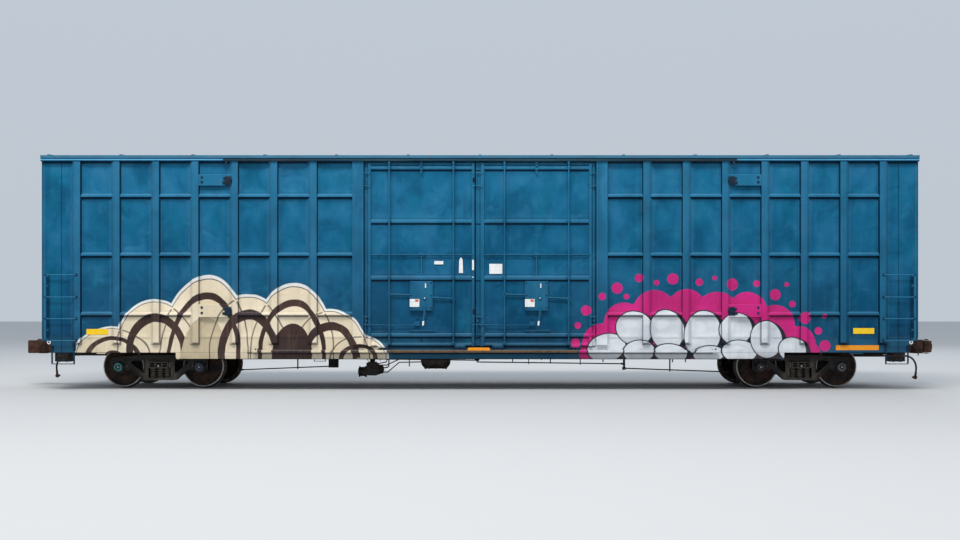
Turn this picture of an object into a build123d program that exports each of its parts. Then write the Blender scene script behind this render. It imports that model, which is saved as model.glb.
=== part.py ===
from build123d import *
import math
import os

os.makedirs("parts", exist_ok=True)

# Railroad boxcar, 60 ft class, outside posts, double plug doors, high cube.
# Frame: X along the car, the side seen from the track faces -Y, +Z up, millimetres.
# Origin: car centre, on the level of the lowest point of the wheel flanges.
# "out" below is a distance from the centreline towards the near side (-Y).

# ---- wheels and rail level
TREAD_R = 457.0          # 36 in wheel
FLANGE_R = 482.5
AXLE_Z = FLANGE_R
RAIL_Z = FLANGE_R - TREAD_R
FLANGE_BACK = 680.0      # back of flange from the centreline
RIM_OUT = 822.0          # outer face of the rim from the centreline
AXLE_SPACING = 1778.0
TRUCK_CENTRES = 14097.0
TRUCK_X = TRUCK_CENTRES / 2
HALF_AXLES = AXLE_SPACING / 2
JOURNAL_Y = 1003.5       # middle of each journal
JOURNAL_R = 79.5
BEARING_BORE_R = 80.0
BEARING_R = 124.0

# ---- body
HALF_LEN = 9418.0        # over the corner posts
IN_HALF_W = 1448.0       # inside of the load space
PANEL_OUT = 1515.0       # outer face of the side sheets
BELT_OUT = 1568.0        # outer face of the horizontal belts
POST_OUT = 1585.0        # outer face of the posts
EAVE_OUT = 1590.0
TRACK_OUT = 1625.0       # lower door track, widest point of the car
FLOOR_TOP = 1165.0
WALL_BOTTOM = 1141.0
EAVE_BOTTOM = 4918.0
EAVE_TOP = 4990.0
ROOF_EDGE_TOP = 5045.0
ROOF_PEAK = 5205.0
ROOF_EDGE_OUT = 1600.0
END_IN = 9300.0          # inside of the end walls
END_RIBS = 10
END_Z0 = WALL_BOTTOM + 24
END_RIB_PITCH = (EAVE_TOP - END_Z0) / END_RIBS

# ---- side framing
POST_FIRST = 3500.0
POST_PITCH = 845.3
POST_COUNT = 7
POST_FACE = 130.0
POST_FOOT_Z = 980.0
BELT_Z = (1644.0, 2917.0, 4179.0)
BELT_FACE = 62.0
BELT_FOOT = 96.0
DOOR_POST_X = (2497.0, 2740.0)
WALL_END = 8790.0
SILL_IN = 1420.0
SILL_BOTTOM = 809.0
SILL_END = 9230.0
SKIRT_BOTTOM = 670.0
SKIRT_END = 6545.0

# ---- doors: centre and half width of the raised frame; each leaf fills its half of the opening
DOORS = {"left": (-1258.0, 1196.0), "right": (1213.0, 1196.0)}
LEAVES = {"left": (-2494.0, -58.0), "right": (-52.0, 2494.0)}
DOOR_Z = (955.0, 4885.0)
DOOR_PLUG_TOP = 4915.0
DOOR_SKIN = 1530.0
DOOR_FRAME = 1566.0
LOCK_BAR_R = 17.0
LOCK_BAR_OUT = 1585.0
LOCK_BAR_DX = 688.0
TRACK_END = 5500.0
LOW_TRACK_X = (-4870.0, 5110.0)
STOP_X = (5310.0, 6036.0)
STOP_Z = ((4391.0, 4638.0), (1571.0, 1855.0))

# ---- underframe
SILL_HALF = 178.0
CENTRE_SILL_Z = (720.0, 1050.0)
COUPLER_Z = 901.0
PULLING_FACE = 10350.0


# ---------------------------------------------------------------- helpers
def near(a):
    return -a


def block(x0, x1, y0, y1, z0, z1):
    xs, ys, zs = sorted((x0, x1)), sorted((y0, y1)), sorted((z0, z1))
    return Pos((xs[0] + xs[1]) / 2, (ys[0] + ys[1]) / 2, (zs[0] + zs[1]) / 2) * Box(
        xs[1] - xs[0], ys[1] - ys[0], zs[1] - zs[0]
    )


def out_block(x0, x1, o0, o1, z0, z1):
    return block(x0, x1, -o0, -o1, z0, z1)


def prism(points, vector):
    face = Face(Wire.make_polygon([Vector(*p) for p in points], close=True))
    return Solid.extrude(face, Vector(*vector))


def profile_xy(points, z0, z1):
    return prism([(x, y, z0) for x, y in points], (0, 0, z1 - z0))


def profile_xz(points, y0, y1):
    return prism([(x, y0, z) for x, z in points], (0, y1 - y0, 0))


def profile_yz(points, x0, x1):
    return prism([(x0, y, z) for y, z in points], (x1 - x0, 0, 0))


def rod(p, q, r):
    p, q = Vector(*p), Vector(*q)
    return Solid.make_cylinder(r, (q - p).length, Plane(origin=p, z_dir=q - p))


def tube(p, q, r_out, r_in):
    p, q = Vector(*p), Vector(*q)
    d = (q - p).normalized()
    return rod(p, q, r_out) - rod(p - d * 5, q + d * 5, r_in)


def joined(first, *rest):
    shape = first
    for other in rest:
        shape = shape + other
    return shape


def turned(shape):
    # the far side is the near side turned half way round the vertical axis
    return shape.rotate(Axis.Z, 180)


def solids_of(*shapes):
    found = []
    for s in shapes:
        found.extend(s.solids())
    return found


def save(name, *shapes):
    export_step(Compound(solids_of(*shapes)), f"parts/{name}.step")


# ---------------------------------------------------------------- centre sill
def centre_sill():
    z0, z1 = CENTRE_SILL_Z
    web, flange_w, flange_t, cover = 16.0, 60.0, 16.0, 14.0
    section = [
        (-SILL_HALF - flange_w, z0), (-SILL_HALF + web, z0), (-SILL_HALF + web, z1 - cover),
        (SILL_HALF - web, z1 - cover), (SILL_HALF - web, z0), (SILL_HALF + flange_w, z0),
        (SILL_HALF + flange_w, z0 + flange_t), (SILL_HALF, z0 + flange_t), (SILL_HALF, z1),
        (-SILL_HALF, z1), (-SILL_HALF, z0 + flange_t), (-SILL_HALF - flange_w, z0 + flange_t),
    ]
    sill = profile_yz(section, -HALF_LEN, HALF_LEN)
    pieces = [sill]
    for s in (-1, 1):
        # striker: a thick frame round the coupler shank at the sill's end
        striker = block(s * HALF_LEN, s * (HALF_LEN + 60), -230, 230, z0 - 10, z1 + 20)
        striker = striker - block(s * (HALF_LEN - 5), s * (HALF_LEN + 65), -125, 125, COUPLER_Z - 100, COUPLER_Z + 100)
        pieces.append(striker)
        # draft housing beyond the striker, open along its length for the shank
        housing = block(s * (HALF_LEN + 55), s * (HALF_LEN + 350), -170, 170, 560, 1030)
        pieces.append(housing - block(s * (HALF_LEN + 50), s * (HALF_LEN + 355), -110, 110, COUPLER_Z - 115, COUPLER_Z + 110))
        # bottom tie plate and the filler over the truck with the centre plate under it
        pieces.append(block(s * (TRUCK_X - 300), s * (TRUCK_X + 300), -SILL_HALF - flange_w, SILL_HALF + flange_w, z0 - 12, z0))
        pieces.append(rod((s * TRUCK_X, 0, 681), (s * TRUCK_X, 0, z0 - 12), 175))
    return joined(*pieces)


# ---------------------------------------------------------------- crossmembers
def crossmembers():
    out = []
    flange_top = CENTRE_SILL_Z[0] + 16
    for s in (-1, 1):
        for side in (-1, 1):
            # bolster arm: deep at the sill, shallow at the side, with the side bearing pad below
            arm = profile_yz(
                [(side * SILL_HALF, flange_top), (side * SILL_HALF, 1050), (side * SILL_IN, 1050),
                 (side * SILL_IN, 905), (side * 780, flange_top)],
                s * TRUCK_X - 230, s * TRUCK_X + 230,
            )
            pad = block(s * TRUCK_X - 150, s * TRUCK_X + 150, side * 540, side * 720, 700, flange_top)
            out.append(arm + pad)
    # x, web half thickness, depth at the sill
    bearers = [(x, 45.0, 300.0) for x in (-5000, -3200, -1560, 1560, 3370, 5000)]
    ties = [(x, 25.0, 130.0) for x in (-8900, -5520, -4100, -2000, 0, 2400, 4150, 5520, 8900)]
    for x, half, depth in bearers + ties:
        for side in (-1, 1):
            out.append(
                profile_yz(
                    [(side * SILL_HALF, 1050 - depth), (side * SILL_HALF, 1050), (side * SILL_IN, 1050),
                     (side * SILL_IN, 1050 - min(depth, 130.0))],
                    x - half, x + half,
                )
            )
    return out


def floor():
    top = block(-END_IN, END_IN, -IN_HALF_W, IN_HALF_W, WALL_BOTTOM, FLOOR_TOP)
    under = block(-END_IN, END_IN, -SILL_IN, SILL_IN, 1050, WALL_BOTTOM)
    return top + under


# ---------------------------------------------------------------- side sill
def side_sill():
    x, chamfer = SILL_END, 60.0
    plate = profile_xz(
        [(-x, SILL_BOTTOM), (x, SILL_BOTTOM), (x, 1075), (HALF_LEN, 1075), (HALF_LEN, WALL_BOTTOM),
         (-HALF_LEN, WALL_BOTTOM), (-HALF_LEN, 1075), (-x, 1075)],
        near(SILL_IN), near(PANEL_OUT),
    )
    skirt = profile_xz(
        [(-SKIRT_END, SILL_BOTTOM + 10), (-SKIRT_END, SKIRT_BOTTOM + chamfer), (-SKIRT_END + chamfer, SKIRT_BOTTOM),
         (SKIRT_END - chamfer, SKIRT_BOTTOM), (SKIRT_END, SKIRT_BOTTOM + chamfer), (SKIRT_END, SILL_BOTTOM + 10)],
        near(1492), near(PANEL_OUT - 3),
    )
    angle = out_block(-SKIRT_END, SKIRT_END, SILL_IN, PANEL_OUT - 3, SKIRT_BOTTOM, SKIRT_BOTTOM + 12)
    angle = angle - out_block(-SKIRT_END - 1, -SKIRT_END + chamfer, SILL_IN - 1, PANEL_OUT, SKIRT_BOTTOM - 1, SKIRT_BOTTOM + 13)
    angle = angle - out_block(SKIRT_END - chamfer, SKIRT_END + 1, SILL_IN - 1, PANEL_OUT, SKIRT_BOTTOM - 1, SKIRT_BOTTOM + 13)
    return joined(plate, skirt, angle)


# ---------------------------------------------------------------- side wall
def post(x_face, s):
    # hat section: upright inboard flank, long sloping outboard flank
    pts = [(x_face - 14, PANEL_OUT), (x_face, POST_OUT), (x_face + POST_FACE, POST_OUT), (x_face + POST_FACE + 80, PANEL_OUT)]
    return profile_xy([(s * x, -o) for x, o in pts], POST_FOOT_Z, EAVE_BOTTOM)


def belt(x0, x1, z, s):
    pts = [(PANEL_OUT, z - BELT_FOOT / 2), (BELT_OUT, z - BELT_FACE / 2 + 6), (BELT_OUT, z + BELT_FACE / 2 - 16), (PANEL_OUT, z + BELT_FOOT / 2)]
    return profile_yz([(-o, zz) for o, zz in pts], s * x0, s * x1)


def side_wall(s):
    # one sheet from the door post to the last post, posts and belts welded on
    wall = out_block(s * DOOR_POST_X[0], s * WALL_END, IN_HALF_W, PANEL_OUT, WALL_BOTTOM, EAVE_BOTTOM)
    pieces = [wall, out_block(s * DOOR_POST_X[0], s * DOOR_POST_X[1], PANEL_OUT, POST_OUT, POST_FOOT_Z, EAVE_BOTTOM)]
    faces = [POST_FIRST + k * POST_PITCH for k in range(POST_COUNT)]
    pieces += [post(x, s) for x in faces]
    starts = [DOOR_POST_X[1]] + [x + POST_FACE + 20 for x in faces[:-1]]
    for x0, x1 in zip(starts, faces):
        pieces += [belt(x0 - 10, x1 + 5, z, s) for z in BELT_Z]
    # two stop plates for the open door, high and low, between two posts
    pieces += [out_block(s * STOP_X[0], s * STOP_X[1], PANEL_OUT, POST_OUT - 4, a, b) for a, b in STOP_Z]
    return joined(*pieces)


def corner_panel(s):
    # plain sheet behind the side ladder, with the corner post's angle that laps the end wall
    sheet = out_block(s * WALL_END, s * HALF_LEN, IN_HALF_W, PANEL_OUT, WALL_BOTTOM, EAVE_BOTTOM)
    return sheet + out_block(s * (HALF_LEN - 12), s * HALF_LEN, PANEL_OUT - 5, PANEL_OUT + 14, WALL_BOTTOM, EAVE_BOTTOM)


def top_chord():
    pts = [(IN_HALF_W, EAVE_BOTTOM), (EAVE_OUT, EAVE_BOTTOM), (EAVE_OUT + 6, EAVE_BOTTOM + 8), (EAVE_OUT + 6, EAVE_BOTTOM + 22),
           (EAVE_OUT, EAVE_BOTTOM + 30), (EAVE_OUT, EAVE_TOP), (IN_HALF_W, EAVE_TOP)]
    return profile_yz([(-o, z) for o, z in pts], -HALF_LEN, HALF_LEN)


# ---------------------------------------------------------------- ends
def end_wall(s):
    # corrugated steel end: (pitch, depth) of the ribs, one profile pulled across the car
    z0, z1, ribs, pitch = END_Z0, EAVE_TOP, END_RIBS, END_RIB_PITCH
    base, proud = END_IN + 40, HALF_LEN - 14
    pts = [(END_IN, z0), (base, z0)]
    for k in range(ribs):
        b = z0 + k * pitch
        pts += [(base, b + 0.16 * pitch), (proud, b + 0.34 * pitch), (proud, b + 0.66 * pitch), (base, b + 0.84 * pitch)]
    pts += [(base, z1), (END_IN, z1)]
    sheet = profile_xz([(s * x, z) for x, z in pts], -IN_HALF_W, IN_HALF_W)
    slope = (ROOF_PEAK - ROOF_EDGE_TOP) / ROOF_EDGE_OUT
    under = EAVE_TOP + (ROOF_EDGE_OUT - IN_HALF_W) * slope
    gable = profile_yz(
        [(-IN_HALF_W, EAVE_TOP), (IN_HALF_W, EAVE_TOP), (IN_HALF_W, under), (0, EAVE_TOP + ROOF_EDGE_OUT * slope), (-IN_HALF_W, under)],
        s * END_IN, s * (END_IN + 60),
    )
    # end sill beam below the sheet
    beam = block(s * END_IN, s * HALF_LEN, -SILL_IN, SILL_IN, 1050 + 22, WALL_BOTTOM)
    beam = beam + block(s * END_IN, s * HALF_LEN, -IN_HALF_W, IN_HALF_W, WALL_BOTTOM, z0)
    return joined(sheet, gable, beam)


def roof():
    thick = ROOF_EDGE_TOP - EAVE_TOP
    pts = [(-ROOF_EDGE_OUT, EAVE_TOP), (-ROOF_EDGE_OUT, ROOF_EDGE_TOP), (0, ROOF_PEAK), (ROOF_EDGE_OUT, ROOF_EDGE_TOP), (ROOF_EDGE_OUT, EAVE_TOP), (0, ROOF_PEAK - thick)]
    shape = profile_yz(pts, -HALF_LEN, HALF_LEN)
    panels, cap_half, cap_rise = 12, 32.0, 22.0
    pitch = (2 * HALF_LEN - 2 * cap_half - 280) / panels
    for k in range(panels + 1):
        x = -HALF_LEN + cap_half + 140 + k * pitch
        cap = [(-ROOF_EDGE_OUT, ROOF_EDGE_TOP - 4), (-ROOF_EDGE_OUT, ROOF_EDGE_TOP + 8), (-ROOF_EDGE_OUT + 60, ROOF_EDGE_TOP + cap_rise + 6),
               (0, ROOF_PEAK + cap_rise), (ROOF_EDGE_OUT - 60, ROOF_EDGE_TOP + cap_rise + 6), (ROOF_EDGE_OUT, ROOF_EDGE_TOP + 8), (ROOF_EDGE_OUT, ROOF_EDGE_TOP - 4), (0, ROOF_PEAK - 4)]
        shape = shape + profile_yz(cap, x - cap_half, x + cap_half)
    return shape


# ---------------------------------------------------------------- door tracks
def upper_track():
    return out_block(-TRACK_END, TRACK_END, EAVE_OUT + 6, TRACK_OUT - 5, EAVE_BOTTOM + 8, EAVE_BOTTOM + 22)


def lower_track():
    x0, x1 = LOW_TRACK_X
    ledge = out_block(x0, x1, PANEL_OUT, TRACK_OUT, 838, 862)
    lip = out_block(x0, x1, TRACK_OUT - 12, TRACK_OUT, 822, 838)
    middle = out_block(-262, 212, TRACK_OUT - 20, TRACK_OUT, 862, 928)
    ends = [out_block(x, x + 110, PANEL_OUT + 20, TRACK_OUT - 20, 862, 915) for x in (x0 + 10, x1 - 120)]
    return joined(ledge, lip, middle, *ends)


# ---------------------------------------------------------------- plug doors
RIBS = (  # z low, z high of each horizontal rib of a door leaf
    (4732.0, 4832.0), (3582.0, 3678.0), (2363.0, 2473.0), (1146.0, 1236.0), (958.0, 1026.0),
)


def plug_door(cx, half, leaf):
    z0, z1 = DOOR_Z
    pieces = [
        out_block(leaf[0], leaf[1], 1456, DOOR_SKIN, z0 + 215, DOOR_PLUG_TOP),
        out_block(leaf[0], leaf[1], 1517, DOOR_SKIN, z0, z0 + 215),
    ]
    stile = 88.0
    for s in (-1, 1):
        pieces.append(out_block(cx + s * half, cx + s * (half - stile), DOOR_SKIN, DOOR_FRAME, z0, z1))
    for a, b in RIBS:
        pts = [(DOOR_SKIN, a), (DOOR_FRAME - 6, a + 12), (DOOR_FRAME - 6, b - 22), (DOOR_SKIN, b)]
        pieces.append(profile_yz([(-o, z) for o, z in pts], cx - half + 40, cx + half - 40))
    # hanger that carries the leaf from the upper track, and the two roller carriages below
    pieces.append(out_block(cx - 22, cx + 22, DOOR_FRAME - 6, 1590, 4650, 4905))
    for dx in (-830.0, 830.0):
        pieces.append(out_block(cx + dx - 120, cx + dx + 120, DOOR_SKIN, 1600, 900, 1010))
    return joined(*pieces)


def lock_bars():
    out = []
    for cx, _ in DOORS.values():
        for s in (-1, 1):
            x = cx + s * LOCK_BAR_DX
            out.append(rod((x, near(LOCK_BAR_OUT), 1012), (x, near(LOCK_BAR_OUT), 4910), LOCK_BAR_R))
    return out


def gearboxes():
    out = []
    for cx, _ in DOORS.values():
        plate = out_block(cx - 243, cx + 243, DOOR_FRAME - 4, 1578, 1716, 2358)
        hub = rod((cx + 70, near(1570), 1800), (cx + 70, near(1604), 1800), 34)
        crank = out_block(cx + 52, cx + 88, 1592, 1604, 1380, 1800)
        grip = rod((cx + 70, near(1596), 1390), (cx + 70, near(1622), 1390), 15)
        out.append(joined(plate, hub, crank, grip))
    return out


# ---------------------------------------------------------------- ladders and steps
RUNG_Z = (1074.0, 1545.0, 2007.0, 2485.0)


def side_ladder(s):
    o = 1598.0
    pieces = []
    for z in RUNG_Z:
        pieces.append(rod((s * 8730, near(o), z), (s * 9312, near(o), z), 11))
        pieces.append(out_block(s * 8712, s * 8742, POST_OUT, o + 10, z - 14, z + 14))
    pieces.append(out_block(s * 9300, s * 9324, o - 12, o + 12, RUNG_Z[0] - 14, RUNG_Z[-1] + 14))
    for z in (1300.0, 2250.0):
        pieces.append(out_block(s * 9302, s * 9322, PANEL_OUT, o, z - 18, z + 18))
    return joined(*pieces)


def end_ladder(s, side):
    # four rungs beside the corner, on two stiles that stand off the end
    x = s * (HALF_LEN + 42)
    y0, y1 = side * 930.0, side * 1400.0
    pieces = [block(x - 10, x + 10, y - 9, y + 9, RUNG_Z[0] - 14, RUNG_Z[-1] + 14) for y in (y0, y1)]
    pieces += [rod((x, y0, z), (x, y1, z), 11) for z in RUNG_Z]
    for y in (y0, y1):
        for rib in (0, 2):
            z = END_Z0 + (rib + 0.5) * END_RIB_PITCH
            pieces.append(block(s * (HALF_LEN - 14), x, y - 9, y + 9, z - 18, z + 18))
    pieces.append(block(s * HALF_LEN, x, y0 - 9, y0 + 9, 1090, 1120))
    pieces.append(block(s * HALF_LEN, x, y1 - 9, y1 + 9, 1090, 1120))
    return joined(*pieces)


def sill_step(s):
    x0, x1, o = 8722.0, 9196.0, 1532.0
    z_tread = 575.0
    pieces = [out_block(s * x0, s * x1, o - 38, o + 12, z_tread - 12, z_tread)]
    for x in (x0, x1):
        pieces.append(out_block(s * (x - 8), s * (x + 8), o - 12, o, z_tread - 12, 960))
        pieces.append(out_block(s * (x - 22), s * (x + 22), PANEL_OUT, o - 12, 860, 960))
    return joined(*pieces)


def crossover_platform(s):
    x0, x1 = HALF_LEN + 2, HALF_LEN + 250
    deck = block(s * x0, s * x1, -560, 560, 1128, 1146)
    pieces = [deck]
    for y in (-480.0, 480.0):
        pieces.append(profile_xz([(s * x0, 1128), (s * x1, 1128), (s * x0, 1078)], y - 8, y + 8))
    return joined(*pieces)


def hand_brake():
    # on the B end: flat housing with a vertical wheel
    x = HALF_LEN
    y, z = 560.0, 2780.0
    housing = block(x - 12, x + 150, y - 130, y + 130, z - 260, z + 200)
    shaft = rod((x + 150, y, z + 40), (x + 210, y, z + 40), 22)
    ring = Pos(x + 200, y, z + 40) * Rot(0, 90, 0) * Torus(265, 14)
    pieces = [housing, shaft, ring]
    for a in range(0, 360, 60):
        c, sn = math.cos(math.radians(a)), math.sin(math.radians(a))
        pieces.append(rod((x + 200, y + 15 * c, z + 40 + 15 * sn), (x + 200, y + 265 * c, z + 40 + 265 * sn), 9))
    return joined(*pieces)


def uncoupling_lever(s):
    # bent bar from the side of the end sill to the coupler lock
    x = HALF_LEN + 95
    route = [(x, s * -1330, 745), (x, s * -1330, 985), (x, s * -330, 985), (x + 120, s * -250, 985)]
    pts = [(s * px, py, pz) for px, py, pz in route]
    pieces = [rod(a, b, 13) for a, b in zip(pts, pts[1:])]
    pieces += [Pos(*p) * Sphere(13) for p in pts[1:-1]]
    for y in (-800.0, -420.0):
        pieces.append(block(s * HALF_LEN, s * (x + 14), s * (y - 14), s * (y + 14), 972, 1100))
    return joined(*pieces)


# ---------------------------------------------------------------- couplers
COUPLER_BODY = (  # x from the pulling face, y: plan outline of the head, looking down, nose to +X
    (-640, 65), (-420, 70), (-330, 150), (-120, 232), (10, 236), (34, 190), (-40, 150), (-110, 92),
    (-132, 30), (-132, -70), (-158, -196), (-330, -170), (-420, -70), (-640, -65),
)
KNUCKLE = (
    (-124, -64), (-60, -58), (-38, 0), (0, 22), (30, -10), (52, -70), (58, -130), (20, -190), (-60, -214), (-142, -204), (-150, -190),
)


def coupler(s):
    x0 = PULLING_FACE
    body = profile_xy([(x0 + x, y) for x, y in COUPLER_BODY], COUPLER_Z - 150, COUPLER_Z + 150)
    trim = block(x0 - 700, x0 - 420, -80, 80, COUPLER_Z - 160, COUPLER_Z - 75) + block(x0 - 700, x0 - 420, -80, 80, COUPLER_Z + 75, COUPLER_Z + 160)
    shank = block(HALF_LEN - 420, x0 - 600, -65, 65, COUPLER_Z - 75, COUPLER_Z + 75)
    shape = (body - trim) + shank
    return shape if s > 0 else turned(shape)


def knuckle(s):
    x0 = PULLING_FACE
    shape = profile_xy([(x0 + x, y) for x, y in KNUCKLE], COUPLER_Z - 135, COUPLER_Z + 135)
    return shape if s > 0 else turned(shape)


# ---------------------------------------------------------------- air brake
PIPE_Y, PIPE_Z, PIPE_R = -330.0, 695.0, 21.0
PIPE_END = HALF_LEN + 150
HOSE_D = 41.0            # air hose outer diameter


def brake_pipe():
    # train line: it crosses under the centre sill, and has an angle cock at each end
    route = [(-PIPE_END, -PIPE_Y, PIPE_Z), (-420, -PIPE_Y, PIPE_Z), (420, PIPE_Y, PIPE_Z), (PIPE_END, PIPE_Y, PIPE_Z)]
    shapes = [rod(a, b, PIPE_R) for a, b in zip(route, route[1:])]
    shapes += [Pos(*p) * Sphere(PIPE_R) for p in route[1:-1]]
    for s in (-1, 1):
        y = s * PIPE_Y
        shapes.append(rod((s * (PIPE_END - 10), y, PIPE_Z), (s * (PIPE_END + 90), y, PIPE_Z), 36))
        shapes.append(block(s * (PIPE_END + 20), s * (PIPE_END + 60), y - 9, y + 9, PIPE_Z + 30, PIPE_Z + 62))
        shapes.append(block(s * (PIPE_END + 20), s * (PIPE_END + 150), y - 9, y + 9, PIPE_Z + 50, PIPE_Z + 62))
        # bracket that ties the pipe end to the striker
        shapes.append(block(s * (HALF_LEN + 20), s * (HALF_LEN + 50), s * (PIPE_Y - 30), s * -232, PIPE_Z + 12, PIPE_Z + 60))
    return joined(*shapes)


HOSE_ROUTE = (  # x beyond the angle cock's face, y, z of the hose, from the cock down to the coupling
    (0.0, 0.0, PIPE_Z), (80.0, 0.0, PIPE_Z), (160.8, 2.0, 668.7), (230.2, 7.0, 614.5),
    (278.1, 12.0, 540.7), (300.9, 16.0, 455.7), (302.4, 19.0, 370.7), (292.9, 20.0, 293.3),
)


def hose_points(s):
    return [(s * (PIPE_END + 90 + x), s * (PIPE_Y + y), z) for x, y, z in HOSE_ROUTE]


def hose(points, diameter, name):
    pts = [Vector(*p) for p in points]
    radii = []
    for a, b, c in zip(pts, pts[1:], pts[2:]):
        turn = math.radians((b - a).get_angle(c - b))
        radii.append(0.45 * min((b - a).length, (c - b).length) / math.tan(turn / 2))
    path = FilletPolyline(*pts, radius=radii)
    wire = path.wire() if hasattr(path, "wire") else path
    length = wire.length
    start = Plane(origin=pts[0], z_dir=pts[1] - pts[0])
    solid = sweep(start * Circle(diameter / 2), path=wire)
    section = math.pi * diameter ** 2 / 4
    print(name, "radii", [round(r) for r in radii], "length", round(length, 1), "volume ratio", round(solid.volume / (section * length), 4))
    return solid


def glad_hand(points):
    # coupling head: barrel on the hose end and a flat hooked head with a round port
    p, q = Vector(*points[-2]), Vector(*points[-1])
    d = (q - p).normalized()
    side = d.cross(Vector(0, 1, 0)).normalized() * (1 if q.X > 0 else -1)
    barrel = rod(tuple(q), tuple(q + d * 62), 27)
    c = q + d * 92
    head = rod(tuple(c - Vector(0, 22, 0)), tuple(c + Vector(0, 22, 0)), 44)
    lug = rod(tuple(c - side * 48 - Vector(0, 15, 0)), tuple(c - side * 48 + Vector(0, 15, 0)), 22)
    return joined(barrel, head, lug)


def air_reservoir():
    # two-chamber tank beside the centre sill
    y, z, r = -640.0, 610.0, 190.0
    tank = rod((-1280, y, z), (-710, y, z), r)
    cap = rod((-1330, y, z), (-1280, y, z), r - 50) + rod((-710, y, z), (-660, y, z), r - 50)
    shape = tank + cap + rod((-1005, y, z), (-985, y, z), r + 10)
    for x in (-1140.0, -820.0):
        shape = shape + block(x - 25, x + 25, y - 120, y + 120, z + r - 60, 1050)
    return shape


def brake_cylinder():
    y, z = 560.0, 760.0
    shape = rod((-900, y, z), (-380, y, z), 160) + rod((-380, y, z), (-340, y, z), 190)
    shape = shape + rod((-340, y, z), (-60, y, z), 26)
    return shape + block(-760, -520, y - 70, y + 70, z + 140, 1050)


def control_valve():
    # pipe bracket that hangs low under the sill, with a valve portion on each end
    y = -520.0
    shape = block(-2560, -2290, y - 110, y + 110, 260, 560)
    shape = shape + rod((-2755, y, 350), (-2560, y, 350), 125) + rod((-2290, y, 395), (-2165, y, 395), 115)
    return shape + block(-2480, -2370, y - 60, y + 60, 560, 1050)


LEVERS = ((-3390.0, 400.0), (3270.0, 395.0))  # x of each body lever, z of its lower end


def brake_levers():
    # body levers on brackets, and the long rods that slope down towards the trucks
    out = []
    for x, z in LEVERS:
        s = 1 if x > 0 else -1
        y = s * -430.0
        lever = block(x - 25, x + 25, y - 10, y + 10, z, 1050)
        lever = lever + rod((x + s * 35, y, z + 22), (s * 5650, y, 335), 14)
        lever = lever + block(x - 42, x + 42, y - 22, y + 22, z - 15, z + 50)
        out.append(lever)
    return out


# ---------------------------------------------------------------- trucks
def side_frame(tx, side):
    y0, y1 = side * 925.0, side * 1078.0
    outline = [  # x from the truck centre, z: top chord, pedestals, sloping arms, spring seat
        (-1062, 425), (-1062, 655), (-1010, 690), (-800, 712), (-300, 750), (300, 750), (800, 712), (1010, 690), (1062, 655), (1062, 425),
        (1022, 425), (1022, 645), (756, 645), (756, 405), (700, 405), (640, 440), (345, 190), (-345, 190), (-640, 440), (-700, 405), (-756, 405),
        (-756, 645), (-1022, 645), (-1022, 425),
    ]
    body = profile_xz([(tx + x, z) for x, z in outline], y0, y1)
    window = block(tx - 246, tx + 246, y0 - side * 5, y1 + side * 5, 232, 618)
    body = body - window
    for s in (-1, 1):
        hole = profile_xz([(tx + s * x, z) for x, z in ((330, 640), (640, 618), (668, 560), (330, 292))], y0 - side * 5, y1 + side * 5)
        body = body - hole
    return body


def truck_bolster(tx):
    pts = [(-1150, 470), (-1150, 598), (-860, 612), (-620, 650), (620, 650), (860, 612), (1150, 598), (1150, 470), (900, 462), (560, 400), (-560, 400), (-900, 462)]
    body = profile_yz(pts, tx - 212, tx + 212)
    bowl = rod((tx, 0, 640), (tx, 0, 700), 205) - rod((tx, 0, 680), (tx, 0, 720), 180)
    shape = body + bowl
    for y in (-630.0, 630.0):
        shape = shape + block(tx - 130, tx + 130, y - 70, y + 70, 640, 692)
    return shape


def truck_springs(tx):
    out = []
    for side in (-1, 1):
        for x in (-158.0, 0.0, 158.0):
            for dy in (-37.0, 37.0):
                r = 70.0 if dy * side > 0 else 0.0
                if r:
                    out.append(rod((tx + x, side * 1001.5, 232), (tx + x, side * 1001.5, 462), r))
    return out


def truck_bearings(tx):
    out = []
    for s in (-1, 1):
        ax = tx + s * HALF_AXLES
        for side in (-1, 1):
            ring = tube((ax, side * 905, AXLE_Z), (ax, side * 1100, AXLE_Z), BEARING_R, BEARING_BORE_R)
            saddle = block(ax - 128, ax + 128, side * 930, side * 1073, AXLE_Z + 96, 644)
            saddle = saddle - rod((ax, side * 900, AXLE_Z), (ax, side * 1110, AXLE_Z), BEARING_R - 10)
            out.append(ring + saddle)
    return out


def brake_beams(tx):
    out = []
    for s in (-1, 1):
        x = tx + s * 330.0
        beam = block(x - 30, x + 30, -720, 720, 330, 400)
        strut = block(x - s * 30, x - s * 100, -40, 40, 320, 470)
        shape = beam + strut
        for side in (-1, 1):
            head = profile_xz(
                [(x - s * 30, 300), (x + s * 42, 300), (x + s * 62, 400), (x + s * 76, 470), (x + s * 30, 480), (x - s * 30, 420)],
                side * 700, side * 796,
            )
            wheel_clear = rod((tx + s * HALF_AXLES, side * 690, AXLE_Z), (tx + s * HALF_AXLES, side * 806, AXLE_Z), TREAD_R + 14)
            shape = shape + (head - wheel_clear)
            # end lugs that slide in the side frame guides
            shape = shape + block(x - 30, x + 30, side * 796, side * 920, 345, 385)
        out.append(shape)
    return out


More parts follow.
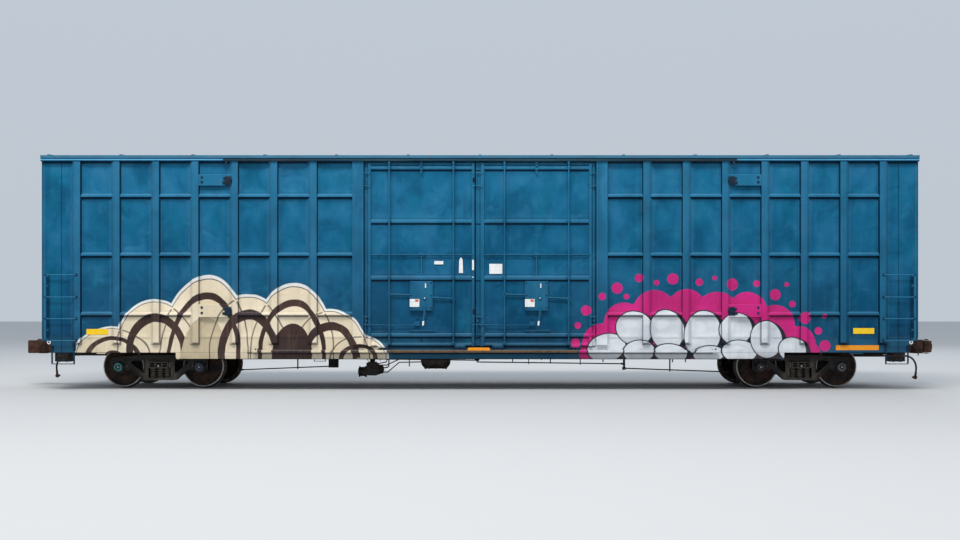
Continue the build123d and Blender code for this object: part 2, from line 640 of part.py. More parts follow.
# ---------------------------------------------------------------- wheelsets
WHEEL_PROFILE = (  # distance from the centreline, radius: half section of one wheel from the flange back
    (FLANGE_BACK, 385.0), (FLANGE_BACK, FLANGE_R - 12), (FLANGE_BACK + 8, FLANGE_R), (FLANGE_BACK + 20, FLANGE_R),
    (FLANGE_BACK + 34, TREAD_R + 8), (FLANGE_BACK + 44, TREAD_R), (RIM_OUT - 8, TREAD_R - 5), (RIM_OUT, TREAD_R - 12),
    (RIM_OUT, 388.0), (RIM_OUT - 30, 376.0), (790.0, 300.0), (806.0, 190.0), (848.0, 150.0), (862.0, 146.0), (862.0, 110.0),
    (668.0, 110.0), (668.0, 146.0), (684.0, 156.0), (766.0, 200.0), (752.0, 300.0), (FLANGE_BACK + 28, 372.0),
)


def wheel(ax, side):
    pts = [Vector(0, side * y, r) for y, r in WHEEL_PROFILE]
    face = Face(Wire.make_polygon(pts, close=True))
    solid = revolve(face, Axis.Y, 360)
    return Pos(ax, 0, AXLE_Z) * solid


def axle(ax):
    # seats for the wheels, journals and end caps
    steps = [(0.0, 640.0, 92.0), (640.0, 664.0, 104.0), (664.0, 880.0, 109.9), (880.0, 898.0, 100.0), (898.0, 1112.0, JOURNAL_R), (1108.0, 1150.0, 92.0)]
    pieces = []
    for y0, y1, r in steps:
        pieces += [rod((ax, side * y0, AXLE_Z), (ax, side * y1, AXLE_Z), r) for side in (-1, 1)]
    return joined(*pieces)


# ---------------------------------------------------------------- write the parts
save("centre_sill", centre_sill())
save("crossmembers", *crossmembers())
save("floor", floor())
sill = side_sill()
save("side_sills", sill, turned(sill))
save("side_wall_near", side_wall(-1), side_wall(1))
save("side_wall_far", turned(side_wall(-1)), turned(side_wall(1)))
corners = [corner_panel(-1), corner_panel(1)]
save("corner_panels", *corners, *[turned(c) for c in corners])
chord = top_chord()
save("top_chords", chord, turned(chord))
save("end_wall_a", end_wall(-1))
save("end_wall_b", end_wall(1))
save("roof", roof())
save("upper_door_tracks", upper_track(), turned(upper_track()))
low = lower_track()
save("lower_door_tracks", low, turned(low))
for hand, (cx, half) in DOORS.items():
    leaf = plug_door(cx, half, LEAVES[hand])
    save(f"plug_door_near_{hand}", leaf)
    save(f"plug_door_far_{hand}", turned(leaf))
bars = lock_bars()
save("door_lock_bars", *bars, *[turned(b) for b in bars])
boxes = gearboxes()
save("door_gearboxes", *boxes, *[turned(b) for b in boxes])
ladders = [side_ladder(-1), side_ladder(1)]
save("side_ladders", *ladders, *[turned(b) for b in ladders])
save("end_ladders", *[end_ladder(s, side) for s in (-1, 1) for side in (-1, 1)])
steps = [sill_step(-1), sill_step(1)]
save("sill_steps", *steps, *[turned(b) for b in steps])
save("crossover_platforms", crossover_platform(-1), crossover_platform(1))
save("hand_brake", hand_brake())
save("uncoupling_levers", uncoupling_lever(-1), uncoupling_lever(1))
save("couplers", coupler(-1), coupler(1))
save("coupler_knuckles", knuckle(-1), knuckle(1))
save("brake_pipe", brake_pipe())
for end, s in (("a", -1), ("b", 1)):
    pts = hose_points(s)
    save(f"brake_hose_{end}", hose(pts, HOSE_D, f"brake_hose_{end}"))
    save(f"glad_hand_{end}", glad_hand(pts))
save("air_reservoir", air_reservoir())
save("brake_cylinder", brake_cylinder())
save("control_valve", control_valve())
save("brake_levers", *brake_levers())
for t, (truck, s) in enumerate((("a", -1), ("b", 1))):
    tx = s * TRUCK_X
    save(f"truck_{truck}_side_frames", side_frame(tx, -1), side_frame(tx, 1))
    save(f"truck_{truck}_bolster", truck_bolster(tx))
    save(f"truck_{truck}_springs", *truck_springs(tx))
    save(f"truck_{truck}_bearings", *truck_bearings(tx))
    save(f"truck_{truck}_brake_beams", *brake_beams(tx))
    for k, dx in enumerate((-HALF_AXLES, HALF_AXLES)):
        number = 2 * t + k + 1
        save(f"wheels_{number}", wheel(tx + dx, -1), wheel(tx + dx, 1))
        save(f"axle_{number}", axle(tx + dx))
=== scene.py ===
import bpy, bmesh, math, random
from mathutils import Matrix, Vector, noise


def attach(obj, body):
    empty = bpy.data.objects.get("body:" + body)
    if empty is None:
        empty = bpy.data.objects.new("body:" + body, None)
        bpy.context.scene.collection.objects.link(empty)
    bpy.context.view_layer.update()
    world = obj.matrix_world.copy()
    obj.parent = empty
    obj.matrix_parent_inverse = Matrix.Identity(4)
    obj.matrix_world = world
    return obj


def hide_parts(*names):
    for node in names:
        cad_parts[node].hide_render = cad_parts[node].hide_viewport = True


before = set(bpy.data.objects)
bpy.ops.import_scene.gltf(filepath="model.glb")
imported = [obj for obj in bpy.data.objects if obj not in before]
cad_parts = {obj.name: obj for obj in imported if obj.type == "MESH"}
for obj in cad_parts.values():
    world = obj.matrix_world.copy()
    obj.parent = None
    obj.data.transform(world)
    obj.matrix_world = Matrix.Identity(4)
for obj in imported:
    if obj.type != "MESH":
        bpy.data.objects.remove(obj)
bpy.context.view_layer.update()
SCENE = bpy.context.scene

# ------------------------------------------------------------------ sizes, metres, as in the CAD source
TREAD_R, FLANGE_R, AXLE_Z, RAIL_Z = 0.457, 0.4825, 0.4825, 0.0255
FLANGE_BACK, RIM_OUT = 0.680, 0.822
TRUCK_X, HALF_AXLES, JOURNAL_Y = 7.0485, 0.889, 1.0035
HALF_LEN, IN_HALF_W, PANEL_OUT, BELT_OUT, POST_OUT, EAVE_OUT, TRACK_OUT = 9.418, 1.448, 1.515, 1.568, 1.585, 1.590, 1.625
WALL_BOTTOM, EAVE_BOTTOM, EAVE_TOP, ROOF_EDGE_TOP, ROOF_PEAK, ROOF_EDGE_OUT = 1.141, 4.918, 4.990, 5.045, 5.205, 1.600
POST_FIRST, POST_PITCH, POST_COUNT, POST_FACE, POST_FOOT_Z = 3.500, 0.8453, 7, 0.130, 0.980
BELT_Z, BELT_FACE, BELT_FOOT = (1.644, 2.917, 4.179), 0.062, 0.096
DOOR_POST_X = (2.497, 2.740)
SILL_IN, SILL_BOTTOM, SILL_END, SKIRT_BOTTOM, SKIRT_END = 1.420, 0.809, 9.230, 0.670, 6.545
DOORS = {"left": (-1.258, 1.196), "right": (1.213, 1.196)}
DOOR_Z = (0.955, 4.885)
DOOR_SKIN, DOOR_FRAME = 1.530, 1.566
LOCK_BAR_OUT, LOCK_BAR_R, LOCK_BAR_DX = 1.585, 0.017, 0.688
COUPLER_Z, PULLING_FACE = 0.901, 10.350
PIPE_Y, PIPE_Z, PIPE_END = -0.330, 0.695, HALF_LEN + 0.150

# ------------------------------------------------------------------ camera: level, square to the side, at eye height
cam_data = bpy.data.cameras.new("camera")
cam = bpy.data.objects.new("camera", cam_data)
SCENE.collection.objects.link(cam)
cam.location = (0.0, -20.98, 1.533 + RAIL_Z)
cam.rotation_euler = (math.radians(90), 0, 0)
cam_data.sensor_width = 36.0
cam_data.lens = 905.0 / 960.0 * 36.0
cam_data.shift_y = 0.05
cam_data.clip_end = 400.0
SCENE.camera = cam
SCENE.view_settings.view_transform = "Standard"


# ------------------------------------------------------------------ mesh code
class Mesh:
    """Collects closed shells, then makes one object of them."""

    def __init__(self):
        self.v, self.f, self.m = [], [], []

    def add(self, verts, faces, mat=0):
        base = len(self.v)
        self.v.extend(tuple(p) for p in verts)
        for f in faces:
            self.f.append(tuple(base + i for i in f))
            self.m.append(mat)

    def box(self, x0, x1, y0, y1, z0, z1, mat=0):
        xs, ys, zs = sorted((x0, x1)), sorted((y0, y1)), sorted((z0, z1))
        v = [(x, y, z) for x in xs for y in ys for z in zs]
        self.add(v, [(0, 1, 3, 2), (4, 6, 7, 5), (0, 4, 5, 1), (2, 3, 7, 6), (0, 2, 6, 4), (1, 5, 7, 3)], mat)

    def prism(self, poly, axis, a, b, mat=0):
        """poly holds the other two coordinates in X, Y, Z order"""
        lo, hi = min(a, b), max(a, b)

        def at(p, t):
            return {"x": (t, p[0], p[1]), "y": (p[0], t, p[1]), "z": (p[0], p[1], t)}[axis]

        n = len(poly)
        v = [at(p, lo) for p in poly] + [at(p, hi) for p in poly]
        f = [tuple(range(n)), tuple(range(2 * n - 1, n - 1, -1))]
        f += [(i, (i + 1) % n, n + (i + 1) % n, n + i) for i in range(n)]
        self.add(v, f, mat)

    def loft(self, rings, mat=0, caps=True):
        n = len(rings[0])
        v = [p for ring in rings for p in ring]
        f = []
        for k in range(len(rings) - 1):
            for i in range(n):
                j = (i + 1) % n
                f.append((k * n + i, k * n + j, (k + 1) * n + j, (k + 1) * n + i))
        if caps:
            f.append(tuple(range(n)))
            f.append(tuple(range((len(rings) - 1) * n, len(rings) * n)))
        self.add(v, f, mat)

    def lathe(self, profile, origin, axis, n=48, mat=0, closed=True):
        """profile: (distance along axis, radius) points of a closed section, or of an open one that starts and ends on the axis"""
        o, d = Vector(origin), Vector(axis).normalized()
        a = d.orthogonal().normalized()
        b = d.cross(a)
        rings = []
        for s, r in profile:
            rings.append([o + d * s + (a * math.cos(t) + b * math.sin(t)) * max(r, 1e-5) for t in (2 * math.pi * i / n for i in range(n))])
        if closed:
            rings.append(rings[0])
            v = [p for ring in rings[:-1] for p in ring]
            k = len(rings) - 1
            f = []
            for q in range(k):
                for i in range(n):
                    j = (i + 1) % n
                    f.append((q * n + i, q * n + j, ((q + 1) % k) * n + j, ((q + 1) % k) * n + i))
            self.add(v, f, mat)
        else:
            self.loft(rings, mat)

    def cyl(self, p, q, r, n=16, mat=0, chamfer=0.0, r2=None):
        p, q = Vector(p), Vector(q)
        length = (q - p).length
        r2 = r if r2 is None else r2
        if chamfer:
            prof = [(0, r - chamfer), (chamfer, r), (length - chamfer, r2), (length, r2 - chamfer)]
        else:
            prof = [(0, r), (length, r2)]
        self.lathe(prof, p, q - p, n, mat, closed=False)

    def tube(self, pts, r, n=10, mat=0):
        pts = [Vector(p) for p in pts]
        rings = []
        up = None
        for i, p in enumerate(pts):
            d = (pts[min(i + 1, len(pts) - 1)] - pts[max(i - 1, 0)]).normalized()
            if up is None:
                up = d.orthogonal().normalized()
            up = (up - d * up.dot(d)).normalized()
            w = d.cross(up)
            rings.append([p + (up * math.cos(t) + w * math.sin(t)) * r for t in (2 * math.pi * k / n for k in range(n))])
        self.loft(rings, mat)

    def bolt(self, p, normal, r=0.016, h=0.012, mat=0, washer=True):
        p, d = Vector(p), Vector(normal).normalized()
        a = d.orthogonal().normalized()
        b = d.cross(a)
        if washer:
            self.cyl(p - d * 0.002, p + d * 0.003, r * 1.35, 14, mat)
        ring = lambda s, k: [p + d * s + (a * math.cos(t) + b * math.sin(t)) * r * k for t in (math.pi / 3 * i for i in range(6))]
        self.loft([ring(0, 1), ring(h * 0.8, 1), ring(h, 0.86)], mat)

    def rivet(self, p, normal, r=0.011, h=0.006, mat=0, n=8):
        p, d = Vector(p), Vector(normal).normalized()
        self.lathe([(-0.001, r), (h * 0.35, r * 0.92), (h * 0.8, r * 0.6), (h, r * 0.15)], p, d, n, mat, closed=False)

    def make(self, name, mats, body, slot=None, replaces=(), bevel=0.0, segments=2, angle=35.0, sharp=38.0):
        me = bpy.data.meshes.new(name)
        me.from_pydata(self.v, [], self.f)
        for m in mats:
            me.materials.append(m)
        me.polygons.foreach_set("material_index", self.m)
        bm = bmesh.new()
        bm.from_mesh(me)
        bmesh.ops.recalc_face_normals(bm, faces=bm.faces)
        bm.to_mesh(me)
        bm.free()
        me.polygons.foreach_set("use_smooth", [True] * len(me.polygons))
        me.set_sharp_from_angle(angle=math.radians(sharp))
        ob = bpy.data.objects.new(name, me)
        SCENE.collection.objects.link(ob)
        if bevel:
            mod = ob.modifiers.new("bevel", "BEVEL")
            mod.width, mod.segments, mod.limit_method, mod.angle_limit = bevel, segments, "ANGLE", math.radians(angle)
            mod.harden_normals = True
            mod.use_clamp_overlap = True
        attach(ob, body)
        if replaces:
            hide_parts(*replaces)
        return ob


def turn(points, side):
    """side -1 keeps a near-side point, +1 turns it half way round the vertical axis"""
    return points if side < 0 else [(-x, -y, z) for x, y, z in points]


class Half(Mesh):
    """A mesh drawn for the near side that can also be written turned half way round."""

    def turned(self, side):
        out = Mesh()
        out.v = turn(self.v, side)
        out.f, out.m = list(self.f), list(self.m)
        return out


def extend(a, b, mat_shift=0):
    base = len(a.v)
    a.v.extend(b.v)
    a.f.extend(tuple(base + i for i in f) for f in b.f)
    a.m.extend(m + mat_shift for m in b.m)
    return a


# ------------------------------------------------------------------ material nodes
def lin(r, g, b):
    """0-255 display colour to a linear colour"""
    def one(c):
        c = c / 255.0
        return c / 12.92 if c <= 0.04045 else ((c + 0.055) / 1.055) ** 2.4
    return (one(r), one(g), one(b), 1.0)


class Nodes:
    def __init__(self, name):
        self.mat = bpy.data.materials.new(name)
        self.mat.use_nodes = True
        self.nt = self.mat.node_tree
        self.nt.nodes.clear()
        self.out = self.nt.nodes.new("ShaderNodeOutputMaterial")
        self.bsdf = self.nt.nodes.new("ShaderNodeBsdfPrincipled")
        self.nt.links.new(self.bsdf.outputs[0], self.out.inputs[0])
        tc = self.nt.nodes.new("ShaderNodeTexCoord")
        self.co = tc.outputs["Object"]
        sep = self.nt.nodes.new("ShaderNodeSeparateXYZ")
        self.link(self.co, sep.inputs[0])
        self.x, self.y, self.z = sep.outputs
        geo = self.nt.nodes.new("ShaderNodeNewGeometry")
        self.point = geo.outputs["Pointiness"]
        self.normal = geo.outputs["Normal"]

    def link(self, a, b):
        self.nt.links.new(a, b)

    def _in(self, socket, value):
        if isinstance(value, (int, float)):
            socket.default_value = value
        elif isinstance(value, tuple):
            socket.default_value = value if len(value) == len(socket.default_value) else value[: len(socket.default_value)]
        else:
            self.link(value, socket)

    def m(self, op, a, b=0.0, c=0.0, clamp=False):
        n = self.nt.nodes.new("ShaderNodeMath")
        n.operation, n.use_clamp = op, clamp
        self._in(n.inputs[0], a)
        self._in(n.inputs[1], b)
        self._in(n.inputs[2], c)
        return n.outputs[0]

    def add(self, a, b): return self.m("ADD", a, b)
    def sub(self, a, b): return self.m("SUBTRACT", a, b)
    def mul(self, a, b): return self.m("MULTIPLY", a, b)
    def mx(self, a, b): return self.m("MAXIMUM", a, b)
    def mn(self, a, b): return self.m("MINIMUM", a, b)

    def vec(self, x, y, z):
        n = self.nt.nodes.new("ShaderNodeCombineXYZ")
        for s, v in zip(n.inputs, (x, y, z)):
            self._in(s, v)
        return n.outputs[0]

    def scaled(self, sx, sy, sz, dx=0.0, dy=0.0, dz=0.0):
        n = self.nt.nodes.new("ShaderNodeMapping")
        self.link(self.co, n.inputs[0])
        n.inputs["Scale"].default_value = (sx, sy, sz)
        n.inputs["Location"].default_value = (dx, dy, dz)
        return n.outputs[0]

    def noise(self, vec, scale=1.0, detail=4.0, rough=0.55, distort=0.0):
        n = self.nt.nodes.new("ShaderNodeTexNoise")
        self.link(vec, n.inputs["Vector"])
        n.inputs["Scale"].default_value = scale
        n.inputs["Detail"].default_value = detail
        n.inputs["Roughness"].default_value = rough
        n.inputs["Distortion"].default_value = distort
        return n.outputs[0]

    def voronoi(self, vec, scale=1.0, feature="F1", rand=1.0):
        n = self.nt.nodes.new("ShaderNodeTexVoronoi")
        n.feature = feature
        self.link(vec, n.inputs["Vector"])
        n.inputs["Scale"].default_value = scale
        n.inputs["Randomness"].default_value = rand
        return n

    def ramp(self, value, lo, hi, a=0.0, b=1.0, smooth=True):
        n = self.nt.nodes.new("ShaderNodeMapRange")
        n.interpolation_type = "SMOOTHSTEP" if smooth else "LINEAR"
        n.clamp = True
        self._in(n.inputs["Value"], value)
        n.inputs["From Min"].default_value = lo
        n.inputs["From Max"].default_value = hi
        n.inputs["To Min"].default_value = a
        n.inputs["To Max"].default_value = b
        return n.outputs[0]

    def mix(self, fac, a, b, blend="MIX"):
        n = self.nt.nodes.new("ShaderNodeMix")
        n.data_type, n.blend_type = "RGBA", blend
        self._in(n.inputs[0], fac)
        self._in(n.inputs[6], a)
        self._in(n.inputs[7], b)
        return n.outputs[2]

    def bump(self, height, strength=0.3, distance=0.01, normal=None):
        n = self.nt.nodes.new("ShaderNodeBump")
        n.inputs["Strength"].default_value = strength
        n.inputs["Distance"].default_value = distance
        self.link(height, n.inputs["Height"])
        if normal is not None:
            self.link(normal, n.inputs["Normal"])
        return n.outputs[0]

    def finish(self, color, rough, metallic=0.0, normal=None, specular=None, coat=None, coat_rough=None, sheen=None):
        self._in(self.bsdf.inputs["Base Color"], color)
        self._in(self.bsdf.inputs["Roughness"], rough)
        self._in(self.bsdf.inputs["Metallic"], metallic)
        if specular is not None:
            self.bsdf.inputs["Specular IOR Level"].default_value = specular
        if coat is not None:
            self.bsdf.inputs["Coat Weight"].default_value = coat
            self.bsdf.inputs["Coat Roughness"].default_value = 0.2 if coat_rough is None else coat_rough
        if normal is not None:
            self.link(normal, self.bsdf.inputs["Normal"])
        return self.mat


# distances to simple shapes on the side of the car, in the plane of X and Z, for painted areas
def sd_circle(n, x, z, cx, cz, r):
    dx, dz = n.sub(x, cx), n.sub(z, cz)
    return n.sub(n.m("SQRT", n.add(n.mul(dx, dx), n.mul(dz, dz))), r)


def sd_ellipse(n, x, z, cx, cz, rx, rz, angle=0.0):
    c, s = math.cos(math.radians(angle)), math.sin(math.radians(angle))
    dx, dz = n.sub(x, cx), n.sub(z, cz)
    u = n.mul(n.add(n.mul(dx, c), n.mul(dz, s)), 1.0 / rx)
    w = n.mul(n.sub(n.mul(dz, c), n.mul(dx, s)), 1.0 / rz)
    d = n.m("SQRT", n.add(n.mul(u, u), n.mul(w, w)))
    return n.mul(n.sub(d, 1.0), min(rx, rz))


def sd_capsule(n, x, z, ax, az, bx, bz, r0, r1):
    """a tapered stroke from a to b"""
    bax, baz = bx - ax, bz - az
    px, pz = n.sub(x, ax), n.sub(z, az)
    h = n.m("MULTIPLY", n.add(n.mul(px, bax), n.mul(pz, baz)), 1.0 / (bax * bax + baz * baz), clamp=True)
    dx, dz = n.sub(px, n.mul(h, bax)), n.sub(pz, n.mul(h, baz))
    d = n.m("SQRT", n.add(n.mul(dx, dx), n.mul(dz, dz)))
    return n.sub(d, n.add(r0, n.mul(h, r1 - r0)))


def sd_box(n, x, z, x0, x1, z0, z1, r=0.0):
    dx = n.sub(n.m("ABSOLUTE", n.sub(x, (x0 + x1) / 2)), (x1 - x0) / 2 - r)
    dz = n.sub(n.m("ABSOLUTE", n.sub(z, (z0 + z1) / 2)), (z1 - z0) / 2 - r)
    px, pz = n.mx(dx, 0.0), n.mx(dz, 0.0)
    out = n.m("SQRT", n.add(n.mul(px, px), n.mul(pz, pz)))
    return n.sub(n.add(out, n.mn(n.mx(dx, dz), 0.0)), r)


def union(n, ds):
    d = ds[0]
    for e in ds[1:]:
        d = n.mn(d, e)
    return d


def blend_union(n, ds, k):
    d = ds[0]
    for e in ds[1:]:
        d = n.m("SMOOTH_MIN", d, e, k)
    return d


def inside(n, d, soft=0.006):
    return n.ramp(d, -soft, soft, 1.0, 0.0)


# ------------------------------------------------------------------ painted steel, the body colour
# the blue is lighter high up and darker low down: painted light and shade
BLUE_TOP, BLUE_MID, BLUE_LOW = lin(20, 104, 141), lin(12, 92, 128), lin(0, 62, 94)


def painted_shade_lines(n, col, fac=1.0, pale=1.0):
    """painted shade under belts, door ribs, eaves and ledge and on faces turned along the car or down, and a painted
    highlight on faces turned up
    """
    sep = n.nt.nodes.new("ShaderNodeSeparateXYZ")
    n.link(n.normal, sep.inputs[0])
    nx, _, nz = sep.outputs
    far, out = n.m("ABSOLUTE", n.x), n.m("ABSOLUTE", n.y)
    # painted highlight on faces turned up
    col = n.mix(n.ramp(nz, 0.60, 0.85, 0.0, 0.34 * pale), col, lin(92, 156, 190))
    # painted shade on faces turned along the car
    col = n.mix(n.ramp(n.m("ABSOLUTE", nx), 0.80, 0.93, 0.0, 0.85 * fac), col, lin(0, 30, 54))
    # painted shade on faces turned down
    col = n.mix(n.ramp(nz, -0.25, -0.60, 0.0, 0.88 * fac), col, lin(0, 22, 42))
    wall = n.mul(n.ramp(out, 1.531, 1.526), n.ramp(far, 2.50, 2.52))
    bays = n.mul(wall, n.ramp(far, 8.60, 8.58))
    door = n.mul(n.ramp(out, 1.542, 1.536), n.ramp(far, 2.345, 2.335))
    sill = n.mul(n.ramp(out, 1.531, 1.526), n.ramp(far, 5.02, 5.0))
    bay = n.mul(n.ramp(out, 1.531, 1.526), n.ramp(far, 2.50, 2.48))
    # painted shade in bands under the belts, the eave, the door ribs, the ledge and the door's foot
    lines = [(bays, z - BELT_FOOT / 2, 0.030) for z in BELT_Z] + [(wall, EAVE_BOTTOM, 0.058)]
    lines += [(door, z, 0.034) for z in (4.732, 3.582, 2.363, 1.146)] + [(sill, 0.820, 0.056), (bay, 0.962, 0.055)]
    painted_shade = None
    for where, foot, deep in lines:
        d = n.sub(foot, n.z)
        one = n.mul(where, n.mul(n.ramp(d, deep, deep * 0.45), n.ramp(d, -0.012, -0.006)))
        painted_shade = one if painted_shade is None else n.mx(painted_shade, one)
    # the lap of the end bay's sheet
    lap = n.mul(n.ramp(n.m("ABSOLUTE", n.sub(far, 9.000)), 0.012, 0.006), n.ramp(out, 1.531, 1.526))
    # shade held behind the outer stile of the ladder
    stile = n.mul(n.mul(n.ramp(far, 9.232, 9.262), n.ramp(far, 9.338, 9.322)), n.mul(n.ramp(n.z, 1.06, 1.12), n.ramp(n.z, 2.50, 2.44)))
    # the painted shade, the lap line and the shade behind the stile darken the colour together
    return n.mix(n.mul(n.mx(n.mx(painted_shade, n.mul(lap, 0.7)), n.mul(stile, 0.72)), 0.86 * fac), col, lin(0, 20, 40))


def blue_base(n, seed=0.0, low=True, dirt=1.0, flanks=True):
    """body colour with chalking, streaks, road dirt and rust, painted shade low down and, with flanks, painted shade
    and highlights; gives colour, roughness and height
    """
    z = n.z
    # painted shade: the colour darkens from the top down
    t = n.ramp(z, 1.0, 4.7, 0.0, 1.0, smooth=False)
    col = n.mix(n.ramp(t, 0.0, 0.55), BLUE_LOW, BLUE_MID)
    col = n.mix(n.ramp(t, 0.5, 1.0), col, BLUE_TOP)
    # broad cloudy patches where the sheet has chalked or been wiped; lift weakens the pale ones and the pale mottling
    # low down, as painted shade
    big = n.noise(n.scaled(1.25, 1.25, 0.95, seed, 0, 0), 1.0, 3.0, 0.50, 0.5)
    lift = n.add(0.35, n.mul(t, 0.65))
    col = n.mix(n.mul(n.ramp(big, 0.46, 0.66, 0.0, 0.46), lift), col, lin(44, 112, 152))
    col = n.mix(n.ramp(big, 0.50, 0.34, 0.0, 0.44), col, lin(0, 64, 96))
    hue = n.noise(n.scaled(1.9, 1.9, 1.2, seed + 21.0), 1.0, 3.0, 0.55, 0.4)
    col = n.mix(n.ramp(hue, 0.50, 0.68, 0.0, 0.34), col, lin(4, 106, 132))
    mottle = n.noise(n.scaled(3.4, 3.4, 2.2, seed + 1.5), 1.0, 4.0, 0.50, 0.3)
    col = n.mix(n.mul(n.ramp(mottle, 0.51, 0.70, 0.0, 0.30), lift), col, lin(56, 126, 164))
    col = n.mix(n.ramp(mottle, 0.49, 0.32, 0.0, 0.30), col, lin(2, 66, 98))
    # rain streaks, stretched down the side
    streak = n.noise(n.scaled(7.0, 7.0, 0.40, seed, 0, 3.0), 1.0, 5.0, 0.62)
    col = n.mix(n.ramp(streak, 0.52, 0.76, 0.0, 0.16), col, lin(62, 118, 142))
    col = n.mix(n.ramp(streak, 0.46, 0.26, 0.0, 0.20), col, lin(6, 60, 90))
    # fine speckle
    fine = n.noise(n.scaled(60, 60, 60, seed), 1.0, 3.0, 0.6)
    col = n.mix(n.ramp(fine, 0.55, 0.8, 0.0, 0.10), col, lin(84, 124, 142))
    # road dirt from below
    if low:
        grime = n.noise(n.scaled(2.2, 2.2, 1.4, seed + 5), 1.0, 6.0, 0.65)
        climb = n.ramp(n.add(z, n.mul(grime, -0.9)), 0.95, 0.30, 0.0, 0.45 * dirt)
        col = n.mix(climb, col, lin(34, 50, 54))
    # rust in the edges and in a few scabs
    scab = n.noise(n.scaled(5.5, 5.5, 5.5, seed + 9), 1.0, 7.0, 0.7)
    spots = n.ramp(scab, 0.745, 0.80, 0.0, 0.5)
    edge = n.mul(n.ramp(n.point, 0.53, 0.60), n.ramp(scab, 0.50, 0.66))
    rust = n.mx(spots, n.mul(edge, 0.25))
    rustcol = n.mix(n.ramp(fine, 0.35, 0.65), lin(60, 42, 34), lin(96, 64, 46))
    col = n.mix(n.mul(rust, 0.6), col, rustcol)
    # worn edges a little paler, darker in the hollows
    col = n.mix(n.ramp(n.point, 0.52, 0.58, 0.0, 0.22), col, lin(58, 122, 154))
    col = n.mix(n.ramp(n.point, 0.487, 0.43, 0.0, 0.60), col, lin(2, 34, 54))
    # painted shade under belts, eaves and ribs and on turned faces, and a painted highlight on tops
    if flanks:
        col = painted_shade_lines(n, col)
    rough = n.add(n.ramp(fine, 0.2, 0.8, 0.42, 0.56), n.mul(rust, 0.25))
    can = n.noise(n.scaled(1.3, 1.3, 1.1, seed + 2), 1.0, 2.0, 0.5)
    height = n.add(n.mul(can, 1.0), n.add(n.mul(fine, 0.012), n.mul(scab, 0.03)))
    # knocks in the thin side sheets between the posts
    dent = n.noise(n.scaled(1.55, 1.55, 1.9, seed + 31.0), 1.0, 2.0, 0.45, 0.6)
    height = n.add(height, n.mul(n.mul(n.ramp(dent, 0.50, 0.68), n.ramp(n.m("ABSOLUTE", n.y), 1.531, 1.526)), -1.9))
    return col, rough, height, fine


def paint(name, seed=0.0, low=True, dirt=1.0, tint=None, tint_fac=0.0, flanks=True):
    n = Nodes(name)
    col, rough, height, fine = blue_base(n, seed, low, dirt, flanks)
    if tint is not None:
        col = n.mix(tint_fac, col, tint)
    return n.finish(col, rough, 0.0, n.bump(height, 0.35, 0.02), specular=0.10)


def layered(n, col, items):
    """items: (mask, colour), lowest first"""
    for mask, c in items:
        col = n.mix(mask, col, c)
    return col


def art_left():
    """a plain pattern of overlapping rounded hills in cream and brown with a pale outline"""
    n = Nodes("paint_hills")
    col, rough, height, fine = blue_base(n, 0.0)
    x, z = n.x, n.z
    wob = n.noise(n.scaled(1.7, 0.2, 1.7, 4.0), 1.0, 2.0, 0.5)
    x = n.add(x, n.mul(n.sub(wob, 0.5), 0.10))
    z = n.add(z, n.mul(n.sub(wob, 0.5), 0.08))
    hills = [  # centre x, centre z, half width, half height, tilt
        (-7.90, 0.70, 0.80, 0.62, 0), (-6.95, 0.78, 0.85, 1.12, 6), (-5.95, 0.72, 0.95, 1.66, -5),
        (-4.95, 0.78, 0.85, 1.22, 4), (-4.05, 0.70, 0.90, 1.52, -3), (-3.20, 0.72, 0.80, 0.98, 5), (-2.62, 0.66, 0.60, 0.50, 0),
    ]
    ds = [sd_ellipse(n, x, z, *h) for h in hills]
    outer = union(n, ds)
    ok = n.ramp(z, 0.655, 0.665)
    cream = n.mix(n.ramp(n.noise(n.scaled(1.1, 1.1, 1.1, 8), 1.0, 3, 0.5), 0.3, 0.7), lin(238, 222, 196), lin(222, 206, 176))
    brown = n.mix(n.ramp(n.noise(n.scaled(1.3, 1.3, 1.3, 3), 1.0, 3, 0.5), 0.3, 0.7), lin(72, 52, 47), lin(58, 42, 38))
    items = [(n.mul(inside(n, n.sub(outer, 0.055)), ok), lin(226, 226, 220)), (n.mul(inside(n, n.sub(outer, 0.012)), ok), brown), (n.mul(inside(n, outer), ok), cream)]
    # every second hill is banded brown: rings inside it, and a shade edge where it overlaps its neighbour
    for i, (h, d) in enumerate(zip(hills, ds)):
        own = inside(n, n.add(d, 0.02))
        ring1 = n.mul(own, inside(n, n.sub(n.m("ABSOLUTE", n.add(d, 0.26 if i % 2 else 0.20)), 0.075 if i % 2 else 0.045)))
        items.append((n.mul(ring1, ok), brown))
        if i % 2 == 0:
            core = inside(n, n.add(d, 0.46))
            items.append((n.mul(n.mul(own, core), ok), brown if i % 4 == 0 else lin(196, 180, 150)))
        edge = n.mul(inside(n, n.sub(n.m("ABSOLUTE", d), 0.014)), inside(n, n.add(outer, 0.03)))
        items.append((n.mul(edge, n.mul(ok, 0.8)), lin(70, 54, 48)))
    mask = n.mul(inside(n, n.sub(outer, 0.055)), ok)
    art = layered(n, col, items)
    # the older paint is dirty low down, and rubbed at the edges of the steel
    grime = n.noise(n.scaled(3.0, 3.0, 1.2, 11), 1.0, 6.0, 0.65)
    art = n.mix(n.ramp(n.add(z, n.mul(grime, -0.7)), 0.60, 0.25, 0.0, 0.22), art, lin(96, 84, 68))
    streak = n.noise(n.scaled(16.0, 16.0, 0.7, 21), 1.0, 4.0, 0.6)
    art = n.mix(n.mul(mask, n.ramp(streak, 0.50, 0.75, 0.0, 0.16)), art, lin(150, 132, 104))
    worn = n.mul(n.ramp(n.point, 0.53, 0.58), n.ramp(fine, 0.5, 0.6))
    art = n.mix(n.mul(worn, 0.10), art, lin(40, 90, 120))
    # painted shade and a weaker painted highlight, over the painted area too
    art = n.mix(mask, art, painted_shade_lines(n, art, 0.72, 0.25))
    return n.finish(art, n.add(rough, n.mul(mask, 0.10)), 0.0, n.bump(height, 0.35, 0.02), specular=0.16)


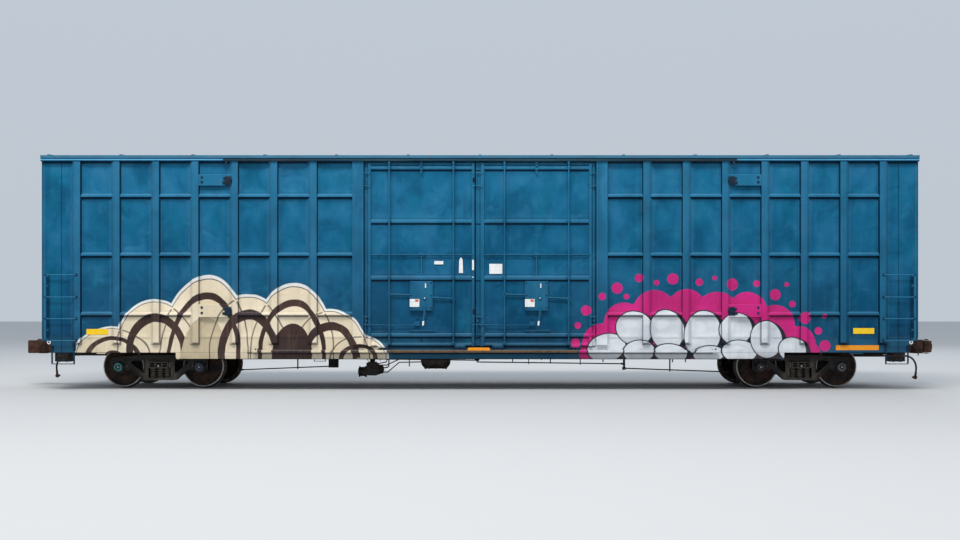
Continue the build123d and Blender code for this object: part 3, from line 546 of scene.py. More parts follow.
def art_right():
    """a plain pattern of rounded pebbles in silver and black over a magenta cloud with loose dots"""
    n = Nodes("paint_pebbles")
    col, rough, height, fine = blue_base(n, 0.0)
    x, z = n.x, n.z
    ok = n.ramp(z, 0.655, 0.665)
    cloud = [  # x, z, r
        (2.62, 1.02, 0.42), (3.10, 1.45, 0.44), (3.75, 1.70, 0.46), (4.45, 1.78, 0.40), (5.10, 1.66, 0.46), (5.75, 1.72, 0.40),
        (6.35, 1.42, 0.42), (6.85, 1.02, 0.36), (3.6, 1.05, 0.6), (4.7, 1.05, 0.7), (5.8, 1.0, 0.6), (7.10, 0.80, 0.22), (2.35, 0.80, 0.22),
    ]
    dots = [
        (2.10, 1.40, 0.07), (2.28, 1.72, 0.11), (2.62, 2.02, 0.08), (2.95, 2.20, 0.12), (3.42, 2.42, 0.09), (3.80, 2.32, 0.06), (4.15, 2.40, 0.12),
        (4.72, 2.33, 0.08), (5.05, 2.42, 0.05), (5.42, 2.28, 0.13), (5.95, 2.30, 0.07), (6.35, 2.06, 0.12), (6.72, 1.86, 0.07), (6.98, 1.56, 0.13),
        (7.28, 1.28, 0.08), (7.42, 0.96, 0.12), (2.05, 1.02, 0.10), (3.15, 2.02, 0.06), (6.60, 2.28, 0.05), (7.40, 1.60, 0.05),
    ]
    blobs = blend_union(n, [sd_circle(n, x, z, *c) for c in cloud], 0.10)
    loose = union(n, [sd_circle(n, x, z, *c) for c in dots])
    magenta = n.mix(n.ramp(n.noise(n.scaled(1.6, 1.6, 1.6, 5), 1.0, 3, 0.5), 0.3, 0.7), lin(206, 40, 126), lin(184, 34, 110))
    pebbles = [  # centre x, centre z, half width, half height, tilt
        (2.72, 0.92, 0.42, 0.30, 12), (3.32, 1.34, 0.40, 0.36, -20), (3.42, 0.84, 0.34, 0.24, 5), (4.02, 1.30, 0.36, 0.44, 14), (4.10, 0.80, 0.36, 0.20, -6),
        (4.78, 1.22, 0.40, 0.50, -10), (4.92, 0.78, 0.34, 0.18, 4), (5.50, 1.32, 0.36, 0.34, 24), (5.58, 0.84, 0.38, 0.24, -4), (6.16, 1.10, 0.34, 0.40, 8),
        (6.72, 0.88, 0.30, 0.26, -14),
    ]
    ds = [sd_ellipse(n, x, z, *p) for p in pebbles]
    shadow = union(n, [sd_ellipse(n, x, z, p[0] + 0.07, p[1] - 0.05, p[2] + 0.03, p[3] + 0.03, p[4]) for p in pebbles])
    silver = n.mix(n.ramp(n.noise(n.scaled(1.2, 1.2, 2.4, 2), 1.0, 3, 0.5), 0.3, 0.7), lin(224, 228, 230), lin(200, 204, 210))
    black = lin(38, 38, 46)
    items = [(n.mul(inside(n, blobs), ok), magenta), (n.mul(inside(n, loose), ok), magenta), (n.mul(inside(n, shadow), ok), black)]
    for i, (p, d) in enumerate(zip(pebbles, ds)):
        items.append((n.mul(inside(n, n.sub(d, 0.016)), ok), black))
        items.append((n.mul(inside(n, n.add(d, 0.006)), ok), silver))
        shine = sd_ellipse(n, x, z, p[0] - 0.26 * p[2], p[1] + 0.30 * p[3], 0.42 * p[2], 0.24 * p[3], p[4] + 12)
        items.append((n.mul(inside(n, shine, 0.03), n.mul(ok, 0.55)), lin(232, 234, 238)))
        low = n.mul(inside(n, n.add(d, 0.006)), n.ramp(n.sub(z, p[1]), -0.35 * p[3], -1.0 * p[3], 0.0, 0.45))
        items.append((n.mul(low, ok), lin(120, 124, 140)))
    art = layered(n, col, items)
    every = union(n, [blobs, loose, shadow] + ds)
    mask = n.mul(inside(n, every), ok)
    grime = n.noise(n.scaled(3.0, 3.0, 1.2, 14), 1.0, 6.0, 0.65)
    art = n.mix(n.ramp(n.add(z, n.mul(grime, -0.7)), 0.60, 0.25, 0.0, 0.20), art, lin(86, 80, 76))
    streak = n.noise(n.scaled(16.0, 16.0, 0.7, 31), 1.0, 4.0, 0.6)
    art = n.mix(n.mul(mask, n.ramp(streak, 0.52, 0.75, 0.0, 0.14)), art, lin(120, 112, 116))
    # painted shade and a weaker painted highlight, over the painted area too
    art = n.mix(mask, art, painted_shade_lines(n, art, 0.72, 0.25))
    return n.finish(art, n.add(rough, n.mul(mask, 0.06)), n.mul(inside(n, union(n, ds)), 0.05), n.bump(height, 0.35, 0.02), specular=0.16)


def grimy_steel(name, base, light, dark, rust=0.3, scale=6.0, rough=(0.55, 0.8), metallic=0.0, bump=0.5, bump_dist=0.004, pit=60.0, specular=0.3, dust=None, dust_fac=0.0, truck_shade=False):
    """cast or rolled steel with dirt, rust and dust lying on what faces up; for the truck castings, a lighter middle
    and painted shade on the arms and top
    """
    n = Nodes(name)
    a = n.noise(n.scaled(scale, scale, scale), 1.0, 7.0, 0.65)
    b = n.noise(n.scaled(scale * 7, scale * 7, scale * 7, 3), 1.0, 4.0, 0.6)
    col = n.mix(n.ramp(a, 0.35, 0.65), dark, light)
    col = n.mix(n.ramp(b, 0.35, 0.7, 0.0, 0.5), col, base)
    r = n.ramp(n.add(a, n.mul(b, 0.35)), 0.62, 0.80, 0.0, rust)
    col = n.mix(r, col, n.mix(n.ramp(b, 0.3, 0.7), lin(74, 42, 26), lin(122, 74, 44)))
    col = n.mix(n.ramp(n.point, 0.485, 0.42, 0.0, 0.6), col, dark)
    col = n.mix(n.mul(n.ramp(n.point, 0.52, 0.60), n.ramp(b, 0.35, 0.6, 0.0, 0.55)), col, light)
    if truck_shade:
        # the middle of each truck, round the springs, is lighter
        near = n.m("ABSOLUTE", n.sub(n.m("ABSOLUTE", n.x), TRUCK_X))
        col = n.mix(n.mul(n.mul(n.ramp(near, 0.44, 0.32), n.ramp(n.z, 0.66, 0.58)), n.ramp(a, 0.25, 0.65, 0.35, 0.85)), col, lin(86, 80, 71))
        # painted shade: the arms and the top, in the shadow of the sill, are darker
        col = n.mix(n.mul(n.mx(n.ramp(near, 0.36, 0.52), n.ramp(n.z, 0.62, 0.70)), 0.58), col, lin(25, 23, 26))
    if dust is not None:
        sep = n.nt.nodes.new("ShaderNodeSeparateXYZ")
        n.link(n.normal, sep.inputs[0])
        lay = n.mul(n.ramp(sep.outputs[2], 0.15, 0.85), n.ramp(a, 0.2, 0.6, 0.35, 1.0))
        col = n.mix(n.mul(lay, dust_fac), col, dust)
    pits = n.noise(n.scaled(pit, pit, pit, 7), 1.0, 3.0, 0.7)
    h = n.add(n.mul(a, 0.6), n.mul(pits, 0.4))
    return n.finish(col, n.ramp(n.add(b, n.mul(r, 0.4)), 0.3, 0.9, rough[0], rough[1]), metallic, n.bump(h, bump, bump_dist), specular=specular)


def eave_paint():
    """body colour with the track's worn grey face between its end stops, a painted highlight on the nose beyond them,
    and painted shade under the roof's edge, under the nose and in the slot over the track
    """
    n = Nodes("paint_eaves")
    col, rough, height, fine = blue_base(n, 5.0)
    far = n.m("ABSOLUTE", n.x)
    beyond = n.ramp(far, 5.49, 5.51)
    # this noise makes both the track's worn face and the painted highlight uneven
    wear = n.noise(n.scaled(0.8, 0.8, 5.0, 2.0), 1.0, 5.0, 0.65)
    # painted highlight along the nose, beyond the track
    nose = n.mul(n.ramp(n.z, 4.940, 4.946), n.ramp(n.z, 4.968, 4.962))
    col = n.mix(n.mul(n.mul(nose, beyond), n.ramp(wear, 0.30, 0.60, 0.45, 0.85)), col, lin(92, 168, 206))
    # painted shade under the roof's edge
    col = n.mix(n.mul(n.ramp(n.z, 4.966, 4.974), 0.45), col, lin(4, 66, 100))
    # painted shade under the nose, beyond the track
    col = n.mix(n.mul(n.ramp(n.z, 4.940, 4.930), n.mul(beyond, 0.55)), col, lin(0, 50, 84))
    face = n.mul(n.ramp(n.z, 4.960, 4.954), n.sub(1.0, beyond))
    grey = n.mix(n.ramp(far, 2.6, 3.6), n.mix(n.ramp(wear, 0.38, 0.62), lin(18, 46, 60), lin(44, 72, 84)), n.mix(n.ramp(wear, 0.38, 0.62), lin(16, 30, 42), lin(42, 54, 62)))
    col = n.mix(n.mul(face, n.ramp(wear, 0.25, 0.55, 0.6, 0.95)), col, grey)
    # painted shadow in the slot between the track and the roof's edge
    slot = n.mul(n.ramp(n.z, 4.956, 4.962), n.mul(n.ramp(n.z, 4.990, 4.982), n.sub(1.0, beyond)))
    col = n.mix(n.mul(slot, 0.88), col, lin(5, 12, 20))
    return n.finish(col, n.add(rough, n.mul(face, 0.15)), 0.0, n.bump(height, 0.3, 0.02), specular=0.16)


PLAIN = paint("paint_body")
EAVE_PAINT = eave_paint()
ART_L = art_left()
ART_R = art_right()
PAINT_SILL = PLAIN
PAINT_HARD = paint("paint_fittings", 7.0, tint=lin(8, 62, 94), tint_fac=0.30, flanks=False)
PAINT_STEP = paint("paint_steps", 4.0, tint=lin(12, 34, 50), tint_fac=0.72, flanks=False)
PAINT_RUNG = paint("paint_rungs", 9.0, tint=lin(64, 136, 170), tint_fac=0.42, flanks=False)
PAINT_END = paint("paint_end", 3.0, dirt=1.2, flanks=False)


def roof_paint():
    """body colour bleached paler, partly by the weather and partly as a painted reflection; painted shade in the pans
    and beside the seams, a painted highlight along the crossed pressings
    """
    n = Nodes("paint_roof")
    col, rough, height, fine = blue_base(n, 12.0, low=False, flanks=False)
    col = n.mix(0.30, col, lin(92, 130, 146))
    pitch = (2 * HALF_LEN - 0.344) / 12
    u = n.m("FRACT", n.mul(n.add(n.x, HALF_LEN - 0.172), 1.0 / pitch))
    v = n.mul(n.sub(n.m("ABSOLUTE", n.y), 0.04), 1.0 / 1.515)
    d = n.mn(n.m("ABSOLUTE", n.sub(u, v)), n.m("ABSOLUTE", n.sub(n.add(u, v), 1.0)))
    # this noise only makes the painted highlight and shade below uneven
    dirt = n.noise(n.scaled(2.4, 1.6, 2.4, 6.0), 1.0, 5.0, 0.6)
    inner = n.mul(n.ramp(n.mn(n.mn(u, n.sub(1.0, u)), n.mn(v, n.sub(1.0, v))), 0.03, 0.10), n.ramp(n.m("ABSOLUTE", n.x), HALF_LEN - 0.16, HALF_LEN - 0.20))
    # painted highlight along the crossed pressings
    col = n.mix(n.mul(n.mul(n.ramp(d, 0.12, 0.045), inner), n.ramp(dirt, 0.3, 0.6, 0.25, 0.55)), col, lin(122, 158, 172))
    # painted shade in the pans round them
    col = n.mix(n.mul(n.mul(n.ramp(d, 0.10, 0.22), inner), n.ramp(dirt, 0.3, 0.6, 0.20, 0.55)), col, lin(30, 76, 96))
    # painted shade beside the seam caps
    side = n.mul(n.ramp(n.mn(u, n.sub(1.0, u)), 0.055, 0.030), n.mul(n.ramp(dirt, 0.3, 0.65, 0.35, 0.75), n.ramp(v, 0.97, 0.93)))
    col = n.mix(side, col, lin(40, 70, 82))
    run = n.noise(n.scaled(9.0, 0.5, 1.0, 3.0), 1.0, 4.0, 0.6)
    col = n.mix(n.ramp(run, 0.54, 0.74, 0.0, 0.40), col, lin(104, 96, 84))
    spot = n.noise(n.scaled(7.0, 7.0, 7.0, 17.0), 1.0, 6.0, 0.7)
    col = n.mix(n.ramp(spot, 0.70, 0.78, 0.0, 0.55), col, lin(112, 74, 48))
    return n.finish(col, n.add(rough, 0.08), 0.0, n.bump(height, 0.35, 0.02), specular=0.12)


PAINT_ROOF = roof_paint()
TRACK_RUST = grimy_steel("ledge_rust", lin(88, 78, 66), lin(112, 92, 70), lin(52, 44, 38), 0.7, 9.0, (0.6, 0.85), bump_dist=0.003)
CHASSIS = grimy_steel("underframe_dark", lin(32, 32, 34), lin(48, 46, 44), lin(16, 16, 18), 0.25, 4.0, dust=lin(96, 86, 74), dust_fac=0.35)
FLOORING = grimy_steel("floor_dark", lin(60, 52, 44), lin(80, 68, 56), lin(34, 30, 27), 0.3, 3.0)
GRATE = grimy_steel("grating_zinc", lin(120, 124, 126), lin(148, 150, 150), lin(78, 80, 82), 0.15, 8.0, (0.4, 0.6), 0.6)
BRAKE = grimy_steel("brake_black", lin(30, 30, 31), lin(50, 48, 46), lin(16, 16, 17), 0.2, 7.0, (0.5, 0.75), dust=lin(92, 82, 70), dust_fac=0.4)
RUSTY = grimy_steel("coupler_cast", lin(50, 31, 25), lin(74, 46, 34), lin(26, 17, 15), 0.45, 8.0, (0.6, 0.85), bump=0.8, bump_dist=0.005, pit=45.0)
# the truck castings carry painted shade on their arms and top
CAST = grimy_steel("truck_cast", lin(48, 44, 41), lin(72, 66, 60), lin(22, 21, 21), 0.10, 5.0, (0.6, 0.85), bump=0.8, bump_dist=0.005, pit=50.0, dust=lin(92, 84, 74), dust_fac=0.4, truck_shade=True)
COIL = grimy_steel("coil_spring", lin(66, 62, 56), lin(92, 86, 76), lin(32, 30, 28), 0.15, 9.0, dust=lin(110, 98, 84), dust_fac=0.4)
CAP_DARK = grimy_steel("cap_dark", lin(24, 27, 33), lin(46, 50, 58), lin(12, 13, 17), 0.10, 12.0, (0.35, 0.6), 0.2)
CAP_BLUE = grimy_steel("cap_blue", lin(34, 52, 76), lin(58, 78, 104), lin(18, 28, 44), 0.12, 12.0, (0.35, 0.6), 0.1)
CAP_GREY = grimy_steel("cap_grey", lin(70, 78, 82), lin(110, 118, 120), lin(34, 38, 40), 0.12, 12.0, (0.35, 0.6), 0.1)
CAP_TEAL = grimy_steel("cap_teal", lin(10, 104, 104), lin(60, 150, 146), lin(6, 50, 54), 0.10, 12.0, (0.35, 0.6), 0.1)
PLATE = grimy_steel("wheel_plate", lin(27, 21, 19), lin(44, 32, 26), lin(14, 12, 12), 0.22, 6.0, (0.65, 0.9), dust=lin(70, 60, 50), dust_fac=0.2, specular=0.25)
TREAD = grimy_steel("wheel_tread", lin(170, 168, 164), lin(196, 194, 190), lin(136, 132, 128), 0.08, 14.0, (0.30, 0.48), 0.35, 0.2, 0.001)
RUNNING = grimy_steel("wheel_running", lin(66, 62, 58), lin(92, 88, 84), lin(44, 41, 39), 0.15, 14.0, (0.45, 0.62), 0.3, 0.2, 0.001)
RIM = grimy_steel("wheel_rim", lin(72, 66, 60), lin(120, 112, 104), lin(40, 35, 32), 0.3, 10.0, (0.4, 0.65), 0.45, 0.4, 0.002)
AXLE = grimy_steel("axle_oxide", lin(50, 38, 32), lin(78, 58, 46), lin(30, 24, 22), 0.5, 8.0)
BOLT = grimy_steel("bolt_steel", lin(58, 54, 50), lin(110, 104, 98), lin(28, 26, 25), 0.4, 20.0, (0.4, 0.7), 0.5)


def rubber():
    n = Nodes("hose_rubber")
    a = n.noise(n.scaled(30, 30, 30), 1.0, 5.0, 0.6)
    ribs = n.m("SINE", n.mul(n.z, 900.0))
    col = n.mix(n.ramp(a, 0.35, 0.7), lin(22, 22, 23), lin(58, 54, 50))
    return n.finish(col, n.ramp(a, 0.3, 0.7, 0.5, 0.75), 0.0, n.bump(n.add(n.mul(a, 1.0), n.mul(ribs, 0.08)), 0.4, 0.002), specular=0.35)


def label(name, base, dirty, scale=14.0, rough=0.5):
    n = Nodes(name)
    a = n.noise(n.scaled(scale, scale, scale, 4), 1.0, 6.0, 0.65)
    b = n.noise(n.scaled(scale * 5, scale * 5, scale * 0.8, 9), 1.0, 4.0, 0.6)
    col = n.mix(n.ramp(a, 0.45, 0.75, 0.0, 0.6), base, dirty)
    col = n.mix(n.ramp(b, 0.55, 0.8, 0.0, 0.45), col, dirty)
    return n.finish(col, n.ramp(a, 0.3, 0.7, rough - 0.1, rough + 0.15), 0.0, n.bump(b, 0.15, 0.001), specular=0.5)


RUBBER = rubber()
WHITE = label("label_white", lin(238, 238, 236), lin(186, 190, 190))
YELLOW = label("reflector_yellow", lin(252, 206, 12), lin(214, 176, 40), rough=0.32)
ORANGE = label("reflector_orange", lin(244, 152, 4), lin(200, 118, 24), rough=0.32)
RED_TAG = label("label_orange", lin(214, 96, 36), lin(150, 76, 40))
LATCH = grimy_steel("latch_dark", lin(8, 24, 40), lin(24, 46, 66), lin(3, 10, 20), 0.06, 14.0, specular=0.2)
BOLT_PAINT = grimy_steel("bolt_painted", lin(4, 30, 54), lin(20, 58, 86), lin(2, 14, 28), 0.05, 20.0, specular=0.2)
BOX_DARK = grimy_steel("bearing_saddle", lin(24, 24, 27), lin(42, 41, 43), lin(12, 12, 14), 0.08, 9.0)

ZONES = {"L": (-8.75, -1.90, 0.60, 2.62), "R": (1.90, 7.70, 0.60, 2.62)}


def painted(mesh, first=0):
    """faces of the near side that reach into a painted area take its material: slots first, first+1, first+2 are plain, left and right"""
    for i, f in enumerate(mesh.f):
        if mesh.m[i] != first:
            continue
        pts = [mesh.v[k] for k in f]
        if max(p[1] for p in pts) > -1.40:
            continue
        x0, x1 = min(p[0] for p in pts), max(p[0] for p in pts)
        z0 = min(p[2] for p in pts)
        z1 = max(p[2] for p in pts)
        for k, (a, b, c, d) in enumerate(ZONES.values()):
            if x1 > a and x0 < b and z1 > c and z0 < d:
                mesh.m[i] = first + 1 + k
    return mesh


# ------------------------------------------------------------------ side walls
def lines_between(a, b, inset, count):
    """a, the dished area's edge twice, an even middle, and the same at b"""
    sgn = 1 if b > a else -1
    w = abs(b - a)
    i0, i1 = inset * 0.84, inset * 1.16
    if w < 4 * inset:
        return [a, (a + b) / 2]
    mid = [a + sgn * (i1 + (w - 2 * i1) * k / count) for k in range(count + 1)]
    return [a, a + sgn * i0] + mid + [b - sgn * i0]


def smooth(t):
    t = max(0.0, min(1.0, t))
    return t * t * (3 - 2 * t)


def dish(x, z, x0, x1, z0, z1, inset, depth, can, seed):
    """how far a sheet stands in at a point of a framed panel"""
    d = min(x - x0, x1 - x, z - z0, z1 - z)
    t = smooth((d - inset * 0.83) / (inset * 0.34))
    u, w = (x - x0) / (x1 - x0), (z - z0) / (z1 - z0)
    belly = math.sin(math.pi * u) * math.sin(math.pi * w)
    n = noise.noise(Vector((x * 1.9 + seed, z * 1.5, seed * 0.37)))
    n2 = noise.noise(Vector((x * 4.1, z * 3.3 + seed, 4.0 + seed)))
    return t * depth + t * can * belly * (1.6 * n + 0.6 * n2)


def wall_post(m, x_face, s):
    """pressed hat post with rounded corners, welded feet and a closed, sloping bottom"""
    def section(o_face, grow=0.0):
        pts = [(x_face - 0.016, PANEL_OUT - 0.004), (x_face - 0.013, PANEL_OUT + 0.004), (x_face - 0.002, o_face - 0.012), (x_face + 0.002, o_face - 0.003), (x_face + 0.012, o_face),
               (x_face + POST_FACE - 0.010, o_face), (x_face + POST_FACE + 0.004, o_face - 0.004), (x_face + POST_FACE + 0.072, PANEL_OUT + 0.006),
               (x_face + POST_FACE + 0.084, PANEL_OUT + 0.001), (x_face + POST_FACE + 0.084, PANEL_OUT - 0.004)]
        return [(s * x, -o) for x, o in pts]
    rings = []
    for z, o in ((POST_FOOT_Z - 0.004, PANEL_OUT + 0.010), (POST_FOOT_Z + 0.004, PANEL_OUT + 0.020), (POST_FOOT_Z + 0.052, POST_OUT), (EAVE_BOTTOM, POST_OUT)):
        rings.append([(x, y, z) for x, y in section(o)])
    m.loft(rings)
    # weld flanges on the sheet
    for a, b in ((x_face - 0.040, x_face - 0.012), (x_face + POST_FACE + 0.080, x_face + POST_FACE + 0.104)):
        m.box(s * a, s * b, -PANEL_OUT + 0.006, -PANEL_OUT - 0.0035, WALL_BOTTOM + 0.01, EAVE_BOTTOM - 0.004)


def wall_belt(m, x0, x1, z, s):
    """belt with a rounded top and a tucked lower edge, its ends cut to the posts"""
    pts = [(PANEL_OUT - 0.004, z - BELT_FOOT / 2 - 0.004), (PANEL_OUT + 0.003, z - BELT_FOOT / 2 - 0.002), (BELT_OUT - 0.008, z - BELT_FACE / 2 + 0.000), (BELT_OUT, z - BELT_FACE / 2 + 0.010),
           (BELT_OUT, z + BELT_FACE / 2 - 0.024), (BELT_OUT - 0.010, z + BELT_FACE / 2 - 0.010), (PANEL_OUT + 0.006, z + BELT_FOOT / 2), (PANEL_OUT - 0.004, z + BELT_FOOT / 2 + 0.004)]
    m.prism([(-o, zz) for o, zz in pts], "x", s * x0, s * x1)
    m.box(s * x0, s * x1, -PANEL_OUT + 0.006, -PANEL_OUT - 0.003, z + BELT_FOOT / 2, z + BELT_FOOT / 2 + 0.022)


def side_wall_mesh():
    m = Half()
    faces = [POST_FIRST + k * POST_PITCH for k in range(POST_COUNT)]
    bays = list(zip([DOOR_POST_X[1]] + [x + POST_FACE + 0.104 for x in faces], [x - 0.040 for x in faces] + [HALF_LEN - 0.012]))
    rows = list(zip([WALL_BOTTOM] + [z + BELT_FOOT / 2 for z in BELT_Z], [z - BELT_FOOT / 2 for z in BELT_Z] + [EAVE_BOTTOM]))
    for s in (-1, 1):
        xs, xcell = [DOOR_POST_X[0]], [None]
        for k, (a, b) in enumerate(bays):
            last = k == len(bays) - 1
            if last:
                part = [a, a + 0.10, 8.985, 9.0, 9.006, 9.2, b]
            else:
                part = lines_between(a, b, 0.052, 7) + [b]
            for x in part:
                xs.append(x)
        xs.append(HALF_LEN)
        xs = sorted(set(round(x, 5) for x in xs))
        zs = []
        for k, (a, b) in enumerate(rows):
            zs += lines_between(a, b, 0.045, 5 if k in (0, 3) else 8) + [b]
        zs = sorted(set(round(z, 5) for z in zs))

        def height(x, z):
            for k, (a, b) in enumerate(bays):
                if a <= x <= b:
                    if k == len(bays) - 1:
                        lap = 0.0035 if x >= 9.0 else 0.0
                        n = noise.noise(Vector((x * 2.0 + s * 3, z * 1.1, 2.2)))
                        edge = smooth(min(x - a, b - x) / 0.15)
                        return lap - 0.004 - 0.004 * n * edge
                    for r, (c, d) in enumerate(rows):
                        if c <= z <= d:
                            return -dish(x, z, a, b, c, d, 0.050, 0.0095, 0.0080, s * 7.0 + k * 3.1 + r * 1.7)
            return 0.0
        front = [[(s * x, -(PANEL_OUT + height(x, z)), z) for z in zs] for x in xs]
        nz = len(zs)
        verts = [p for col in front for p in col]
        fs = []
        for i in range(len(xs) - 1):
            for j in range(nz - 1):
                fs.append((i * nz + j, (i + 1) * nz + j, (i + 1) * nz + j + 1, i * nz + j + 1))
        base = len(verts)
        verts += [(s * xs[0], -IN_HALF_W, zs[0]), (s * xs[-1], -IN_HALF_W, zs[0]), (s * xs[-1], -IN_HALF_W, zs[-1]), (s * xs[0], -IN_HALF_W, zs[-1])]
        bottom = [i * nz for i in range(len(xs))]
        top = [i * nz + nz - 1 for i in range(len(xs))]
        left = list(range(nz))
        right = [(len(xs) - 1) * nz + j for j in range(nz)]
        fs += [tuple(bottom + [base + 1, base]), tuple(top[::-1] + [base + 3, base + 2]), tuple(left[::-1] + [base, base + 3]), tuple(right + [base + 2, base + 1]), (base, base + 1, base + 2, base + 3)]
        m.add(verts, fs)
        # door post: a broad flat post with a rolled outer edge and a shallow groove
        m.prism([(s * x, -o) for x, o in ((DOOR_POST_X[0], PANEL_OUT - 0.01), (DOOR_POST_X[0], POST_OUT - 0.004), (DOOR_POST_X[0] + 0.012, POST_OUT), (DOOR_POST_X[0] + 0.030, POST_OUT),
                                          (DOOR_POST_X[0] + 0.038, POST_OUT - 0.006), (DOOR_POST_X[1] - 0.040, POST_OUT - 0.006), (DOOR_POST_X[1] - 0.028, POST_OUT), (DOOR_POST_X[1] - 0.010, POST_OUT - 0.002),
                                          (DOOR_POST_X[1], POST_OUT - 0.012), (DOOR_POST_X[1], PANEL_OUT - 0.01))], "z", POST_FOOT_Z, EAVE_BOTTOM)
        for x in faces:
            wall_post(m, x, s)
        starts = [DOOR_POST_X[1]] + [x + POST_FACE + 0.020 for x in faces[:-1]]
        for x0, x1 in zip(starts, faces):
            for z in BELT_Z:
                wall_belt(m, x0 - 0.006, x1 + 0.006, z, s)
        # short stub of each belt behind the last post, where the end bay's sheet laps
        m.box(s * (HALF_LEN - 0.012), s * HALF_LEN, -PANEL_OUT + 0.01, -PANEL_OUT - 0.014, WALL_BOTTOM, EAVE_BOTTOM)
        m.box(s * (HALF_LEN - 0.075), s * (HALF_LEN - 0.012), -PANEL_OUT + 0.008, -PANEL_OUT - 0.004, WALL_BOTTOM, EAVE_BOTTOM)
        # stop plates for the open door
        for z0, z1 in ((4.391, 4.638), (1.571, 1.855)):
            x0, x1 = 5.318, 6.052
            o = POST_OUT - 0.008
            m.prism([(-PANEL_OUT + 0.004, z0), (-o + 0.010, z0), (-o, z0 + 0.008), (-o, z1 - 0.008), (-o + 0.010, z1), (-PANEL_OUT + 0.004, z1)], "x", s * x0, s * x1)
            for k in (0.33, 0.74):
                m.bolt((s * 5.965, -o, z0 + (z1 - z0) * k), (0, -1, 0), 0.021, 0.016, mat=3)
            # bumper casting at the inboard end
            zc = (z0 + z1) / 2
            m.prism([(-o + 0.002, zc - 0.105), (-o - 0.020, zc - 0.095), (-o - 0.020, zc + 0.060), (-o + 0.002, zc + 0.085)], "x", s * 5.330, s * 5.470, mat=4)
            m.box(s * 5.470, s * 5.520, -o + 0.002, -o - 0.012, zc - 0.085, zc - 0.030, mat=4)
            m.box(s * 5.470, s * 5.505, -o + 0.002, -o - 0.012, zc + 0.010, zc + 0.055, mat=4)
            m.cyl((s * 5.315, -o - 0.006, zc - 0.010), (s * 5.335, -o - 0.006, zc - 0.010), 0.040, 16, mat=4, chamfer=0.006)
    return m


wall = side_wall_mesh()
near_wall = Half()
extend(near_wall, wall)
ob = painted(near_wall).make("side_shell_near", [PLAIN, ART_L, ART_R, BOLT_PAINT, LATCH], "car_body", "body_paint", ("side_wall_near", "corner_panels"))
# bolts and latches keep slots 3 and 4
far_wall = wall.turned(1)
far_wall.make("side_shell_far", [PLAIN, ART_L, ART_R, BOLT_PAINT, LATCH], "car_body", "body_paint", ("side_wall_far", "corner_panels"))


# ------------------------------------------------------------------ side sills
def sill_mesh():
    m = Half()
    x, o = SILL_END, PANEL_OUT
    # face plate, a little behind the wall sheet above it, with a rounded lower edge
    cuts = [-x, -8.75, -5.2, -1.90, 1.90, 4.8, 7.70, x]
    for xa, xb in zip(cuts, cuts[1:]):
        m.prism([(-SILL_IN, SILL_BOTTOM + 0.012), (-SILL_IN, SILL_BOTTOM), (-o + 0.010, SILL_BOTTOM), (-o + 0.001, SILL_BOTTOM + 0.010), (-o + 0.001, WALL_BOTTOM - 0.006), (-o + 0.006, WALL_BOTTOM),
                 (-SILL_IN, WALL_BOTTOM)], "x", xa, xb)
    for s in (-1, 1):
        m.box(s * x, s * HALF_LEN, -SILL_IN, -o + 0.001, 1.075, WALL_BOTTOM)
        # roping ring on its lug at the corner
        m.box(s * (x - 0.020), s * (x + 0.012), -o + 0.004, -o - 0.006, 1.000, 1.070)
        ring = Vector((s * (x + 0.040), -o - 0.002, 1.034))
        m.lathe([(-0.009, 0.022), (-0.012, 0.031), (-0.009, 0.040), (0.0, 0.044), (0.009, 0.040), (0.012, 0.031), (0.009, 0.022), (0.0, 0.018)], ring, (0, -1, 0), 24, mat=3)
        # jacking pad
        m.box(s * 7.95, s * 8.25, -SILL_IN - 0.005, -o + 0.012, SILL_BOTTOM - 0.022, SILL_BOTTOM)
    # lap seam strip under the wall sheet
    for xa, xb in zip([-HALF_LEN] + cuts[1:-1], cuts[1:-1] + [HALF_LEN]):
        m.box(xa, xb, -o + 0.004, -o - 0.004, WALL_BOTTOM - 0.020, WALL_BOTTOM - 0.004)
    # skirt, deeper between the trucks, with cut corners and a bottom flange
    e, c, b = SKIRT_END, 0.055, SKIRT_BOTTOM
    top = SILL_BOTTOM + 0.006
    arc = lambda cx, cz, r, a0, a1: [(cx + r * math.cos(math.radians(a)), cz + r * math.sin(math.radians(a))) for a in [a0 + (a1 - a0) * k / 5 for k in range(6)]]
    m.prism([(-e, top)] + arc(-e + c, b + c, c, 180, 270) + [(-1.90, b), (-1.90, top)], "y", -1.492, -o + 0.003)
    m.prism([(-1.90, top), (-1.90, b), (1.90, b), (1.90, top)], "y", -1.492, -o + 0.003)
    m.prism([(1.90, top), (1.90, b)] + arc(e - c, b + c, c, 270, 360) + [(e, top)], "y", -1.492, -o + 0.003)
    for xa, xb in ((-e + c, -1.90), (-1.90, 1.90), (1.90, e - c)):
        m.box(xa, xb, -SILL_IN, -o + 0.003, b, b + 0.012)
    # tabs and hooks that hang below the skirt
    for hx, hz in ((0.704, 0.610), (1.517, 0.575), (2.651, 0.610), (4.149, 0.605), (4.428, 0.605), (-1.522, 0.515)):
        m.box(hx - 0.012, hx + 0.012, -1.478, -1.468, hz, b + 0.006)
        m.box(hx - 0.012, hx + 0.012, -1.490, -1.468, hz, hz + 0.010)
    m.box(-3.578, -3.560, -1.480, -1.470, 0.625, b + 0.006)
    m.box(-3.339, -3.321, -1.480, -1.470, 0.625, b + 0.006)
    m.box(-3.578, -3.321, -1.486, -1.470, 0.622, 0.634)
    # plug welds and stiffeners along the skirt
    for k in range(-7, 8):
        m.box(k * 0.88 - 0.006, k * 0.88 + 0.006, -SILL_IN, -1.493, b + 0.012, SILL_BOTTOM)
    for k in range(-36, 37):
        m.rivet((k * 0.25 + 0.11, -o + 0.001, 1.112), (0, -1, 0), 0.010, 0.005)
    return m


sill = sill_mesh()
near_sill = painted(extend(Half(), sill))
both = Mesh()
extend(both, near_sill)
extend(both, sill.turned(1))
both.make("sill_shells", [PLAIN, ART_L, ART_R, WHITE], "car_body", "body_paint", ("side_sills",))


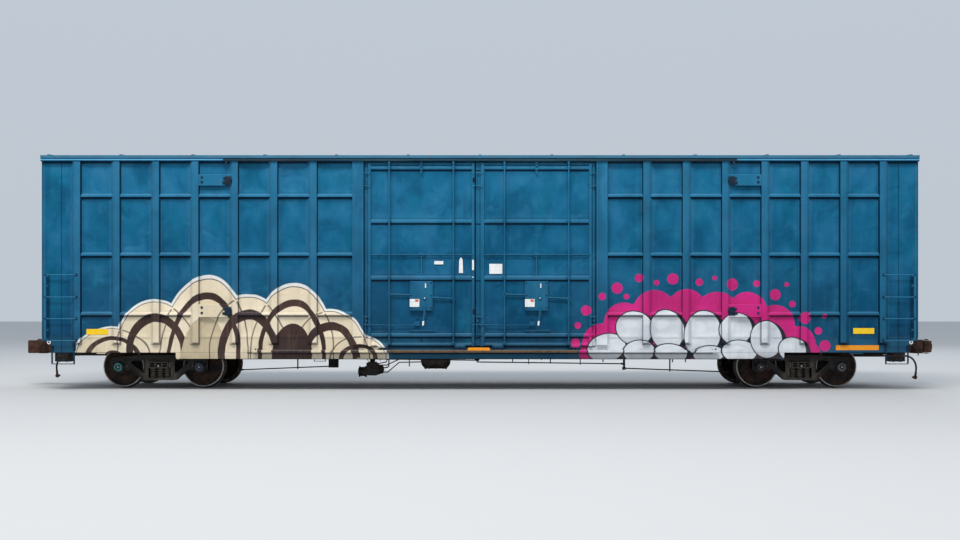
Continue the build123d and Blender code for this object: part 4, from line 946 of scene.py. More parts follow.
# ------------------------------------------------------------------ eaves and upper door tracks
def eave_mesh():
    m = Half()
    o, z0, z1 = EAVE_OUT, EAVE_BOTTOM, EAVE_TOP
    # top chord: rolled angle with a rounded nose, which carries a painted highlight
    m.prism([(-IN_HALF_W, z0), (-o + 0.012, z0), (-o, z0 + 0.008), (-o, z1 - 0.022), (-o + 0.006, z1 - 0.014), (-o + 0.006, z1), (-IN_HALF_W, z1)], "x", -HALF_LEN, HALF_LEN)
    # drip lip along the bottom of the chord
    m.box(-HALF_LEN, HALF_LEN, -o - 0.0055, -o + 0.004, z0 + 0.010, z0 + 0.020)
    # track: a channel that stands out over the doors, with its slot under the roof's edge
    e = 5.500
    m.prism([(-o, z1 - 0.030), (-TRACK_OUT + 0.012, z1 - 0.034), (-TRACK_OUT + 0.006, z1 - 0.040), (-TRACK_OUT + 0.006, z0 + 0.006), (-TRACK_OUT + 0.012, z0), (-o - 0.012, z0),
             (-o - 0.012, z0 + 0.006), (-o, z0 + 0.006)], "x", -e, e)
    for s in (-1, 1):
        m.box(s * (e - 0.010), s * e, -o, -TRACK_OUT + 0.004, z0, z1 - 0.030)
        # end stop of the track, and its gusset
        m.box(s * (e - 0.09), s * (e - 0.045), -o + 0.02, -TRACK_OUT + 0.012, z0 - 0.052, z0 + 0.004)
    for k in range(-6, 7):
        # brackets that carry the track from the chord
        x = k * 0.8453
        m.prism([(-o + 0.002, z1 - 0.004), (-TRACK_OUT + 0.010, z1 - 0.026), (-TRACK_OUT + 0.010, z1 - 0.034), (-o + 0.002, z1 - 0.034)], "x", x - 0.024, x + 0.024)
    return m


eave = eave_mesh()
both = Mesh()
extend(both, eave)
extend(both, eave.turned(1))
both.make("eaves", [EAVE_PAINT], "car_body", "body_paint", ("top_chords", "upper_door_tracks"))


# ------------------------------------------------------------------ roof
def roof_mesh():
    m = Mesh()
    w, ze, zp = ROOF_EDGE_OUT, ROOF_EDGE_TOP, ROOF_PEAK
    panels, cap = 12, 0.032
    pitch = (2 * HALF_LEN - 2 * cap - 0.280) / panels
    seams = [-HALF_LEN + cap + 0.140 + k * pitch for k in range(panels + 1)]
    slope = lambda y: ze + (zp - ze) * (1 - abs(y) / w)
    bays = [(-HALF_LEN, seams[0])] + list(zip(seams, seams[1:])) + [(seams[-1], HALF_LEN)]
    ys = [-w, -w + 0.045] + [-w + 0.045 + (w - 0.085) * k / 12 for k in range(1, 12)] + [-0.040, 0.0]
    ys = ys + [-y for y in ys[-2::-1]]
    xs = [-HALF_LEN]
    for k, (a, b) in enumerate(bays):
        if 0 < k < len(bays) - 1:
            xs += [a + cap, a + cap + 0.03] + [a + cap + 0.03 + (b - a - 2 * cap - 0.06) * i / 14 for i in range(1, 14)] + [b - cap - 0.03, b - cap]
        xs.append(b)
    xs = sorted(set(round(x, 5) for x in xs))

    def press(x, y):
        """crossed pressings: each half panel has a raised X with a shallow pan round it"""
        for a, b in bays[1:-1]:
            if a + cap < x < b - cap:
                u = (x - a) / (b - a)
                v = (abs(y) - 0.04) / (w - 0.085)
                if not 0 < v < 1:
                    return 0.0
                rim = smooth(min(u - 0.03, 0.97 - u, v, 1 - v) / 0.10)
                d1 = abs((u - 0.5) - (v - 0.5)) * 0.7071
                d2 = abs((u - 0.5) + (v - 0.5)) * 0.7071
                ridge = smooth(1 - min(d1, d2) / 0.10)
                n = noise.noise(Vector((x * 2.1, y * 2.3, 1.0)))
                return rim * (0.016 * ridge - 0.010 + 0.003 * n)
        return 0.0
    top = [[(x, y, slope(y) + press(x, y)) for y in ys] for x in xs]
    ny = len(ys)
    verts = [p for r in top for p in r]
    fs = [(i * ny + j, (i + 1) * ny + j, (i + 1) * ny + j + 1, i * ny + j + 1) for i in range(len(xs) - 1) for j in range(ny - 1)]
    base = len(verts)
    under = [(-HALF_LEN, -w, EAVE_TOP), (-HALF_LEN, 0.0, zp - 0.055), (-HALF_LEN, w, EAVE_TOP), (HALF_LEN, -w, EAVE_TOP), (HALF_LEN, 0.0, zp - 0.055), (HALF_LEN, w, EAVE_TOP)]
    verts += under
    mid = ny // 2
    last = (len(xs) - 1) * ny
    fs += [(base, base + 1, base + 4, base + 3), (base + 1, base + 2, base + 5, base + 4)]
    fs += [tuple([base] + list(range(0, mid + 1)) + [base + 1]), tuple([base + 1] + list(range(mid, ny)) + [base + 2])]
    fs += [tuple([base + 3] + [last + j for j in range(0, mid + 1)] + [base + 4]), tuple([base + 4] + [last + j for j in range(mid, ny)] + [base + 5])]
    fs += [tuple([base] + [i * ny for i in range(len(xs))] + [base + 3]), tuple([base + 2] + [i * ny + ny - 1 for i in range(len(xs))] + [base + 5])]
    m.add(verts, fs)
    # folded edge of the roof sheets: two shallow steps that catch the light
    for side in (-1, 1):
        for z0, z1, o in ((EAVE_TOP - 0.004, EAVE_TOP + 0.020, w - 0.0005), (ze - 0.016, ze + 0.001, w - 0.0005)):
            m.box(-HALF_LEN, HALF_LEN, side * (w - 0.05), side * o, z0, z1)
    # seam caps: inverted channels over each joint, a clip at each eave
    for x in seams:
        for side in (-1, 1):
            pts = [(side * 0.0, zp + 0.0205), (side * (w - 0.060), ze + 0.0235), (side * (w - 0.016), ze + 0.010), (side * (w - 0.002), ze + 0.000), (side * (w - 0.002), ze - 0.020),
                   (side * (w - 0.030), ze - 0.020), (side * (w - 0.060), ze - 0.002), (0.0, zp - 0.004)]
            m.prism(pts, "x", x - 0.026, x + 0.026)
            m.prism([(side * 0.0, zp + 0.006), (side * (w - 0.045), ze + 0.009), (side * (w - 0.045), ze - 0.001), (0.0, zp - 0.004)], "x", x - 0.032 - 0.012, x + 0.032 + 0.012)
            for k in range(8):
                y = side * (0.12 + k * 0.195)
                zc = slope(y) + 0.022
                m.rivet((x, y, min(zc, 5.2255 - 0.006)), (0, side * 0.1, 1), 0.010, 0.005, mat=1)
            m.box(x - 0.022, x + 0.022, side * (w - 0.10), side * (w - 0.004), ze + 0.002, ze + 0.020)
    return m


roof_mesh().make("roof_sheets", [PAINT_ROOF, BOLT], "car_body", "roof_steel", ("roof",))


# ------------------------------------------------------------------ end walls
END_Z0, END_RIBS = 1.165, 10
END_PITCH = (EAVE_TOP - END_Z0) / END_RIBS


def end_mesh(s):
    m = Mesh()
    base, proud = 9.340, HALF_LEN - 0.014
    zs = []
    steps = 10
    for k in range(END_RIBS):
        zs += [END_Z0 + (k + i / steps) * END_PITCH for i in range(steps)]
    zs.append(EAVE_TOP)
    ys = [-IN_HALF_W, -1.40, -1.34, -1.28, -1.20, -1.10] + [-0.95 + 1.9 * k / 10 for k in range(11)] + [1.10, 1.20, 1.28, 1.34, 1.40, IN_HALF_W]

    def stand(y, z):
        u = ((z - END_Z0) / END_PITCH) % 1.0
        k = int((z - END_Z0) / END_PITCH + 1e-6)
        half = 0.29
        wave = smooth((half - abs(u - 0.5)) / 0.17 + 0.2) if abs(u - 0.5) < half + 0.05 else 0.0
        # ribs taper to a point before the corner posts
        reach = smooth((1.40 - abs(y)) / 0.34)
        n = noise.noise(Vector((y * 1.7, z * 1.3, 3.0 + s)))
        return wave * reach * (proud - base) + 0.004 * n * smooth((IN_HALF_W - abs(y)) / 0.3)
    rows = [[(s * (base + stand(y, z)), y, z) for z in zs] for y in ys]
    nz = len(zs)
    verts = [p for r in rows for p in r]
    fs = [(i * nz + j, (i + 1) * nz + j, (i + 1) * nz + j + 1, i * nz + j + 1) for i in range(len(ys) - 1) for j in range(nz - 1)]
    b = len(verts)
    x = s * 9.300
    verts += [(x, ys[0], zs[0]), (x, ys[-1], zs[0]), (x, ys[-1], zs[-1]), (x, ys[0], zs[-1])]
    fs += [tuple([i * nz for i in range(len(ys))] + [b + 1, b]), tuple([i * nz + nz - 1 for i in range(len(ys))] + [b + 2, b + 3]),
           tuple(list(range(nz)) + [b + 3, b]), tuple([(len(ys) - 1) * nz + j for j in range(nz)] + [b + 2, b + 1]), (b, b + 1, b + 2, b + 3)]
    m.add(verts, fs)
    # corner posts, rounded, with a row of rivets each
    for side in (-1, 1):
        m.prism([(s * a, side * c) for a, c in ((9.345, IN_HALF_W - 0.002), (9.345, 1.400), (9.404, 1.404), (9.412, 1.412), (9.412, IN_HALF_W - 0.002))], "z", END_Z0 - 0.02, EAVE_TOP)
        for k in range(32):
            m.rivet((s * 9.412, side * 1.430, END_Z0 + 0.06 + k * 0.118), (s, 0, 0), 0.009, 0.0045)
    # top plate and gable under the roof, and the end sill
    under = EAVE_TOP + (ROOF_EDGE_OUT - IN_HALF_W) * (ROOF_PEAK - ROOF_EDGE_TOP) / ROOF_EDGE_OUT
    peak = EAVE_TOP + (ROOF_PEAK - ROOF_EDGE_TOP)
    m.prism([(-IN_HALF_W, EAVE_TOP - 0.06), (IN_HALF_W, EAVE_TOP - 0.06), (IN_HALF_W, under - 0.002), (0.0, peak - 0.002), (-IN_HALF_W, under - 0.002)], "x", s * 9.300, s * 9.388)
    m.box(s * 9.300, s * 9.412, -IN_HALF_W + 0.002, IN_HALF_W - 0.002, EAVE_TOP - 0.075, EAVE_TOP - 0.055)
    m.box(s * 9.300, s * 9.414, -SILL_IN, SILL_IN, 1.072, 1.141)
    m.box(s * 9.300, s * 9.414, -IN_HALF_W, IN_HALF_W, 1.141, END_Z0 + 0.004)
    for k in range(-13, 14):
        m.rivet((s * 9.414, k * 0.105, 1.150), (s, 0, 0), 0.009, 0.0045)
    # placard board, blank
    m.box(s * 9.404, s * 9.414, -0.62, -0.20, 2.30, 2.62, mat=0)
    m.box(s * 9.410, s * 9.416, -0.60, -0.22, 2.32, 2.60, mat=0)
    for y in (-0.60, -0.22):
        for z in (2.33, 2.59):
            m.rivet((s * 9.4155, y - math.copysign(0.012, y + 0.41), z), (s, 0, 0), 0.008, 0.004)
    return m


for name, s in (("a", -1), ("b", 1)):
    end_mesh(s).make(f"end_shell_{name}", [PAINT_END], "car_body", "body_paint", (f"end_wall_{name}",), sharp=30)


# ------------------------------------------------------------------ plug doors
RIBS = (  # z low, z high of each horizontal rib of a door leaf
    (4.732, 4.832), (3.582, 3.678), (2.363, 2.473), (1.146, 1.236), (0.958, 1.026),
)
LEAF = {  # skin from, skin to, inner edge and outer edge of each stile
    "left": (-2.481, -0.112, (-2.406, -2.340), (-0.180, -0.115)),
    "right": (-0.092, 2.481, (0.014, 0.095), (2.337, 2.403)),
}


def leaf_mesh(hand):
    m = Half()
    x0, x1, sl, sr = LEAF[hand]
    cx = DOORS[hand][0]
    seed = 3.0 if hand == "left" else 8.0
    rows = [(1.026, 1.146), (1.236, 2.363), (2.473, 3.582), (3.678, 4.732), (4.832, 4.885)]
    a, b = sl[1], sr[0]
    xs = sorted(set(round(v, 5) for v in [x0, sl[0], sl[1]] + lines_between(a, b, 0.046, 16) + [b, sr[0], sr[1], x1]))
    zs = [0.958]
    for r, (c, d) in enumerate(rows):
        zs += lines_between(c, d, 0.040, 9 if r in (1, 2, 3) else 2) + [d]
    zs = sorted(set(round(z, 5) for z in zs))

    def height(x, z):
        if a <= x <= b:
            for r, (c, d) in enumerate(rows):
                if c <= z <= d:
                    if r in (0, 4):
                        return -0.006
                    h = -dish(x, z, a, b, c, d, 0.046, 0.009, 0.009, seed + r * 2.3)
                    if r == 2 and z > 2.955 and abs(x - cx - 0.003) < 0.155:
                        h += 0.004 * smooth((0.155 - abs(x - cx - 0.003)) / 0.010)
                    return h
        return -0.006 if (x < sl[0] or x > sr[1]) else 0.0
    extra = [cx - 0.152, cx - 0.142, cx + 0.148, cx + 0.158]
    xs = sorted(set(xs + [round(v, 5) for v in extra]))
    front = [[(x, -(DOOR_SKIN + height(x, z)), z) for z in zs] for x in xs]
    nz = len(zs)
    verts = [p for col in front for p in col]
    fs = [(i * nz + j, (i + 1) * nz + j, (i + 1) * nz + j + 1, i * nz + j + 1) for i in range(len(xs) - 1) for j in range(nz - 1)]
    base = len(verts)
    back = 1.495
    verts += [(xs[0], -back, zs[0]), (xs[-1], -back, zs[0]), (xs[-1], -back, zs[-1]), (xs[0], -back, zs[-1])]
    fs += [tuple([i * nz for i in range(len(xs))] + [base + 1, base]), tuple([i * nz + nz - 1 for i in range(len(xs))] + [base + 2, base + 3]),
           tuple(list(range(nz)) + [base + 3, base]), tuple([(len(xs) - 1) * nz + j for j in range(nz)] + [base + 2, base + 1]), (base, base + 1, base + 2, base + 3)]
    m.add(verts, fs)
    # the thick plug behind the skin
    lo, hi = (-2.487, -0.118) if hand == "left" else (-0.086, 2.487)
    m.box(lo, hi, -1.456, -back + 0.0, 1.170, 4.915)
    m.box(lo, hi, -back, -1.499, 0.975, 4.9)
    # stiles: rolled channels with rounded edges
    f = DOOR_FRAME
    for p, q in (sl, sr):
        m.prism([(p, -DOOR_SKIN + 0.012), (p, -f + 0.012), (p + 0.010, -f), (q - 0.010, -f), (q, -f + 0.012), (q, -DOOR_SKIN + 0.012)], "z", DOOR_Z[0], DOOR_Z[1])
        m.box((p + q) / 2 - 0.004, (p + q) / 2 + 0.004, -f + 0.002, -f - 0.0015, DOOR_Z[0] + 0.05, DOOR_Z[1] - 0.05)
    # ribs: rounded upper face, sharp tucked lower edge
    for k, (z0, z1) in enumerate(RIBS):
        o = f - 0.006 - (0.008 if k == 4 else 0.0)
        h = z1 - z0
        pts = [(DOOR_SKIN - 0.012, z0), (DOOR_SKIN + 0.004, z0 + 0.002), (o - 0.006, z0 + 0.10 * h), (o, z0 + 0.18 * h), (o, z0 + 0.55 * h), (o - 0.006, z0 + 0.72 * h), (DOOR_SKIN + 0.010, z0 + 0.93 * h), (DOOR_SKIN - 0.012, z1 + 0.004)]
        m.prism([(-oo, z) for oo, z in pts], "x", sl[1] - 0.010, sr[0] + 0.010)
        if k < 4:
            # weld line a little above the rib
            m.box(sl[1], sr[0], -DOOR_SKIN + 0.01, -DOOR_SKIN - 0.0025, z1 + 0.030, z1 + 0.038)
    # header over the top rib, inside the track
    m.prism([(-DOOR_SKIN + 0.012, 4.842), (-DOOR_SKIN - 0.010, 4.846), (-DOOR_SKIN - 0.010, 4.885), (-DOOR_SKIN + 0.012, 4.885)], "x", sl[0], sr[1])
    # seals of folded sheet along both edges
    for xa, xb in ((x0, sl[0]), (sr[1], x1)):
        if xb - xa < 0.02:
            continue
        mid = (xa + xb) / 2
        m.box(mid - 0.012, mid + 0.012, -DOOR_SKIN + 0.012, -DOOR_SKIN - 0.007, DOOR_Z[0] + 0.01, DOOR_Z[1] - 0.02)
    # hanger from the upper track, tapered to its foot
    m.prism([(cx - 0.024, 4.905), (cx + 0.024, 4.905), (cx + 0.022, 4.690), (cx + 0.004, 4.645), (cx - 0.004, 4.645), (cx - 0.022, 4.690)], "y", -f + 0.004, -1.590)
    for z in (4.72, 4.80, 4.86):
        m.bolt((cx, -1.590, z), (0, -1, 0), 0.013, 0.012, mat=3)
    # roller carriages on the lower ledge: a bracket with a roller cover and two bolts
    for dx in (-0.830, 0.830):
        x = cx + dx
        pts = [(-DOOR_SKIN + 0.01, 0.900), (-1.592, 0.900), (-1.600, 0.908), (-1.600, 0.975), (-1.575, 1.005), (-DOOR_SKIN - 0.010, 1.012), (-DOOR_SKIN + 0.01, 1.012)]
        m.prism(pts, "x", x - 0.120, x - 0.092)
        m.prism(pts, "x", x + 0.092, x + 0.120)
        m.prism([(-DOOR_SKIN + 0.01, 0.925), (-1.585, 0.925), (-1.590, 0.960), (-1.570, 0.990), (-DOOR_SKIN + 0.01, 1.000)], "x", x - 0.094, x + 0.094)
        m.cyl((x - 0.045, -1.545, 0.890), (x - 0.045, -1.588, 0.890), 0.030, 18, mat=3)
        m.cyl((x + 0.045, -1.545, 0.890), (x + 0.045, -1.588, 0.890), 0.030, 18, mat=3)
        for k in (-1, 1):
            m.bolt((x + k * 0.106, -1.600, 0.940), (0, -1, 0), 0.011, 0.010, mat=3)
    # upright guide for the operating rod, down to the rib below, and its bracket
    m.box(cx - 0.014, cx + 0.014, -DOOR_SKIN + 0.004, -DOOR_SKIN - 0.018, 2.470, 2.890)
    for k in (-0.045, 0.045):
        m.box(cx + k - 0.004, cx + k + 0.004, -DOOR_SKIN + 0.004, -DOOR_SKIN - 0.010, 2.470, 2.880)
    m.prism([(cx - 0.080, 2.905), (cx - 0.062, 2.968), (cx + 0.062, 2.968), (cx + 0.080, 2.905), (cx + 0.040, 2.872), (cx - 0.040, 2.872)], "y", -DOOR_SKIN + 0.004, -f + 0.006)
    # edge of the panel above and below the rod
    m.box(sl[1] + 0.02, sr[0] - 0.02, -DOOR_SKIN + 0.01, -DOOR_SKIN - 0.0010, 2.900, 2.906)
    # latches on the meeting stile
    p, q = sr
    for z in (4.520, 1.697) if hand == "left" else ():
        x = (p + q) / 2 + 0.010
        m.box(x - 0.020, x + 0.020, -f + 0.004, -f - 0.014, z - 0.050, z + 0.050, mat=4)
        m.cyl((x, -f - 0.010, z + 0.012), (x, -f - 0.024, z + 0.012), 0.014, 12, mat=4)
    return m


def bars_mesh():
    """lock bars with their guides, keepers, and the short cranks that bridge posts and stiles"""
    m = Half()
    f = DOOR_FRAME
    for hand, (cx, _) in DOORS.items():
        x0, x1, sl, sr = LEAF[hand]
        for s in (-1, 1):
            x = cx + s * LOCK_BAR_DX
            m.cyl((x, -LOCK_BAR_OUT, 1.000), (x, -LOCK_BAR_OUT, 4.905), LOCK_BAR_R + 0.001, 16)
            # guides: a strap round the bar with two bolts
            for z, h in ((4.782, 0.070), (3.630, 0.050), (2.418, 0.050), (1.190, 0.045)):
                m.prism([(x - 0.052, -f + 0.010), (x - 0.052, -f - 0.004), (x - 0.027, -f - 0.008), (x - 0.024, -LOCK_BAR_OUT - 0.018), (x - 0.014, -LOCK_BAR_OUT - 0.023), (x + 0.014, -LOCK_BAR_OUT - 0.023),
                         (x + 0.024, -LOCK_BAR_OUT - 0.018), (x + 0.027, -f - 0.008), (x + 0.052, -f - 0.004), (x + 0.052, -f + 0.010)], "z", z - h / 2, z + h / 2)
                for k in (-1, 1):
                    m.bolt((x + k * 0.041, -f - 0.004, z), (0, -1, 0), 0.0085, 0.007, mat=3, washer=False)
            # head guide: from the track to below the header
            m.prism([(x - 0.030, -f + 0.010), (x - 0.030, -LOCK_BAR_OUT - 0.006), (x - 0.018, -LOCK_BAR_OUT - 0.022), (x + 0.018, -LOCK_BAR_OUT - 0.022), (x + 0.030, -LOCK_BAR_OUT - 0.006), (x + 0.030, -f + 0.010)], "z", 4.858, 4.912)
            # keeper at the foot
            m.prism([(x - 0.040, -DOOR_SKIN + 0.01), (x - 0.040, -LOCK_BAR_OUT - 0.010), (x - 0.026, -LOCK_BAR_OUT - 0.026), (x + 0.026, -LOCK_BAR_OUT - 0.026), (x + 0.040, -LOCK_BAR_OUT - 0.010), (x + 0.040, -DOOR_SKIN + 0.01)], "z", 0.988, 1.052)
            m.box(x - 0.030, x + 0.030, -DOOR_SKIN + 0.01, -f - 0.018, 1.052, 1.062)
        # operating rod across the door at mid height
        m.cyl((sl[1] - 0.02, -f - 0.002, 2.917), (sr[0] + 0.02, -f - 0.002, 2.917), 0.012, 12)
        for k in (-0.93, -0.40, 0.40, 0.93):
            m.box(cx + k - 0.012, cx + k + 0.012, -DOOR_SKIN + 0.004, -f - 0.006, 2.900, 2.934)
        # cranks that bridge the outer stile and the door post, high and low
        outer = -1 if hand == "left" else 1
        for s, (p, q) in ((-1, sl), (1, sr)):
            edge = p if s < 0 else q
            far = x0 if s < 0 else x1
            for z in (4.672, 4.391):
                m.cyl((edge - s * 0.012, -f - 0.004, z), (far - s * 0.0, -f - 0.004, z), 0.011, 12)
                m.box(edge - s * 0.050, edge - s * 0.004, -f + 0.004, -f - 0.012, z - 0.034, z + 0.024)
            m.box(far - s * 0.020, far - s * 0.008, -DOOR_SKIN + 0.002, -f - 0.010, 4.360, 4.700)
            for z in (1.585, 1.415, 1.205):
                m.cyl((edge - s * 0.012, -f - 0.005, z), (far, -f - 0.005, z), 0.013, 12)
                m.box(edge - s * 0.056, edge - s * 0.002, -f + 0.004, -f - 0.014, z - 0.030, z + 0.030)
            m.box(far - s * 0.030, far - s * 0.010, -DOOR_SKIN + 0.002, -f - 0.012, 1.150, 1.640)
            m.cyl((far - s * 0.040, -DOOR_SKIN - 0.001, 1.50), (far - s * 0.040, -f - 0.022, 1.50), 0.026, 16)
    return m


def gear_mesh():
    """gearbox plate, its two connecting rods, the crank with a white tip, and a thin bar over the lowest rib"""
    m = Half()
    f = DOOR_FRAME
    for hand, (cx, _) in DOORS.items():
        x0, x1, sl, sr = LEAF[hand]
        a, b, c, d = cx - 0.248, cx + 0.239, 1.729, 2.352
        o = 1.580
        m.prism([(a + 0.012, -DOOR_SKIN + 0.004), (a, -f), (a, -o + 0.006), (a + 0.006, -o), (b - 0.006, -o), (b, -o + 0.006), (b, -f), (b - 0.012, -DOOR_SKIN + 0.004)], "z", c, d)
        m.box(a - 0.004, b + 0.004, -DOOR_SKIN, -o - 0.014, c - 0.010, c + 0.006)
        m.box(b - 0.008, b + 0.004, -f, -o - 0.008, c, d)
        for x in (a + 0.03, b - 0.03):
            for z in (c + 0.05, (c + d) / 2, d - 0.04):
                m.bolt((x, -o, z), (0, -1, 0), 0.012, 0.010, mat=3)
        # the two hubs
        hx, hz = cx + 0.072, 1.984
        m.cyl((hx, -o + 0.004, hz), (hx, -o - 0.014, hz), 0.044, 24, chamfer=0.005)
        m.cyl((hx, -o - 0.012, hz), (hx, -o - 0.028, hz), 0.018, 16)
        m.cyl((hx, -o - 0.027, hz), (hx, -o - 0.0295, hz), 0.012, 16, mat=5)
        # two short slanted stays under the header
        for dx in (-0.540, 0.225):
            m.cyl((cx + dx - 0.028, -DOOR_SKIN - 0.004, 4.796), (cx + dx + 0.028, -DOOR_SKIN - 0.016, 4.862), 0.0075, 10)
        px, pz = cx + 0.072, 1.789
        m.cyl((px, -o + 0.004, pz), (px, -o - 0.016, pz), 0.036, 24, chamfer=0.005)
        # slot with a stop pin
        m.box(cx + 0.085, cx + 0.095, -o + 0.002, -o - 0.004, 2.05, 2.22)
        m.box(cx + 0.078, cx + 0.102, -o + 0.002, -o - 0.006, 2.205, 2.300, mat=5)
        # crank: flat bar that swings down, a round grip at its end
        qx, qz = cx + 0.037, 1.400
        for k, (za, zb, mat) in enumerate(((0.0, 0.76, 0), (0.76, 1.0, 5))):
            xa, xb = px + (qx - px) * za, px + (qx - px) * zb
            ya, yb = pz + (qz - pz) * za, pz + (qz - pz) * zb
            w = 0.018
            m.prism([(xa - w, ya), (xa + w, ya), (xb + w, yb), (xb - w, yb)], "y", -o - 0.012, -o - 0.024, mat=mat)
        m.cyl((qx, -o - 0.020, qz + 0.012), (qx, -o - 0.040, qz + 0.012), 0.016, 16, mat=5)
        m.prism([(px - 0.026, pz - 0.020), (px + 0.026, pz - 0.020), (px + 0.040, pz - 0.16), (px + 0.012, pz - 0.25), (px - 0.004, pz - 0.12)], "y", -DOOR_SKIN + 0.002, -f - 0.004)
        # rest bracket for the crank
        m.box(cx - 0.155, cx - 0.035, -DOOR_SKIN + 0.004, -DOOR_SKIN - 0.030, 1.392, 1.486)
        m.box(cx - 0.155, cx - 0.030, -DOOR_SKIN - 0.026, -f - 0.016, 1.392, 1.404)
        m.box(cx - 0.036, cx - 0.028, -DOOR_SKIN, -f - 0.016, 1.392, 1.50)
        m.box(cx - 0.110, cx - 0.060, -DOOR_SKIN + 0.004, -DOOR_SKIN - 0.012, 1.545, 1.553)
        # connecting rods to the lock bars
        for s, za, zb in ((-1, 2.052, 2.066), (1, 1.999, 1.972)):
            xa, xb = (a + 0.02, cx - LOCK_BAR_DX) if s < 0 else (b - 0.02, cx + LOCK_BAR_DX)
            m.tube([(xa, -f - 0.002, za), (xb, -f - 0.002, zb)], 0.017, 12)
            m.box(xb - 0.030, xb + 0.030, -f, -LOCK_BAR_OUT - 0.020, zb - 0.036, zb + 0.036)
            m.bolt((xb - s * 0.0, -LOCK_BAR_OUT - 0.020, zb), (0, -1, 0), 0.012, 0.010, mat=3)
        # thin bar above the lowest rib
        m.cyl((cx - 0.255, -f + 0.006, 1.290), (cx + 0.288, -f + 0.006, 1.290), 0.010, 10)
        for k in (-0.23, 0.0, 0.26):
            m.box(cx + k - 0.010, cx + k + 0.010, -DOOR_SKIN + 0.004, -f, 1.276, 1.304)
        # long rod from the low cranks to the rest bracket
        m.tube([(sl[0] + 0.02, -f - 0.016, 1.415), (cx - 0.60, -f - 0.012, 1.402), (cx - 0.150, -f - 0.010, 1.408)], 0.009, 8)
        # round drain plug between the two low bands
        m.cyl((cx + 0.005, -DOOR_SKIN + 0.004, 1.086), (cx + 0.005, -DOOR_SKIN - 0.012, 1.086), 0.022, 16, mat=3)
    return m


for hand in ("left", "right"):
    leaf = leaf_mesh(hand)
    painted(extend(Half(), leaf)).make(f"door_near_{hand}", [PLAIN, ART_L, ART_R, BOLT_PAINT, LATCH, WHITE], "car_body", "body_paint", (f"plug_door_near_{hand}",))
    leaf.turned(1).make(f"door_far_{hand}", [PLAIN, ART_L, ART_R, BOLT_PAINT, LATCH, WHITE], "car_body", "body_paint", (f"plug_door_far_{hand}",))

for name, maker, node, slots in (("door_bars", bars_mesh, "door_lock_bars", "body_paint"), ("door_gear", gear_mesh, "door_gearboxes", "body_paint")):
    part = maker()
    both = Mesh()
    extend(both, painted(extend(Half(), part)))
    extend(both, part.turned(1))
    both.make(name, [PLAIN, ART_L, ART_R, BOLT_PAINT, LATCH, WHITE], "car_body", slots, (node,))


# lower door ledges
def ledge_mesh():
    m = Half()
    x0, x1 = -4.870, 5.110
    o0, o = PANEL_OUT, TRACK_OUT
    # z section: foot on the sill, ledge, rolled lip with a worn top
    for xa, xb in ((x0, -2.00), (-2.00, 2.11), (2.11, x1)):
        m.prism([(-o0 + 0.004, 0.868), (-o + 0.006, 0.868), (-o, 0.862), (-o, 0.822), (-o + 0.004, 0.818), (-o + 0.010, 0.822), (-o + 0.010, 0.846), (-o0 - 0.02, 0.846), (-o0 - 0.006, 0.836), (-o0 + 0.004, 0.836)], "x", xa, xb)
    # running strip
    m.box(x0 + 0.01, x1 - 0.01, -1.570, -1.590, 0.866, 0.873, mat=2)
    for k in range(24):
        x = x0 + 0.25 + k * (x1 - x0 - 0.5) / 23
        m.prism([(-o0 + 0.004, 0.838), (-o0 - 0.012, 0.838), (-o + 0.016, 0.846), (-o0 + 0.004, 0.812)], "x", x - 0.006, x + 0.006)
    # stop between the two leaves
    m.prism([(-0.262, 0.860), (0.212, 0.860), (0.212, 0.905), (0.190, 0.926), (-0.240, 0.926), (-0.262, 0.905)], "y", -o + 0.020, -o + 0.001, mat=1)
    for x in (x0 + 0.065, x1 - 0.065):
        m.prism([(x - 0.055, 0.862), (x + 0.055, 0.862), (x + 0.055, 0.895), (x + 0.035, 0.915), (x - 0.035, 0.915), (x - 0.055, 0.895)], "y", -o0 - 0.020, -o + 0.020)
        m.bolt((x, -o + 0.020, 0.888), (0, -1, 0), 0.014, 0.012, mat=3)
    return m


ledge = ledge_mesh()
both = Mesh()
near_ledge = extend(Half(), ledge)
# ends of the near ledge lie in the painted areas
for i, f in enumerate(near_ledge.f):
    if near_ledge.m[i] == 0:
        xs = [near_ledge.v[k][0] for k in f]
        if max(xs) < -1.99:
            near_ledge.m[i] = 4
        elif min(xs) > 2.10:
            near_ledge.m[i] = 5
extend(both, near_ledge)
extend(both, ledge.turned(1))
both.make("door_ledges", [TRACK_RUST, ORANGE, TREAD, BOLT, ART_L, ART_R], "car_body", "rusty_track", ("lower_door_tracks",))


# ------------------------------------------------------------------ ladders and steps
RUNG_Z = (1.074, 1.545, 2.007, 2.485)


